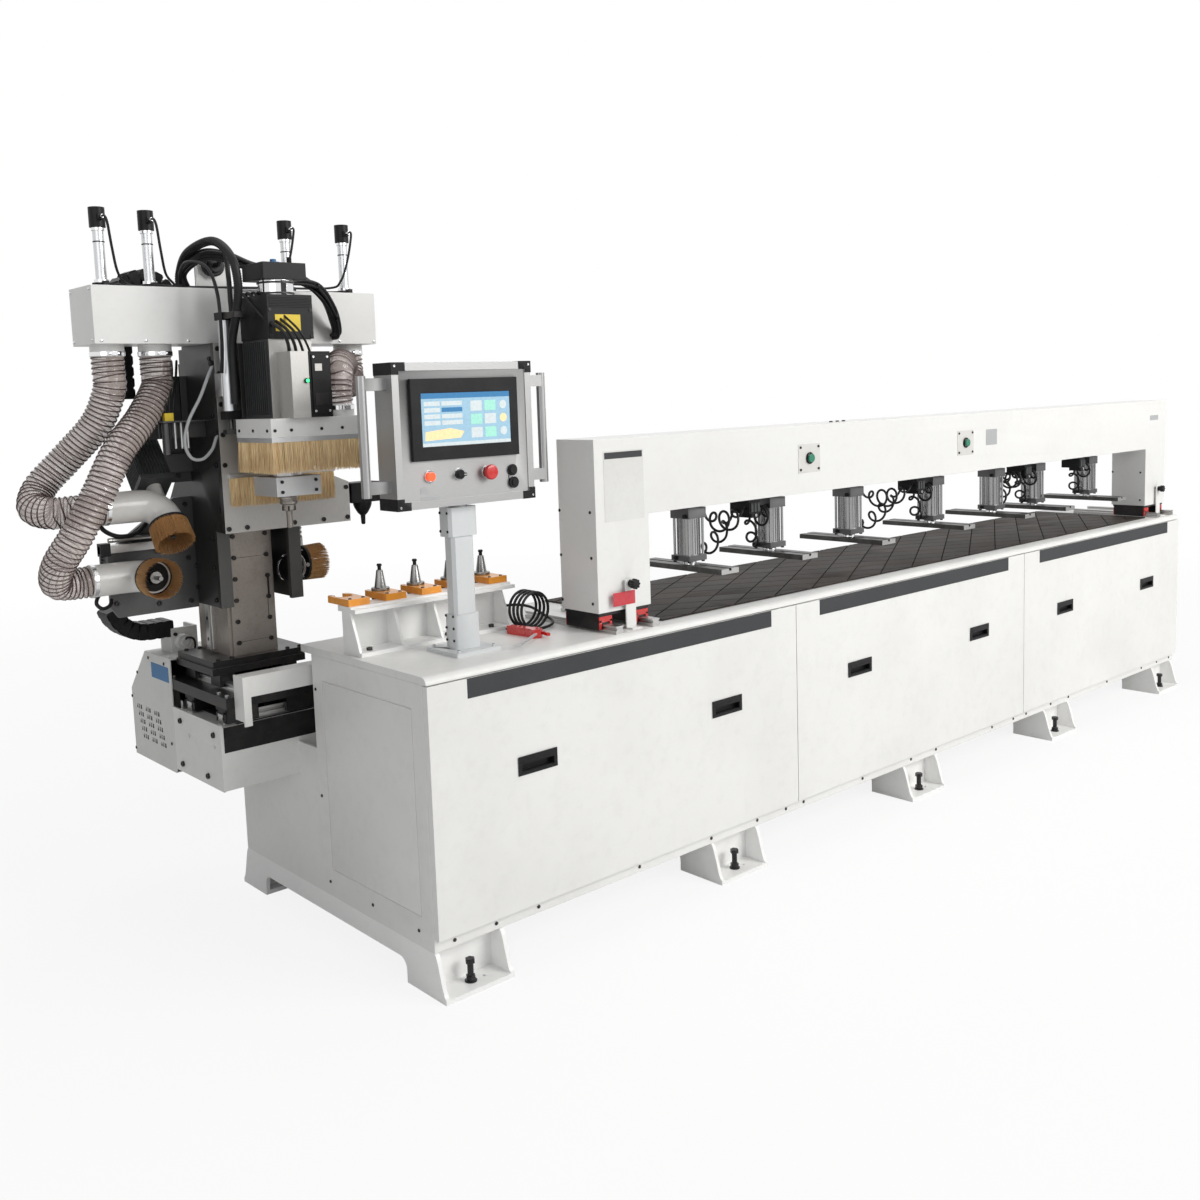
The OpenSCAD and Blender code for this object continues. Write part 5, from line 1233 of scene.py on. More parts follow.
def build_saddle():
    drive_motor = ((-106, 970, 449), (-14, 1062, 601), 1)
    near_rail = ((-171, 631, 699.5), (-149, 973, 721), 2)
    far_rail = ((17, 631, 699.5), (39, 973, 721), 2)
    chain_arm = ((-372, 1061, 806), (-169, 1139, 1050), 3)
    chain_root = ((-180, 1060, 757), (-100, 1140, 830), 4)
    dress("saddle", ["black_steel", "motor_grey", "ground_steel", "black_plastic", "cover_paint"],
          [drive_motor, near_rail, far_rail, chain_arm, chain_root], bevel=1.0)
    chain("saddle_chain", [(-170, 1100, 830)] + arc(-245, 927, 97, -90, -168, 1100), 78, 48, 27, "carriage")
    build_truck_seals()
    motor = Maker()
    motor.block((-101, 972, 452), (-19, 1060, 470), 1)
    motor.rod((-60, 1016, 430), 12, 20, "z", 0, chamfer=1)
    motor.piece("drive_motor_trim", ["black_plastic", "motor_grey"], "carriage", 2)
    dress("saddle_guard", "bed_paint", bevel=1.0)
    build_rear_cover()
    build_chain_end_motor()
    dress("x_pinion", "ground_steel", bevel=0)
    dress("y_slide", "black_steel", bevel=1.0)
    bolts("slide_bolts", [(x, y, 762) for x in (-195, 65) for y in (745, 955)], TO_TOP, "cross_slide", 6, 5)
    heads = [(x, y, 700) for x in (-205, 55) for y in (650, 700, 1000, 1180)]
    bolts("saddle_bolts", heads, TO_TOP, "carriage", 6, 5, mat="ground_steel")


COLUMN_X = -57
SCREW_Y = 1003
THREAD_Z, THREAD_LEN, THREAD_TURNS, THREAD_STEPS = 803, 674, 67, 60


def build_lift_screw():
    """A plain core with the thread wound round it."""
    core = Maker()
    core.rod((COLUMN_X, SCREW_Y, 800.5), 8.4, 679, "z", 0, 20)
    shaft = core.piece("lift_screw_core", "ground_steel", "screw")
    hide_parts("z_screw")
    line = [(COLUMN_X, SCREW_Y, THREAD_Z + THREAD_LEN * k / THREAD_STEPS) for k in range(THREAD_STEPS + 1)]
    winding("lift_screw_thread", line, "screw", "ground_steel", 8.4, THREAD_TURNS, 1.6, THREAD_TURNS * 14)


def build_column():
    flange = ((-201, 734, 761.5), (87, 971, 780.5), 1)
    lift_motor = ((-103, 957, 1491.5), (-11, 1049, 1641), 1)
    front_strip = ((-130, 763, 800), (20, 768.2, 1495), 1)
    dress("column", ["cover_steel", "black_steel"], [flange, lift_motor, front_strip], bevel=1.0)
    rows = [(x, 768, 815 + 60 * i) for i in range(11) for x in (-105.5, -8.5)]
    bolts("cover_bolts", rows, TO_FRONT, "cross_slide", 6.5, 5)
    heads = [(x, y, 780) for x in (-180, -140, 30, 68) for y in (748, 956)]
    bolts("flange_bolts", heads, TO_TOP, "cross_slide", 6, 5)
    dress("z_rails", "ground_steel", bevel=0.4)
    for k, s in enumerate((-1, 1)):
        spots = [(COLUMN_X + s * 92.5, 870, z) for z in range(820, 1460, 60)]
        plugs("lift_rail_plugs_%d" % (k + 1), spots, (s, 0, 0), TO_TOP, "cross_slide", 5.5, 0.4, 16)
    build_lift_screw()
    top = Maker()
    top.rod((COLUMN_X, SCREW_Y, 1640), 30, 5, "z", 0, chamfer=1.5)
    top.block((-100, 1048, 1560), (-60, 1062, 1600), 0)
    top.block((-90, 957.4, 1560), (-30, 956.4, 1600), 1)
    top.piece("lift_motor_trim", ["black_plastic", "yellow_label"], "cross_slide", 0.8)


# Head

PLATE_Y = 640
SIDE_PLATES = ((-177.5, -1), (63.5, 1))


def build_head_plates():
    front_plate = ((-183, 639.8, 1000), (197, 640.2, 1641), 1)
    # The side plates take the dark steel as painted shade; the front plate keeps its light grey
    dress("head_plates", ["plate_steel", "front_steel"], [front_plate], bevel=1.0)
    front = [(x, PLATE_Y, z) for x in (-172, 70) for z in (1320, 1400, 1480, 1560, 1625)]
    front += [(x, PLATE_Y, 1150) for x in (-172, -120, 20, 110, 186)]
    front += [(186, PLATE_Y, 1235), (110, PLATE_Y, 1270)]
    bolts("front_plate_bolts", front, TO_FRONT, "head", 6.5, 3.6)
    edge = ((730, 950), (730, 1040), (730, 1120), (674, 1200), (674, 1320), (674, 1450), (674, 1600),
            (1010, 1110))
    for k, (x, s) in enumerate(SIDE_PLATES):
        spots = [(x, y, z) for z in (975, 1035, 1285, 1345) for y in (850, 890)]
        spots += [(x, y, z) for y, z in edge]
        bolts("side_plate_bolts_%d" % (k + 1), spots, (s, 0, 0), "head", 6.5, 6)
    rails = Maker()
    for x in (-107, -27):
        for z in range(1320, 1620, 60):
            rails.rod((x, 619.6, z), 4.6, 0.5, "y", 0, 14)
    rails.piece("router_rail_plugs", "black_steel", "head")


# The manifold's ports and the gate cylinder over each, and the radii of a hose clamp
PORT_Y = 767.5
GATE_X = (-410, -285, 110, 292)
CLAMP_IN, CLAMP_OUT = 42.3, 43.6
GATE_BARREL_R = 13.7


def build_port_clamps():
    """Hose clamps on the four ports and a band on the main outlet."""
    clamps = Maker()
    for x in GATE_X:
        clamps.ring((x, PORT_Y, 1612), CLAMP_IN, CLAMP_OUT, 11, "z", 0, 40)
        clamps.block((x - 8, PORT_Y - 52, 1612), (x + 8, PORT_Y - 42.5, 1623))
        clamps.rod((x - 13, PORT_Y - 48, 1617.5), 3.5, 26, "x", 0, 12)
    clamps.ring((200, 915, 1712), 60.2, 62.5, 8, "y", 0, 48)
    clamps.piece("port_clamps", "chrome", "head", 0.3)


def build_gate_fittings():
    """End rings, elbows and sensors of the four gate cylinders."""
    caps = Maker()
    for x in GATE_X:
        caps.ring((x, PORT_Y, 1927), GATE_BARREL_R, 16.0, 7.4, "z", 0, 28)
        caps.ring((x, PORT_Y, 1797), GATE_BARREL_R, 18.5, 8, "z", 0, 28)
        caps.block((x - 7, PORT_Y - 30, 1952), (x + 7, PORT_Y - 18, 1966), 1)
        caps.rod((x, PORT_Y - 42, 1959), 5, 13, "y", 0, 14, 0.8)
        caps.block((x - 7, PORT_Y - 34, 1786), (x + 7, PORT_Y - 20, 1800), 1)
        caps.ring((x, PORT_Y, 1898), GATE_BARREL_R, 14.6, 3, "z", 1, 28)
    caps.piece("gate_fittings", ["chrome", "black_plastic"], "head", 0.6)


def build_gate_tubes():
    """A high and a low air tube from each gate cylinder to the middle of the manifold."""
    tubes = Maker()
    hub_x, hub_y = -190, 785
    for k, x in enumerate(GATE_X):
        s = 1 if x < hub_x else -1
        middle = (x + hub_x) / 2
        rise = 8 * k * 0.3
        tubes.cable([(x, PORT_Y - 40, 1959), (x, PORT_Y - 52, 1958), (x + s * 4, PORT_Y - 58, 1940),
                     (x + s * 14, PORT_Y - 50, 1880), (x + s * 30, PORT_Y - 34, 1822),
                     (x + s * 60, PORT_Y - 12, 1795 + rise), (middle, PORT_Y + 4, 1792 + rise),
                     (hub_x - s * 34, hub_y, 1796), (hub_x, hub_y + k * 5, 1800)], 46, 3.4)
        tubes.cable([(x + s * 6, PORT_Y - 27, 1793), (x + s * 24, PORT_Y - 32, 1792),
                     (x + s * 60, PORT_Y - 24, 1790), (middle, PORT_Y - 8, 1789), (hub_x, 778, 1794)],
                    30, 3.0)
    tubes.piece("gate_air_tubes", "black_cable", "head")


def build_manifold():
    dress("dust_manifold", "white_paint", bevel=1.4)
    edge = [(x, 690, 1648) for x in range(-450, 340, 112)]
    bolts("manifold_screws", edge, TO_FRONT, "head", 4, 2.4, False, "chrome")
    corners = [(-467, y, z) for y in (702, 832) for z in (1650, 1775)]
    bolts("manifold_end_screws", corners, TO_LEFT, "head", 4, 2.4, False, "chrome")
    build_port_clamps()
    feet = [((x - 24, 743, 1784), (x + 24, 792, 1797.5), 1) for x in GATE_X]
    caps = [((x - 21, 746, 1934.5), (x + 21, 789, 1986), 1) for x in GATE_X]
    drop_ends = [((-185, 580, z0), (-145, 620, z1), 1) for z0, z1 in ((1438, 1463), (1694.5, 1716))]
    dress("gate_cylinders", ["drawn_aluminium", "black_plastic"], feet + caps + drop_ends, bevel=1.2)
    build_gate_fittings()
    build_gate_tubes()


HOSES = {
    "dust_hose_1": [(-410, 768, 1610), (-410, 768, 1568), (-411, 769, 1526), (-440, 800, 1440),
                    (-510, 850, 1350), (-570, 865, 1285), (-600, 830, 1236), (-575, 785, 1222),
                    (-539, 770, 1222), (-497, 770, 1222), (-455, 770, 1222)],
    "dust_hose_2": [(-285, 768, 1610), (-285, 768, 1568), (-290, 762, 1526), (-350, 725, 1450),
                    (-430, 690, 1370), (-490, 680, 1270), (-545, 695, 1170), (-580, 740, 1095),
                    (-574, 785, 1045), (-532, 800, 1035), (-490, 800, 1035)],
    "dust_hose_3": [(292, 768, 1610), (292, 766, 1568), (270, 730, 1530), (190, 620, 1535), (120, 510, 1575),
                    (70, 445, 1560), (56, 434, 1512), (56, 434, 1470)],
    "dust_hose_4": [(110, 768, 1610), (110, 768, 1568), (110, 772, 1520), (112, 800, 1400), (115, 845, 1260),
                    (116, 870, 1164), (116, 870, 1122), (116, 870, 1080)],
}
DUST_HOSE_R = 39.6
WALL_SWELL = 1.2
WALL_THICK = 1.4


def build_dust_hoses():
    """Thin walls that swell between the turns of a wire."""
    pitch, wire = sizes().hose_pitch, sizes().wire
    for name, points in HOSES.items():
        line = even_route(smooth_route(points, 161), pitch / 6)
        turns = route_length(line) / pitch
        count = len(line) - 1
        radii = [DUST_HOSE_R + WALL_SWELL * math.cos(math.tau * turns * i / count) for i in range(count + 1)]
        wall = Maker()
        wall.tube(line, radii, 0, 26, inner=WALL_THICK)
        shown = wall.piece(name, "hose_wall", "head", sharp=80)
        coil = winding(name + "_wire", even_route(line, 12), "head", "hose_wire", DUST_HOSE_R, turns, wire,
                       int(turns * 26), sharp=80)
        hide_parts("dust_hoses")
        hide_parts("dust_hoses")


def turned(angle, axis):
    return Matrix.Rotation(math.radians(angle), 3, axis)


# Place and turn of each side spindle, whose own axis runs along Y
SPINDLES = {
    "low": (Vector((-345, 745, 1035)), Matrix.Identity(3)),
    "up": (Vector((-300, 735, 1180)), turned(50, "X")),
    "right": (Vector((116, 815, 1010)), turned(90, "Z")),
}
# Start and length of each side motor along its axis, and the leg of its elbow
SIDE_MOTORS = {"low": (120, 135, 90), "up": (110, 160, 100), "right": (100, 125, 15)}
FIN_R, FIN_PITCH = 40, 8.6
ELBOW_CLAMP_IN = 42.2


def spot(kind, x, y, z):
    """A point of a side spindle's own space, in the drawing."""
    origin, turn = SPINDLES[kind]
    return origin + turn @ Vector((x, y, z))


def build_motor_fins(name, kind):
    start, length, _ = SIDE_MOTORS[kind]
    half = (length - 30) / 2
    shape = Maker()
    shape.block((-1, -half, -0.5), (1, half, 4.2))
    points, facing, side = [], [], []
    turn = SPINDLES[kind][1]
    for q in range(4):
        a = math.pi / 2 * q
        radial, across = Vector((math.cos(a), 0, math.sin(a))), Vector((-math.sin(a), 0, math.cos(a)))
        for i in range(-4, 5):
            local = radial * FIN_R + across * i * FIN_PITCH
            points.append(spot(kind, local.x, start + length / 2, local.z))
            facing.append(tuple(turn @ radial))
            side.append(tuple(turn @ across))
    stamp(name, shape, "motor_grey", points, facing, side, "head")


def build_side_spindles():
    motors = [((-391, 864, 989), (-299, 1001, 1081), 1), ((70, 914, 964), (162, 1041, 1056), 1),
              ((-346, 770, 1234), (-254, 944, 1417), 1)]
    dress("side_spindles", ["wing_steel", "motor_grey"], motors, bevel=1.0)
    dress("dust_elbows", "pale_plastic", bevel=0.6)
    for k, kind in enumerate(SPINDLES):
        dress("side_nose_%d" % (k + 1), "tool_steel", bevel=0.8)
        build_motor_fins("motor_fins_%d" % (k + 1), kind)
    clamps = Maker()
    for kind, (_, turn) in SPINDLES.items():
        leg = SIDE_MOTORS[kind][2]
        clamps.ring(spot(kind, -55 - leg + 3, 55, 0), ELBOW_CLAMP_IN, CLAMP_OUT, 10, slot=0, n=40,
                    matrix=turn @ turned(90, "Y"))
    clamps.piece("elbow_clamps", "chrome", "head", 0.3)
    wing = ((-200, 940), (-200, 1060), (-200, 1210), (-390, 1110), (-405, 960), (-290, 945), (-290, 1125))
    bolts("wing_bolts", [(x, 850, z) for x, z in wing], TO_FRONT, "head", 6.5, 6)


BAR_HAIR_LEN, BAR_HAIR_R = 83, 1.0


def build_round_brush(rings, kind, seed, step):
    """One ring of hairs round a side spindle's tool; its backing and the black disc of painted shade in its
    hollow go to rings.
    """
    turn = SPINDLES[kind][1]
    rings.ring(spot(kind, 0, -17, 0), 42.6, 51, 8, slot=0, n=44, matrix=turn @ AXIS_Y)
    # A black disc fills the hollow inside the hairs: painted shade
    rings.ring(spot(kind, 0, -12, 0), 21, 42.4, 3, slot=2, n=44, matrix=turn @ AXIS_Y)
    points, facing = [], []
    for _ in range(sizes().ring_hairs):
        a, r = seed.random() * math.tau, seed.uniform(44.6, 50.4)
        points.append(spot(kind, r * math.cos(a), -14, r * math.sin(a)))
        out = Vector((0.03 * math.cos(a), -1, 0.03 * math.sin(a)))
        facing.append(tuple((turn @ out).normalized()))
    return bristles("round_brush_" + kind, points, facing, "head", "amber_bristle", 62, 1.1, step)


def build_head_brushes():
    seed = random.Random(sizes().seed)
    rings = Maker()
    shown = [build_round_brush(rings, kind, seed, step) for step, kind in enumerate(SPINDLES)]
    rings.block((-165, 632, 1284), (150, 640, 1295), 1)
    # The third slot is the painted shade in the brushes' hollows
    mats = ["black_rubber", "drawn_aluminium", "black_rubber"]
    shown.append(rings.piece("brush_backings", mats, "head", 0.4))
    points, facing = [], []
    for _ in range(sizes().ring_hairs):
        points.append((seed.uniform(-162, 147), seed.uniform(633.5, 638.5), 1288))
        facing.append((seed.uniform(-0.03, 0.03), seed.uniform(-0.03, 0.02), -1))
    shown.append(bristles("bar_brush", points, facing, "head", "pale_bristle", BAR_HAIR_LEN, BAR_HAIR_R, 9))
    for obj in shown:
        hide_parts("head_brushes")


# Cables of the head and small parts beside them


def build_conduit():
    """The ribbed conduit that arches from the manifold down to the router's plate."""
    route = smooth_route([(-190, 800, 1785), (-190, 800, 1830), (-190, 740, 1880), (-185, 600, 1895),
                          (-175, 520, 1850), (-167, 505, 1780), (-165, 530, 1705), (-165, 562, 1640),
                          (-165, 566, 1560), (-165, 566, 1480)], 120)
    route = even_route(route, 3)
    conduit = Maker()
    conduit.tube(route, [11.6 if k % 2 else 10.2 for k in range(len(route))], 0, 14)
    return conduit.piece("cable_conduit", "black_cable", "head", sharp=60)


def build_head_cables():
    """The bundles over the manifold and the plates, and the ties round one of them."""
    bundle, ties = Maker(), Maker()
    loom = smooth_route([(-15, 600, 1800), (20, 600, 1800), (110, 606, 1792), (168, 622, 1730),
                         (196, 650, 1668), (200, 690, 1660)], 50)
    for r, dx, dz in ((5.2, -5, 4), (5.2, 5, 4), (4.4, 0, -5)):
        bundle.tube([p + Vector((dx, 0, dz)) for p in loom], r, 0, 10)
    bundle.cable([(-190, 795, 1800), (-205, 760, 1830), (-215, 690, 1850), (-205, 600, 1830),
                  (-198, 560, 1760), (-196, 556, 1640), (-193, 575, 1560)], 60, 4.5)
    for k, (r, dy, dz) in enumerate(((8.0, 0, 0), (6.5, 13, 9), (5.5, -11, 8), (5.0, 2, 15), (4.5, -8, -9))):
        bundle.cable([(-186 + 4 * k, 792, 1797), (-188, 772 + dy, 1838 + dz), (-165, 700 + dy, 1868 + dz),
                      (-120, 650 + dy, 1858 + dz), (-60, 630 + dy, 1832 + dz), (20, 622 + dy, 1816 + dz),
                      (92, 622 + dy, 1796 + dz), (150, 630 + dy, 1748 + dz), (186, 652 + dy, 1690 + dz),
                      (204 + 3 * k, 688.5, 1664 + dz / 2)], 70, r, n=10)
    for k in (8, 20, 32):
        ties.ring(loom[k] - Vector((2, 0, 0)), 9.6, 11.4, 4, "x", 0, 20)
    bundle.piece("head_cables", "black_cable", "head")
    ties.piece("cable_ties", "black_plastic", "head")


def build_router_cables():
    cables = Maker()
    for k in range(4):
        cables.cable([(-120 + 11 * k, 586, 1700 + 6 * k), (-132 + 6 * k, 560 - 20 * k, 1760),
                      (-128 + 14 * k, 470 - 12 * k, 1700), (-112 + 16 * k, 398, 1660),
                      (-98 + 17 * k, 396, 1630), (-92 + 19 * k, 400, 1606)], 50, 4.6 - 0.5 * k)
    cables.piece("router_cables", "black_cable", "router")


def build_side_conduit():
    """The pale loop on the head's left, held by two black unions."""
    loop = Maker()
    loop.cable([(-178, 652, 1587), (-196, 646, 1560), (-226, 642, 1500), (-262, 640, 1440), (-276, 640, 1385),
                (-262, 640, 1346), (-232, 640, 1340), (-204, 642, 1362), (-188, 646, 1392),
                (-178, 652, 1404)], 80, 4.2, n=10)
    for z in (1587, 1404):
        loop.rod((-190, 652, z), 8, 13, "x", 1, 16, 1)
    loop.piece("side_conduit", ["grey_label", "black_plastic"], "head")


def build_cable_gland():
    """A plate on the manifold with a round gland and its cable."""
    x, z = -106, 1854
    hub = Maker()
    hub.block((-152, 786, 1784), (-62, 792, 1896), 0)
    for y, r, height, chamfer in ((762, 30, 24, 4), (754, 21, 10, 3), (792, 26, 20, 3)):
        hub.rod((x, y, z), r, height, "y", 1, chamfer=chamfer)
    hub.cable([(x, 756, z), (x, 735, 1856), (-112, 705, 1880), (-126, 660, 1893), (-142, 615, 1860),
               (-150, 590, 1790), (-154, 580, 1730), (-154, 575, 1660)], 60, 6.5, 1, 10)
    hub.piece("cable_gland", ["white_paint", "black_cable"], "head", 0.8)


def build_wing_slide():
    """Guide blocks, a guide rod and two cable loops on the wing plate."""
    wing = Maker()
    wing.block((-446, 828, 1098), (-262, 850, 1120), 0)
    wing.block((-446, 822, 1092), (-420, 850, 1126), 1)
    wing.block((-288, 818, 1082), (-262, 850, 1136), 0)
    wing.rod((-420, 838, 1132), 7, 150, "x", 0, 18, 1)
    wing.cable([(-446, 836, 1190), (-430, 830, 1160), (-395, 824, 1142), (-350, 824, 1146), (-318, 830, 1172),
                (-308, 838, 1200)], 50, 6, 2, 10)
    wing.cable([(-440, 846, 1000), (-456, 842, 985), (-462, 838, 968), (-448, 836, 954), (-428, 838, 960),
                (-420, 846, 975)], 40, 5, 2, 10)
    wing.piece("wing_slide", ["ground_steel", "black_plastic", "black_cable"], "head", 0.8)


def build_sweep_nozzle():
    """A black funnel on an arm at the head's right."""
    nozzle = Maker()
    nozzle.block((63.5, 664, 1206), (232, 676, 1236), 0)
    nozzle.block((206, 644, 1186), (300, 700, 1244), 0)
    funnel = [(4, 0), (6, 3), (7, 26), (15, 34), (24, 50), (27, 60), (27, 67)]
    nozzle.lathe((256, 672, 1120), funnel, "z", 0, 24)
    nozzle.rod((252, 648, 1244), 7, 16, "z", 1, 16, 1)
    nozzle.piece("sweep_nozzle", ["black_plastic", "chrome"], "head", 1.2)


def build_motor_bracket():
    """The dark sheet above the low side motor, with its shelf, small cylinder and tubes."""
    plate_x = -177.7
    back = Maker()
    back.prism([(plate_x, 1560), (-236, 1560), (-318, 1470), (-342, 1392), (-250, 1392), (-250, 1272),
                (plate_x, 1272)], 842, 849.6, "y", 0)
    back.prism([(plate_x, 1352), (-196, 1352), (-196, 1560), (plate_x, 1560)], 832, 842, "y", 1)
    back.block((-306, 700, 1437), (plate_x, 732, 1441), 1)
    back.block((-306, 728, 1395), (plate_x, 732, 1437), 1)
    back.block((-296, 708, 1441), (-272, 724, 1462), 2)
    back.rod((-292, 716, 1352), 11, 85, "z", 1, 24, 1.5)
    for k in range(3):
        back.rod((-268 + 17 * k, 716, 1368), 3, 69, "z", 3, 12, 0.5)
        back.cable([(-290 + 10 * k, 716, 1462), (-286 + 12 * k, 722, 1500),
                    (-262 + 16 * k, 750 + 12 * k, 1560), (-246 + 18 * k, 800 + 6 * k, 1600),
                    (-240 + 18 * k, 842, 1545)], 40, 3.2, 4)
    mats = ["motor_grey", "wing_steel", "yellow_label", "cast_aluminium", "black_cable"]
    back.piece("upper_motor_bracket", mats, "head", 0.8)
    heads = ((-300, 1410), (-290, 1460), (-240, 1530), (-215, 1290))
    bolts("bracket_bolts", [(x, 842, z) for x, z in heads], TO_FRONT, "head", 6, 4)


def build_cable_brackets():
    holds = Maker()
    holds.block((-352, 845, 1700), (-168, 862, 1750), 0)
    holds.block((-215, 780, 1785), (-165, 820, 1797), 1)
    holds.block((-177, 515, 1697), (-153, 581, 1713), 1)
    holds.block((-12, 590, 1777), (12, 690, 1790), 1)
    return holds.piece("cable_brackets", ["white_paint", "black_steel"], "head", 1.0)


def build_cable_loom():
    conduit = build_conduit()
    build_head_cables()
    build_router_cables()
    build_side_conduit()
    build_cable_gland()
    build_wing_slide()
    build_sweep_nozzle()
    build_motor_bracket()
    brackets = build_cable_brackets()
    path = [(-330, 900, 1502), (-330, 900, 1757)] + arc(-260, 1757, 70, 180, 0, 900)[1:] + [(-190, 900, 1702)]
    links = chain("head_chain", path, 76, 44, 30, "head")
    for obj in (conduit, brackets, links):
        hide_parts("cable_loom")


# Router

ROUTER_X, ROUTER_Y = -67, 500
HOOD_SCREW_X = (-150, -105, -20, 40, 90)
# Profile of the spindle nose with its collet nut, as (radius, height)
COLLET = [(0.6, 0), (7.4, 1.5), (8, 4), (8, 44), (11, 45), (16, 46.5), (18, 50), (18, 62), (21, 63),
          (23.4, 64.4), (24, 67), (24, 72), (22.4, 73), (22.4, 76), (24, 77), (24, 85), (22.6, 87.6),
          (15, 87.7), (15, 270)]


def build_router_body():
    body = ((-128, 439, 1439), (-6, 585, 1641), 2)
    fan_cover = ((-131, 429, 1639), (-3, 585, 1751), 1)
    junction_box = ((-106, 369, 1439), (6, 441, 1606), 1)
    neck = ((-113, 454, 1749), (-21, 546, 1791), 3)
    top_cap = ((-126, 449, 1789), (-4, 566, 1833), 1)
    spindle = ((-113, 454, 1249), (-21, 546, 1441), 3)
    body_front = ((-128, 438.5, 1439), (-6, 441.5, 1641), 4)
    # The body's sides and top take the dark steel as painted shade; its front keeps the light grey
    dress("router_spindle", ["plate_steel", "black_plastic", "motor_grey", "chrome", "front_steel"],
          [body, fan_cover, junction_box, neck, top_cap, spindle, body_front], bevel=1.4)
    rib = Maker()
    rib.block((-1.2, -92, -0.5), (1.2, 92, 4.5))
    points, facing = [], []
    for s in (-1, 1):
        for y in range(452, 580, 11):
            points.append((ROUTER_X + s * 60, y, 1542))
            facing.append((s, 0, 0))
    stamp("router_ribs", rib, "motor_grey", points, facing, (0, 1, 0), "router")


def build_router_trim():
    """Lid, lamp, labels, grille and unions of the router; slots are named in the order of mats."""
    mats = ["black_plastic", "black_steel", "yellow_label", "black_rubber", "led_green", "blue_label",
            "front_steel"]
    plastic, steel, yellow, rubber, led, blue, pale = range(len(mats))
    trim = Maker()
    trim.block((-50, 366.6, 1449), (-1, 370, 1597), plastic)
    trim.block((-44, 365.4, 1470), (-8, 366.8, 1500), steel)
    trim.block((-106.5, 368.5, 1439.5), (-58, 369.5, 1605.5), pale)
    trim.block((-106.6, 369.5, 1439.5), (-105.9, 440, 1605.5), pale)
    trim.block((-110, 429.2, 1658), (-40, 430, 1700), yellow)
    trim.block((-42, 365.8, 1556), (-22, 366.8, 1574), pale)
    for k in range(7):
        trim.block((-124, 428.6, 1718 + k * 4), (-10, 430.4, 1720 + k * 4), plastic)
    trim.rod((-66, 362.5, 1532), 6.4, 7, "y", rubber, chamfer=1)
    trim.rod((-66, 361, 1532), 4.4, 2.4, "y", led, chamfer=0.8)
    trim.rod((-80, 480, 1832), 8, 10, "z", blue, chamfer=1)
    trim.rod((-45, 530, 1832), 8, 10, "z", blue, chamfer=1)
    trim.rod((-40, 470, 1832), 6, 16, "z", rubber, chamfer=1)
    for z in (1754, 1781):
        trim.ring((ROUTER_X, ROUTER_Y, z), 45.2, 47, 5, "z", steel, 44)
    trim.block((-75, 455, 1752), (-60, 459, 1788), plastic)
    trim.piece("router_trim", mats, "router", 0.8)
    lid = [(x, 366.6, z) for x in (-45, -6) for z in (1455, 1591)]
    bolts("junction_screws", lid, TO_FRONT, "router", 3.2, 1.6, mat="chrome")
    fan = [(x, 430, z) for x in (-124, -10) for z in (1646, 1712)]
    bolts("fan_screws", fan, TO_FRONT, "router", 4, 2.5)


def build_router_hood():
    spindle_clamp = ((-131, 436, 1239), (-3, 564, 1291), 1)
    dress("router_hood", ["white_paint", "cast_aluminium"], [spindle_clamp], bevel=1.2)
    bolts("hood_screws", [(x, 390, 1410) for x in HOOD_SCREW_X], TO_FRONT, "router", 4, 2.5)
    bolts("hood_end_screws", [(-160, y, 1410) for y in (410, 487, 565)], TO_LEFT, "router", 4, 2.5)
    heads = [(x, 437, z) for x in (-115, -19) for z in (1252, 1278)]
    bolts("clamp_screws", heads, TO_FRONT, "router", 4.5, 3)
    band = Maker()
    band.ring((56, 434, 1456), CLAMP_IN, CLAMP_OUT, 11, "z", 0, 40)
    band.block((48, 382, 1456), (64, 392, 1467))
    band.piece("hood_clamp", "chrome", "router", 0.3)


def build_router_collet():
    nose = Maker()
    nose.lathe((ROUTER_X, ROUTER_Y, 1152), COLLET, "z", 0, 40)
    shown = nose.piece("router_collet", "collet_steel", "nose")
    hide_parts("router_nose")
    keys = Maker()
    for k in range(6):
        a = math.tau * k / 6
        keys.rod((ROUTER_X + 17.4 * math.cos(a), ROUTER_Y + 17.4 * math.sin(a), 1199), 2.4, 12, "z", 0, 10)
    keys.piece("collet_slots", "black_steel", "nose")


def build_router():
    build_router_body()
    build_router_trim()
    build_router_hood()
    build_router_collet()


SKIRT_X, SKIRT_Y = (-160, 100), (390, 584)
SKIRT_LOW, SKIRT_HIGH = 1380, 1392


def build_skirt_backing():
    """Four strips under the hood that hold the hairs."""
    x0, x1, y0, y1 = SKIRT_X[0] + 1, SKIRT_X[1] - 1, SKIRT_Y[0] + 1, SKIRT_Y[1] - 1
    inner_x0, inner_x1, inner_y0, inner_y1 = x0 + 11, x1 - 11, y0 + 11, y1 - 11
    strips = Maker()
    for ax, bx, ay, by in ((x0, x1, y0, inner_y0), (x0, x1, inner_y1, y1),
                           (x0, inner_x0, inner_y0, inner_y1), (inner_x1, x1, inner_y0, inner_y1)):
        strips.block((ax, ay, SKIRT_LOW), (bx, by, SKIRT_HIGH))
    return strips.piece("skirt_backing", "cast_aluminium", "router", 0.5)


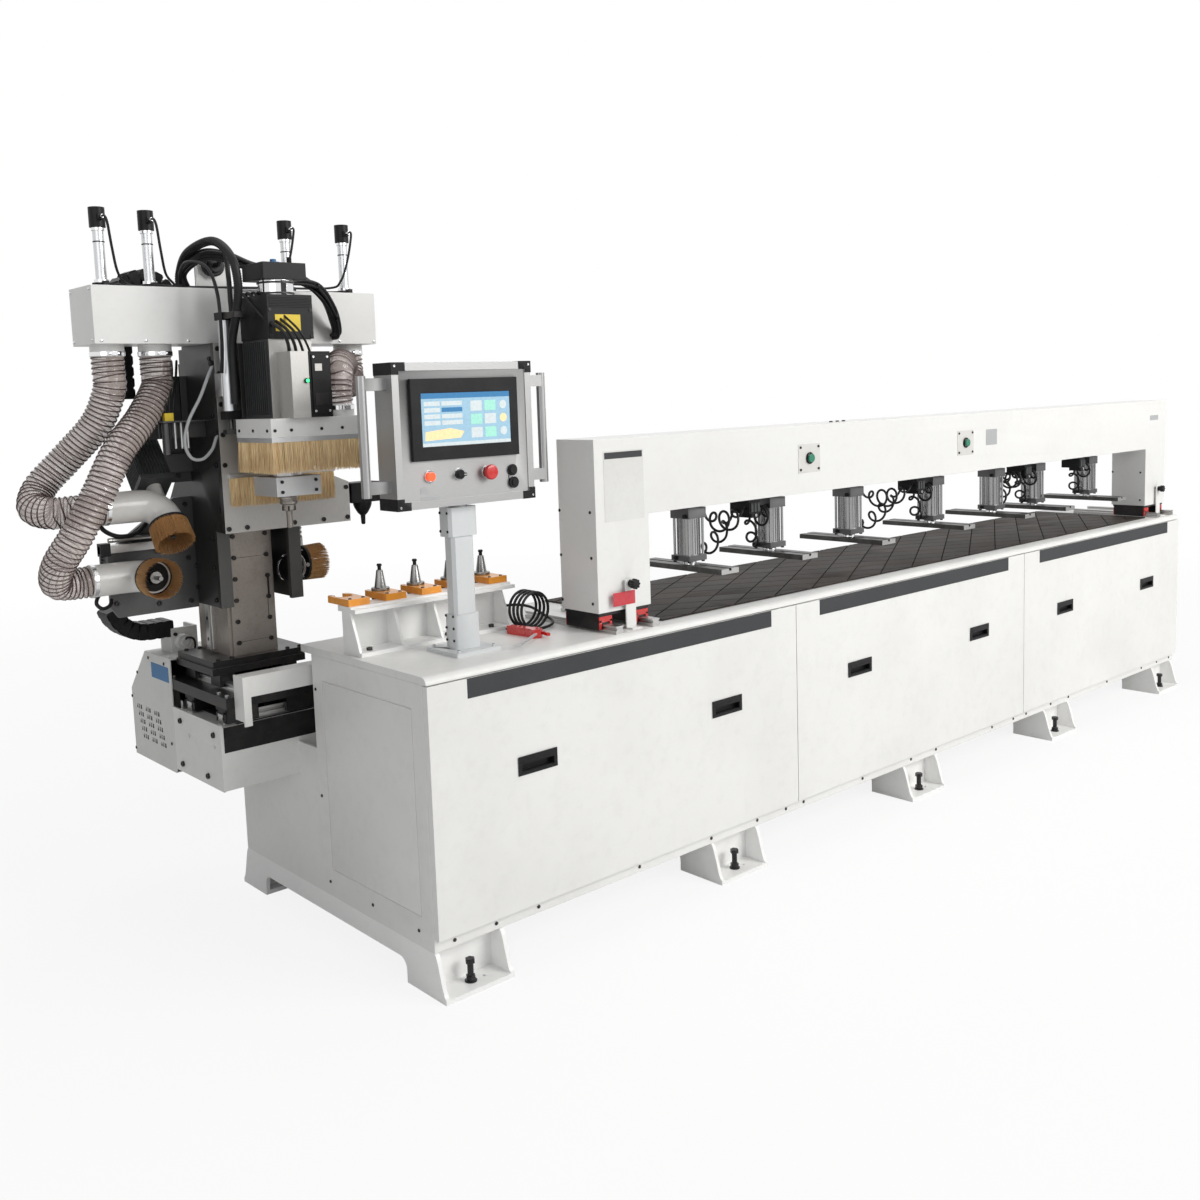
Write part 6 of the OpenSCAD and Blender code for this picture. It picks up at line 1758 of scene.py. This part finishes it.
def build_brush_skirt():
    seed = random.Random(sizes().seed + 3)
    backing = build_skirt_backing()
    x0, x1, y0, y1 = *SKIRT_X, *SKIRT_Y
    w, d = x1 - x0, y1 - y0
    points, facing = [], []
    for _ in range(sizes().skirt_hairs):
        u, inset = seed.uniform(0, 2 * (w + d)), seed.uniform(2.5, 11)
        splay = 0.05 - 0.006 * inset
        if u < w:
            p, out = (x0 + u, y0 + inset), (0, -1)
        elif u < 2 * w:
            p, out = (x0 + u - w, y1 - inset), (0, 1)
        elif u < 2 * w + d:
            p, out = (x0 + inset, y0 + u - 2 * w), (-1, 0)
        else:
            p, out = (x1 - inset, y0 + u - 2 * w - d), (1, 0)
        points.append((min(max(p[0], x0 + 3), x1 - 3), min(max(p[1], y0 + 3), y1 - 3), SKIRT_LOW + 3))
        facing.append((out[0] * splay + seed.uniform(-0.02, 0.02),
                       out[1] * splay + seed.uniform(-0.02, 0.02), -1))
    hairs = bristles("skirt_bristles", points, facing, "router", "pale_bristle", 83, 1.1, 21)
    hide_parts("brush_skirt")
    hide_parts("brush_skirt")


# Press beam

# Places along the beam of its legs, cylinders, valves and buttons, and the ports of a cylinder
PRESS_Y = 148
LEG_X = (624, 4028)
CYL_X = (1070, 1446, 1872, 2378, 2816, 3140, 3601)
VALVE_X = (1296, 2218, 2990, 3451)
BUTTON_X = (1559, 2494)
BEAM_BUTTON_Z = 1243
KNOB_Z = 942
HIGH_PORT_Y, HIGH_PORT_Z = PRESS_Y - 23, 1099
LOW_PORT_Y, LOW_PORT_Z = PRESS_Y + 18, 971


def build_beam_buttons():
    heads = [(x + dx, 68, BEAM_BUTTON_Z + dz) for x in BUTTON_X for dx in (-46, 46) for dz in (-36, 36)]
    bolts("button_plate_screws", heads, TO_FRONT, "portal", 4.2, 2.6)
    collars = Maker()
    for k, x in enumerate(BUTTON_X):
        dress("beam_button_%d" % (k + 1), "green_plastic", bevel=1.6)
        collars.ring((x, 64.4, BEAM_BUTTON_Z), 14.4, 19, 3.6, "y", 0, 36)
    collars.piece("button_collars", "black_plastic", "portal", 0.6)


def build_beam_labels():
    """Blank plates on the beam and its left leg, and the red one under the clamp."""
    patches = Maker()
    patches.block((658, 69.3, 1120), (810, 70, 1316), 1)
    patches.block((662, 69.1, 1294), (806, 69.4, 1312), 2)
    patches.block((2640, 69.3, 1225), (2720, 70, 1285), 0)
    patches.block((4066, 69.3, 1262), (4150, 70, 1284), 0)
    patches.piece("beam_patches", ["grey_label", "cover_paint", "stripe_paint"], "portal", 0.15)
    plate = Maker()
    plate.block((668, 57.0, 884), (752, 57.9, 922))
    plate.piece("clamp_plate", "red_label", "bed", 0.3)


def build_leg_seals():
    """Red wipers at both ends of the trucks under the two legs."""
    seals = Maker()
    for leg_x in LEG_X:
        for x in (leg_x + 31, leg_x + 171):
            for y in (76.5, 216):
                for dx in (-24, 15):
                    seals.block((x + dx, y, 822), (x + dx + 9, y + 3.5, 848))
                seals.block((x - 24, y, 842), (x + 24, y + 3.5, 858))
    seals.piece("leg_truck_seals", "red_plastic", "portal", 0.5)


def build_star_knob(number, x):
    knob = Maker()
    for q in range(8):
        a = math.tau * q / 8
        lobe = (x + 11.4 * math.cos(a), 32.2, KNOB_Z + 11.4 * math.sin(a))
        knob.rod(lobe, 3.4, 15.6, "y", 0, 10, 0.8)
    profile = [(9, 0), (12, 1.2), (12.6, 3), (12.6, 14), (11, 16), (11, 25.6), (6, 25.8), (6, 56)]
    knob.lathe((x, 32, KNOB_Z), profile, "y", 0, 30)
    shown = knob.piece("star_knob_%d" % number, "black_plastic", "knob_%d" % number)
    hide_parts("clamp_knob_%d" % number)


def build_press_beam():
    plates = [((x - 57, 67, 1196), (x + 57, 70.5, 1290), 1) for x in BUTTON_X]
    dress("press_beam", ["white_paint", "pale_plastic"], plates, bevel=2.2)
    build_beam_buttons()
    build_beam_labels()
    for k, x in enumerate(LEG_X):
        spots = [(x, y, z) for y in (93, 222) for z in (895, 1023, 1150)]
        bolts("leg_screws_%d" % (k + 1), spots, TO_LEFT, "portal", 4.5, 2.5, False)
    bolts("beam_top_screws", [(x, PRESS_Y, 1350) for x in (1780, 1815, 1850)], TO_TOP, "portal", 6, 4)
    dress("beam_trucks", "black_steel", bevel=0.8)
    build_leg_seals()
    for k, x in enumerate(LEG_X):
        build_star_knob(k + 1, x + 112)


BARREL_RIBS, BARREL_R = 24, 33


def build_barrel_ribs():
    rib = Maker()
    rib.block((-1.6, -54, -0.6), (1.6, 54, 2.6))
    points, facing = [], []
    for x in CYL_X:
        for k in range(BARREL_RIBS):
            a = math.tau * (k + 0.5) / BARREL_RIBS
            points.append((x + BARREL_R * math.cos(a), PRESS_Y + BARREL_R * math.sin(a), 1035))
            facing.append((math.cos(a), math.sin(a), 0))
    side = [tuple(Vector(TO_TOP).cross(Vector(f))) for f in facing]
    stamp("barrel_ribs", rib, "barrel_chrome", points, facing, side, "portal")


def build_press_fittings():
    """Unions of the cylinders; coils, base and silencer of each valve."""
    fittings = Maker()
    for x in CYL_X:
        for y, z in ((HIGH_PORT_Y, HIGH_PORT_Z), (LOW_PORT_Y, LOW_PORT_Z)):
            for start in (x - 44, x + 37.8):
                fittings.rod((start, y, z), 6.5, 6.2, "x", 0, 16, 0.8)
    for x in VALVE_X:
        for k in range(3):
            fittings.block((x + 5 + 15 * k, 95.5, 1088), (x + 16 + 15 * k, 100, 1116), 1)
        fittings.block((x + 8, 98, 1070), (x + 42, 150, 1083), 0)
        fittings.rod((x + 25, 92, 1078), 5, 8, "y", 2, 14, 0.8)
    fittings.piece("press_fittings", ["black_plastic", "motor_grey", "chrome"], "portal", 0.6)


def build_press_cylinders():
    areas = [((x - 39, 109, 961), (x + 39, 187, 979.5), 1) for x in CYL_X]
    areas += [((x - 39, 109, 1090.5), (x + 39, 187, 1124), 1) for x in CYL_X]
    areas += [((x - 0.5, 99, 1082.5), (x + 50.5, 181, 1124), 2) for x in VALVE_X]
    dress("press_cylinders", ["barrel_chrome", "cap_grey", "black_plastic"], areas, bevel=1.2)
    build_barrel_ribs()
    heads = [(x + a * 30, PRESS_Y + b * 30, 961.5) for x in CYL_X for a in (-1, 1) for b in (-1, 1)]
    bolts("cap_bolts", heads, TO_FLOOR, "portal", 5.5, 4.5)
    build_press_fittings()
    for k, x in enumerate(CYL_X):
        rods = ((x - 29.5, 118, 949.6), (x + 29.5, 178, 1110), 1)
        front_end = ((x - 39, -18.6, 933), (x + 39, -17.6, 951), 2)
        dress("press_foot_%d" % (k + 1), ["bar_grey", "chrome", "ground_steel"], [rods, front_end], bevel=0.7)


CURL_STEPS = 32


def curly(a, b, r, turns):
    """A curly air tube from a to b that hangs in turns of radius r."""
    a, b = Vector(a), Vector(b)
    lead = Vector((8 if b.x > a.x else -8, 0, 0))
    steps = CURL_STEPS * turns
    out = [a]
    for k in range(steps + 1):
        t = k / steps
        g = r * min(1, 3 * t, 3 - 3 * t)
        v = math.tau * k / CURL_STEPS
        out.append(a + lead + (b - a - 2 * lead) * t + Vector((0, g * math.sin(v), g * (math.cos(v) - 1))))
    return out + [b]


# Each press cylinder with its valve and the turns of its two tubes
TUBE_PAIRS = ((0, 0, 4), (1, 0, 3), (2, 1, 5), (3, 1, 3), (4, 2, 4), (5, 2, 3), (6, 3, 3))


def build_air_tubes():
    tubes = Maker()
    for c, v, turns in TUBE_PAIRS:
        on_left = CYL_X[c] < VALVE_X[v]
        xa = CYL_X[c] + (38 if on_left else -38)
        xb = VALVE_X[v] + (0 if on_left else 50)
        high = curly((xa, HIGH_PORT_Y, HIGH_PORT_Z), (xb, PRESS_Y - 30, 1100), 30, turns)
        low = curly((xa, LOW_PORT_Y, LOW_PORT_Z), (xb, PRESS_Y + 12, 1092), 24, turns)
        for path in (high, low):
            path = smooth_route(path, len(path) * 2)
            tubes.tube(even_route(path, 5), 4, 0, 10)
    shown = tubes.piece("curly_air_tubes", "black_cable", "portal")
    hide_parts("air_coils")


# Stage

# Place of the camera in metres, and its yaw, pitch and roll in degrees
CAMERA_AT = (-3.3586, -3.006, 1.480)
CAMERA_TURN = (48.62, -6.37, -1.96)


FLOOR_HALF = 30.0
FLOOR_GLOW = 0.86


def area_light(name, origin, target, size, power, tint=(1, 1, 1)):
    data = bpy.data.lights.new(name, "AREA")
    data.shape = "RECTANGLE"
    data.size, data.size_y = size
    data.energy = power
    data.color = tint
    lamp = bpy.data.objects.new(name, data)
    lamp.location = origin
    lamp.rotation_euler = (Vector(target) - Vector(origin)).to_track_quat("-Z", "Y").to_euler()
    bpy.context.scene.collection.objects.link(lamp)


def build_floor():
    """A white floor that glows for the camera, fully so in the distance."""
    floor_mesh = bpy.data.meshes.new("floor")
    size = FLOOR_HALF
    corners = [(-size, -size, 0), (size, -size, 0), (size, size, 0), (-size, size, 0)]
    floor_mesh.from_pydata(corners, [], [(0, 1, 2, 3)])
    floor = bpy.data.objects.new("floor", floor_mesh)
    bpy.context.scene.collection.objects.link(floor)
    material, tree, shader = new_material("floor_white")
    shader.inputs["Base Color"].default_value = (0.86, 0.86, 0.86, 1)
    shader.inputs["Roughness"].default_value = 0.9
    glow = tree.nodes.new("ShaderNodeEmission")
    glow.inputs["Color"].default_value = (1, 1, 1, 1)
    rays = tree.nodes.new("ShaderNodeLightPath")
    blend = tree.nodes.new("ShaderNodeMixShader")
    away = tree.nodes.new("ShaderNodeVectorMath")
    away.operation = "LENGTH"
    tree.links.new(tree.nodes.new("ShaderNodeNewGeometry").outputs["Position"], away.inputs[0])
    far = math_node(tree, "MULTIPLY", ramp(tree, away.outputs["Value"], 2.0, 7.0), 1 - FLOOR_GLOW)
    glowing = math_node(tree, "ADD", FLOOR_GLOW, far, True)
    share = math_node(tree, "MULTIPLY", rays.outputs["Is Camera Ray"], glowing)
    tree.links.new(share, blend.inputs[0])
    tree.links.new(shader.outputs[0], blend.inputs[1])
    tree.links.new(glow.outputs[0], blend.inputs[2])
    surface = next(n for n in tree.nodes if n.type == "OUTPUT_MATERIAL").inputs["Surface"]
    tree.links.new(blend.outputs[0], surface)
    floor_mesh.materials.append(material)


def build_light():
    """A world that is white where it is seen and dim where it lights, and three lamps."""
    world = bpy.data.worlds.new("studio")
    bpy.context.scene.world = world
    world.use_nodes = True
    tree = world.node_tree
    background = next(n for n in tree.nodes if n.type == "BACKGROUND")
    background.inputs["Color"].default_value = (1.0, 1.0, 1.0, 1)
    rays = tree.nodes.new("ShaderNodeLightPath")
    mirrored = math_node(tree, "MAXIMUM", rays.outputs["Is Glossy Ray"], rays.outputs["Is Transmission Ray"])
    shown = math_node(tree, "MAXIMUM", rays.outputs["Is Camera Ray"], mirrored)
    strength = math_node(tree, "ADD", 0.30, math_node(tree, "MULTIPLY", shown, 0.70))
    tree.links.new(strength, background.inputs["Strength"])
    area_light("key", (2.6, -7.0, 4.6), (0.2, 0, 0.8), (5.0, 4.0), 470, (1, 0.99, 0.97))
    area_light("fill", (-6.0, -4.0, 3.0), (-1.5, 0, 1.0), (4.0, 3.0), 40, (0.96, 0.98, 1))
    area_light("top", (0.0, 0.5, 6.5), (0, 0, 0.5), (8.0, 3.0), 120)


def build_camera():
    """The camera of the photograph, from its yaw, pitch and roll in degrees."""
    scene = bpy.context.scene
    camera_data = bpy.data.cameras.new("photo_view")
    camera_data.sensor_width = 36.0
    camera_data.lens = 36.14
    camera_data.shift_x = 0.0115
    camera_data.shift_y = -0.0613
    camera_data.clip_end = 100
    camera = bpy.data.objects.new("photo_view", camera_data)
    yaw, pitch, roll = (math.radians(a) for a in CAMERA_TURN)
    ahead = Vector((math.cos(yaw) * math.cos(pitch), math.sin(yaw) * math.cos(pitch), math.sin(pitch)))
    right = Vector((math.sin(yaw), -math.cos(yaw), 0))
    up = right.cross(ahead)
    right2 = math.cos(roll) * right + math.sin(roll) * up
    up2 = -math.sin(roll) * right + math.cos(roll) * up
    camera.matrix_world = Matrix.Translation(CAMERA_AT) @ Matrix((right2, up2, -ahead)).transposed().to_4x4()
    scene.collection.objects.link(camera)
    scene.camera = camera
    scene.view_settings.view_transform = "Standard"


def build_stage():
    build_floor()
    build_light()
    build_camera()


# The add-on


class GROOVER_OT_finishes(bpy.types.Operator):
    """Materials and node trees"""

    bl_idname = "groover.finishes"
    bl_label = "Finishes"

    def execute(self, context):
        make_finishes()
        make_trees()
        return {"FINISHED"}


class GROOVER_OT_bed(bpy.types.Operator):
    """Cabinet, table, rear base, feet and rails"""

    bl_idname = "groover.bed"
    bl_label = "Bed"

    def execute(self, context):
        build_bed()
        return {"FINISHED"}


class GROOVER_OT_panels(bpy.types.Operator):
    """Front panels with stripes and pulls"""

    bl_idname = "groover.panels"
    bl_label = "Front panels"

    def execute(self, context):
        build_panels()
        return {"FINISHED"}


class GROOVER_OT_pad(bpy.types.Operator):
    """Grooved rubber pad"""

    bl_idname = "groover.pad"
    bl_label = "Rubber pad"

    def execute(self, context):
        build_pad()
        return {"FINISHED"}


class GROOVER_OT_control_box(bpy.types.Operator):
    """Post, box, screen and controls"""

    bl_idname = "groover.control_box"
    bl_label = "Control box"

    def execute(self, context):
        build_control_box()
        return {"FINISHED"}


class GROOVER_OT_tool_rack(bpy.types.Operator):
    """Rack with forks and taper holders"""

    bl_idname = "groover.tool_rack"
    bl_label = "Tool rack"

    def execute(self, context):
        build_tool_rack()
        return {"FINISHED"}


class GROOVER_OT_air_hose(bpy.types.Operator):
    """Coiled air hose with its gun"""

    bl_idname = "groover.air_hose"
    bl_label = "Air hose"

    def execute(self, context):
        build_air_hose()
        return {"FINISHED"}


class GROOVER_OT_saddle(bpy.types.Operator):
    """Saddle, guard, rear cover, pinion and cross slide"""

    bl_idname = "groover.saddle"
    bl_label = "Saddle"

    def execute(self, context):
        build_saddle()
        return {"FINISHED"}


class GROOVER_OT_column(bpy.types.Operator):
    """Column, rails and lift screw"""

    bl_idname = "groover.column"
    bl_label = "Column"

    def execute(self, context):
        build_column()
        return {"FINISHED"}


class GROOVER_OT_head_plates(bpy.types.Operator):
    """Plates of the head with their bolts"""

    bl_idname = "groover.head_plates"
    bl_label = "Head plates"

    def execute(self, context):
        build_head_plates()
        return {"FINISHED"}


class GROOVER_OT_manifold(bpy.types.Operator):
    """Manifold with gate cylinders and their air tubes"""

    bl_idname = "groover.manifold"
    bl_label = "Dust manifold"

    def execute(self, context):
        build_manifold()
        return {"FINISHED"}


class GROOVER_OT_dust_hoses(bpy.types.Operator):
    """Wire-wound dust hoses"""

    bl_idname = "groover.dust_hoses"
    bl_label = "Dust hoses"

    def execute(self, context):
        build_dust_hoses()
        return {"FINISHED"}


class GROOVER_OT_side_spindles(bpy.types.Operator):
    """Side motors, elbows and noses"""

    bl_idname = "groover.side_spindles"
    bl_label = "Side spindles"

    def execute(self, context):
        build_side_spindles()
        return {"FINISHED"}


class GROOVER_OT_head_brushes(bpy.types.Operator):
    """Round brushes and the bar brush"""

    bl_idname = "groover.head_brushes"
    bl_label = "Head brushes"

    def execute(self, context):
        build_head_brushes()
        return {"FINISHED"}


class GROOVER_OT_cable_loom(bpy.types.Operator):
    """Cable conduit, loom and drag chain of the head"""

    bl_idname = "groover.cable_loom"
    bl_label = "Cables"

    def execute(self, context):
        build_cable_loom()
        return {"FINISHED"}


class GROOVER_OT_router(bpy.types.Operator):
    """Router with hood and collet"""

    bl_idname = "groover.router"
    bl_label = "Router"

    def execute(self, context):
        build_router()
        return {"FINISHED"}


class GROOVER_OT_brush_skirt(bpy.types.Operator):
    """Bristle skirt of the router"""

    bl_idname = "groover.brush_skirt"
    bl_label = "Brush skirt"

    def execute(self, context):
        build_brush_skirt()
        return {"FINISHED"}


class GROOVER_OT_press_beam(bpy.types.Operator):
    """Press beam with buttons, knobs and carriages"""

    bl_idname = "groover.press_beam"
    bl_label = "Press beam"

    def execute(self, context):
        build_press_beam()
        return {"FINISHED"}


class GROOVER_OT_press_cylinders(bpy.types.Operator):
    """Cylinders, fittings and press feet"""

    bl_idname = "groover.press_cylinders"
    bl_label = "Press cylinders"

    def execute(self, context):
        build_press_cylinders()
        return {"FINISHED"}


class GROOVER_OT_air_tubes(bpy.types.Operator):
    """Curly air tubes of the press beam"""

    bl_idname = "groover.air_tubes"
    bl_label = "Air tubes"

    def execute(self, context):
        build_air_tubes()
        return {"FINISHED"}


class GROOVER_OT_stage(bpy.types.Operator):
    """Floor, light and camera"""

    bl_idname = "groover.stage"
    bl_label = "Stage"

    def execute(self, context):
        build_stage()
        return {"FINISHED"}


STEPS = (
    GROOVER_OT_finishes,
    GROOVER_OT_bed,
    GROOVER_OT_panels,
    GROOVER_OT_pad,
    GROOVER_OT_control_box,
    GROOVER_OT_tool_rack,
    GROOVER_OT_air_hose,
    GROOVER_OT_saddle,
    GROOVER_OT_column,
    GROOVER_OT_head_plates,
    GROOVER_OT_manifold,
    GROOVER_OT_dust_hoses,
    GROOVER_OT_side_spindles,
    GROOVER_OT_head_brushes,
    GROOVER_OT_cable_loom,
    GROOVER_OT_router,
    GROOVER_OT_brush_skirt,
    GROOVER_OT_press_beam,
    GROOVER_OT_press_cylinders,
    GROOVER_OT_air_tubes,
    GROOVER_OT_stage,
)


class GROOVER_PT_panel(bpy.types.Panel):
    """Sizes, finishes and build steps of the grooving machine"""

    bl_label = "Grooving machine"
    bl_idname = "GROOVER_PT_panel"
    bl_space_type = "VIEW_3D"
    bl_region_type = "UI"
    bl_category = "Grooving machine"

    def draw(self, context):
        for group in (context.scene.groover_finishes, context.scene.groover_sizes):
            box = self.layout.box()
            for name in group.__annotations__:
                box.prop(group, name)
        for item in STEPS:
            self.layout.operator(item.bl_idname)


CLASSES = (GrooverFinishes, GrooverSizes, *STEPS, GROOVER_PT_panel)


def register():
    for cls in CLASSES:
        bpy.utils.register_class(cls)
    bpy.types.Scene.groover_finishes = PointerProperty(type=GrooverFinishes)
    bpy.types.Scene.groover_sizes = PointerProperty(type=GrooverSizes)


def unregister():
    del bpy.types.Scene.groover_sizes
    del bpy.types.Scene.groover_finishes
    for cls in reversed(CLASSES):
        bpy.utils.unregister_class(cls)


def main():
    register()
    for item in STEPS:
        group, name = item.bl_idname.split(".")
        getattr(getattr(bpy.ops, group), name)()


if __name__ == "__main__":
    main()
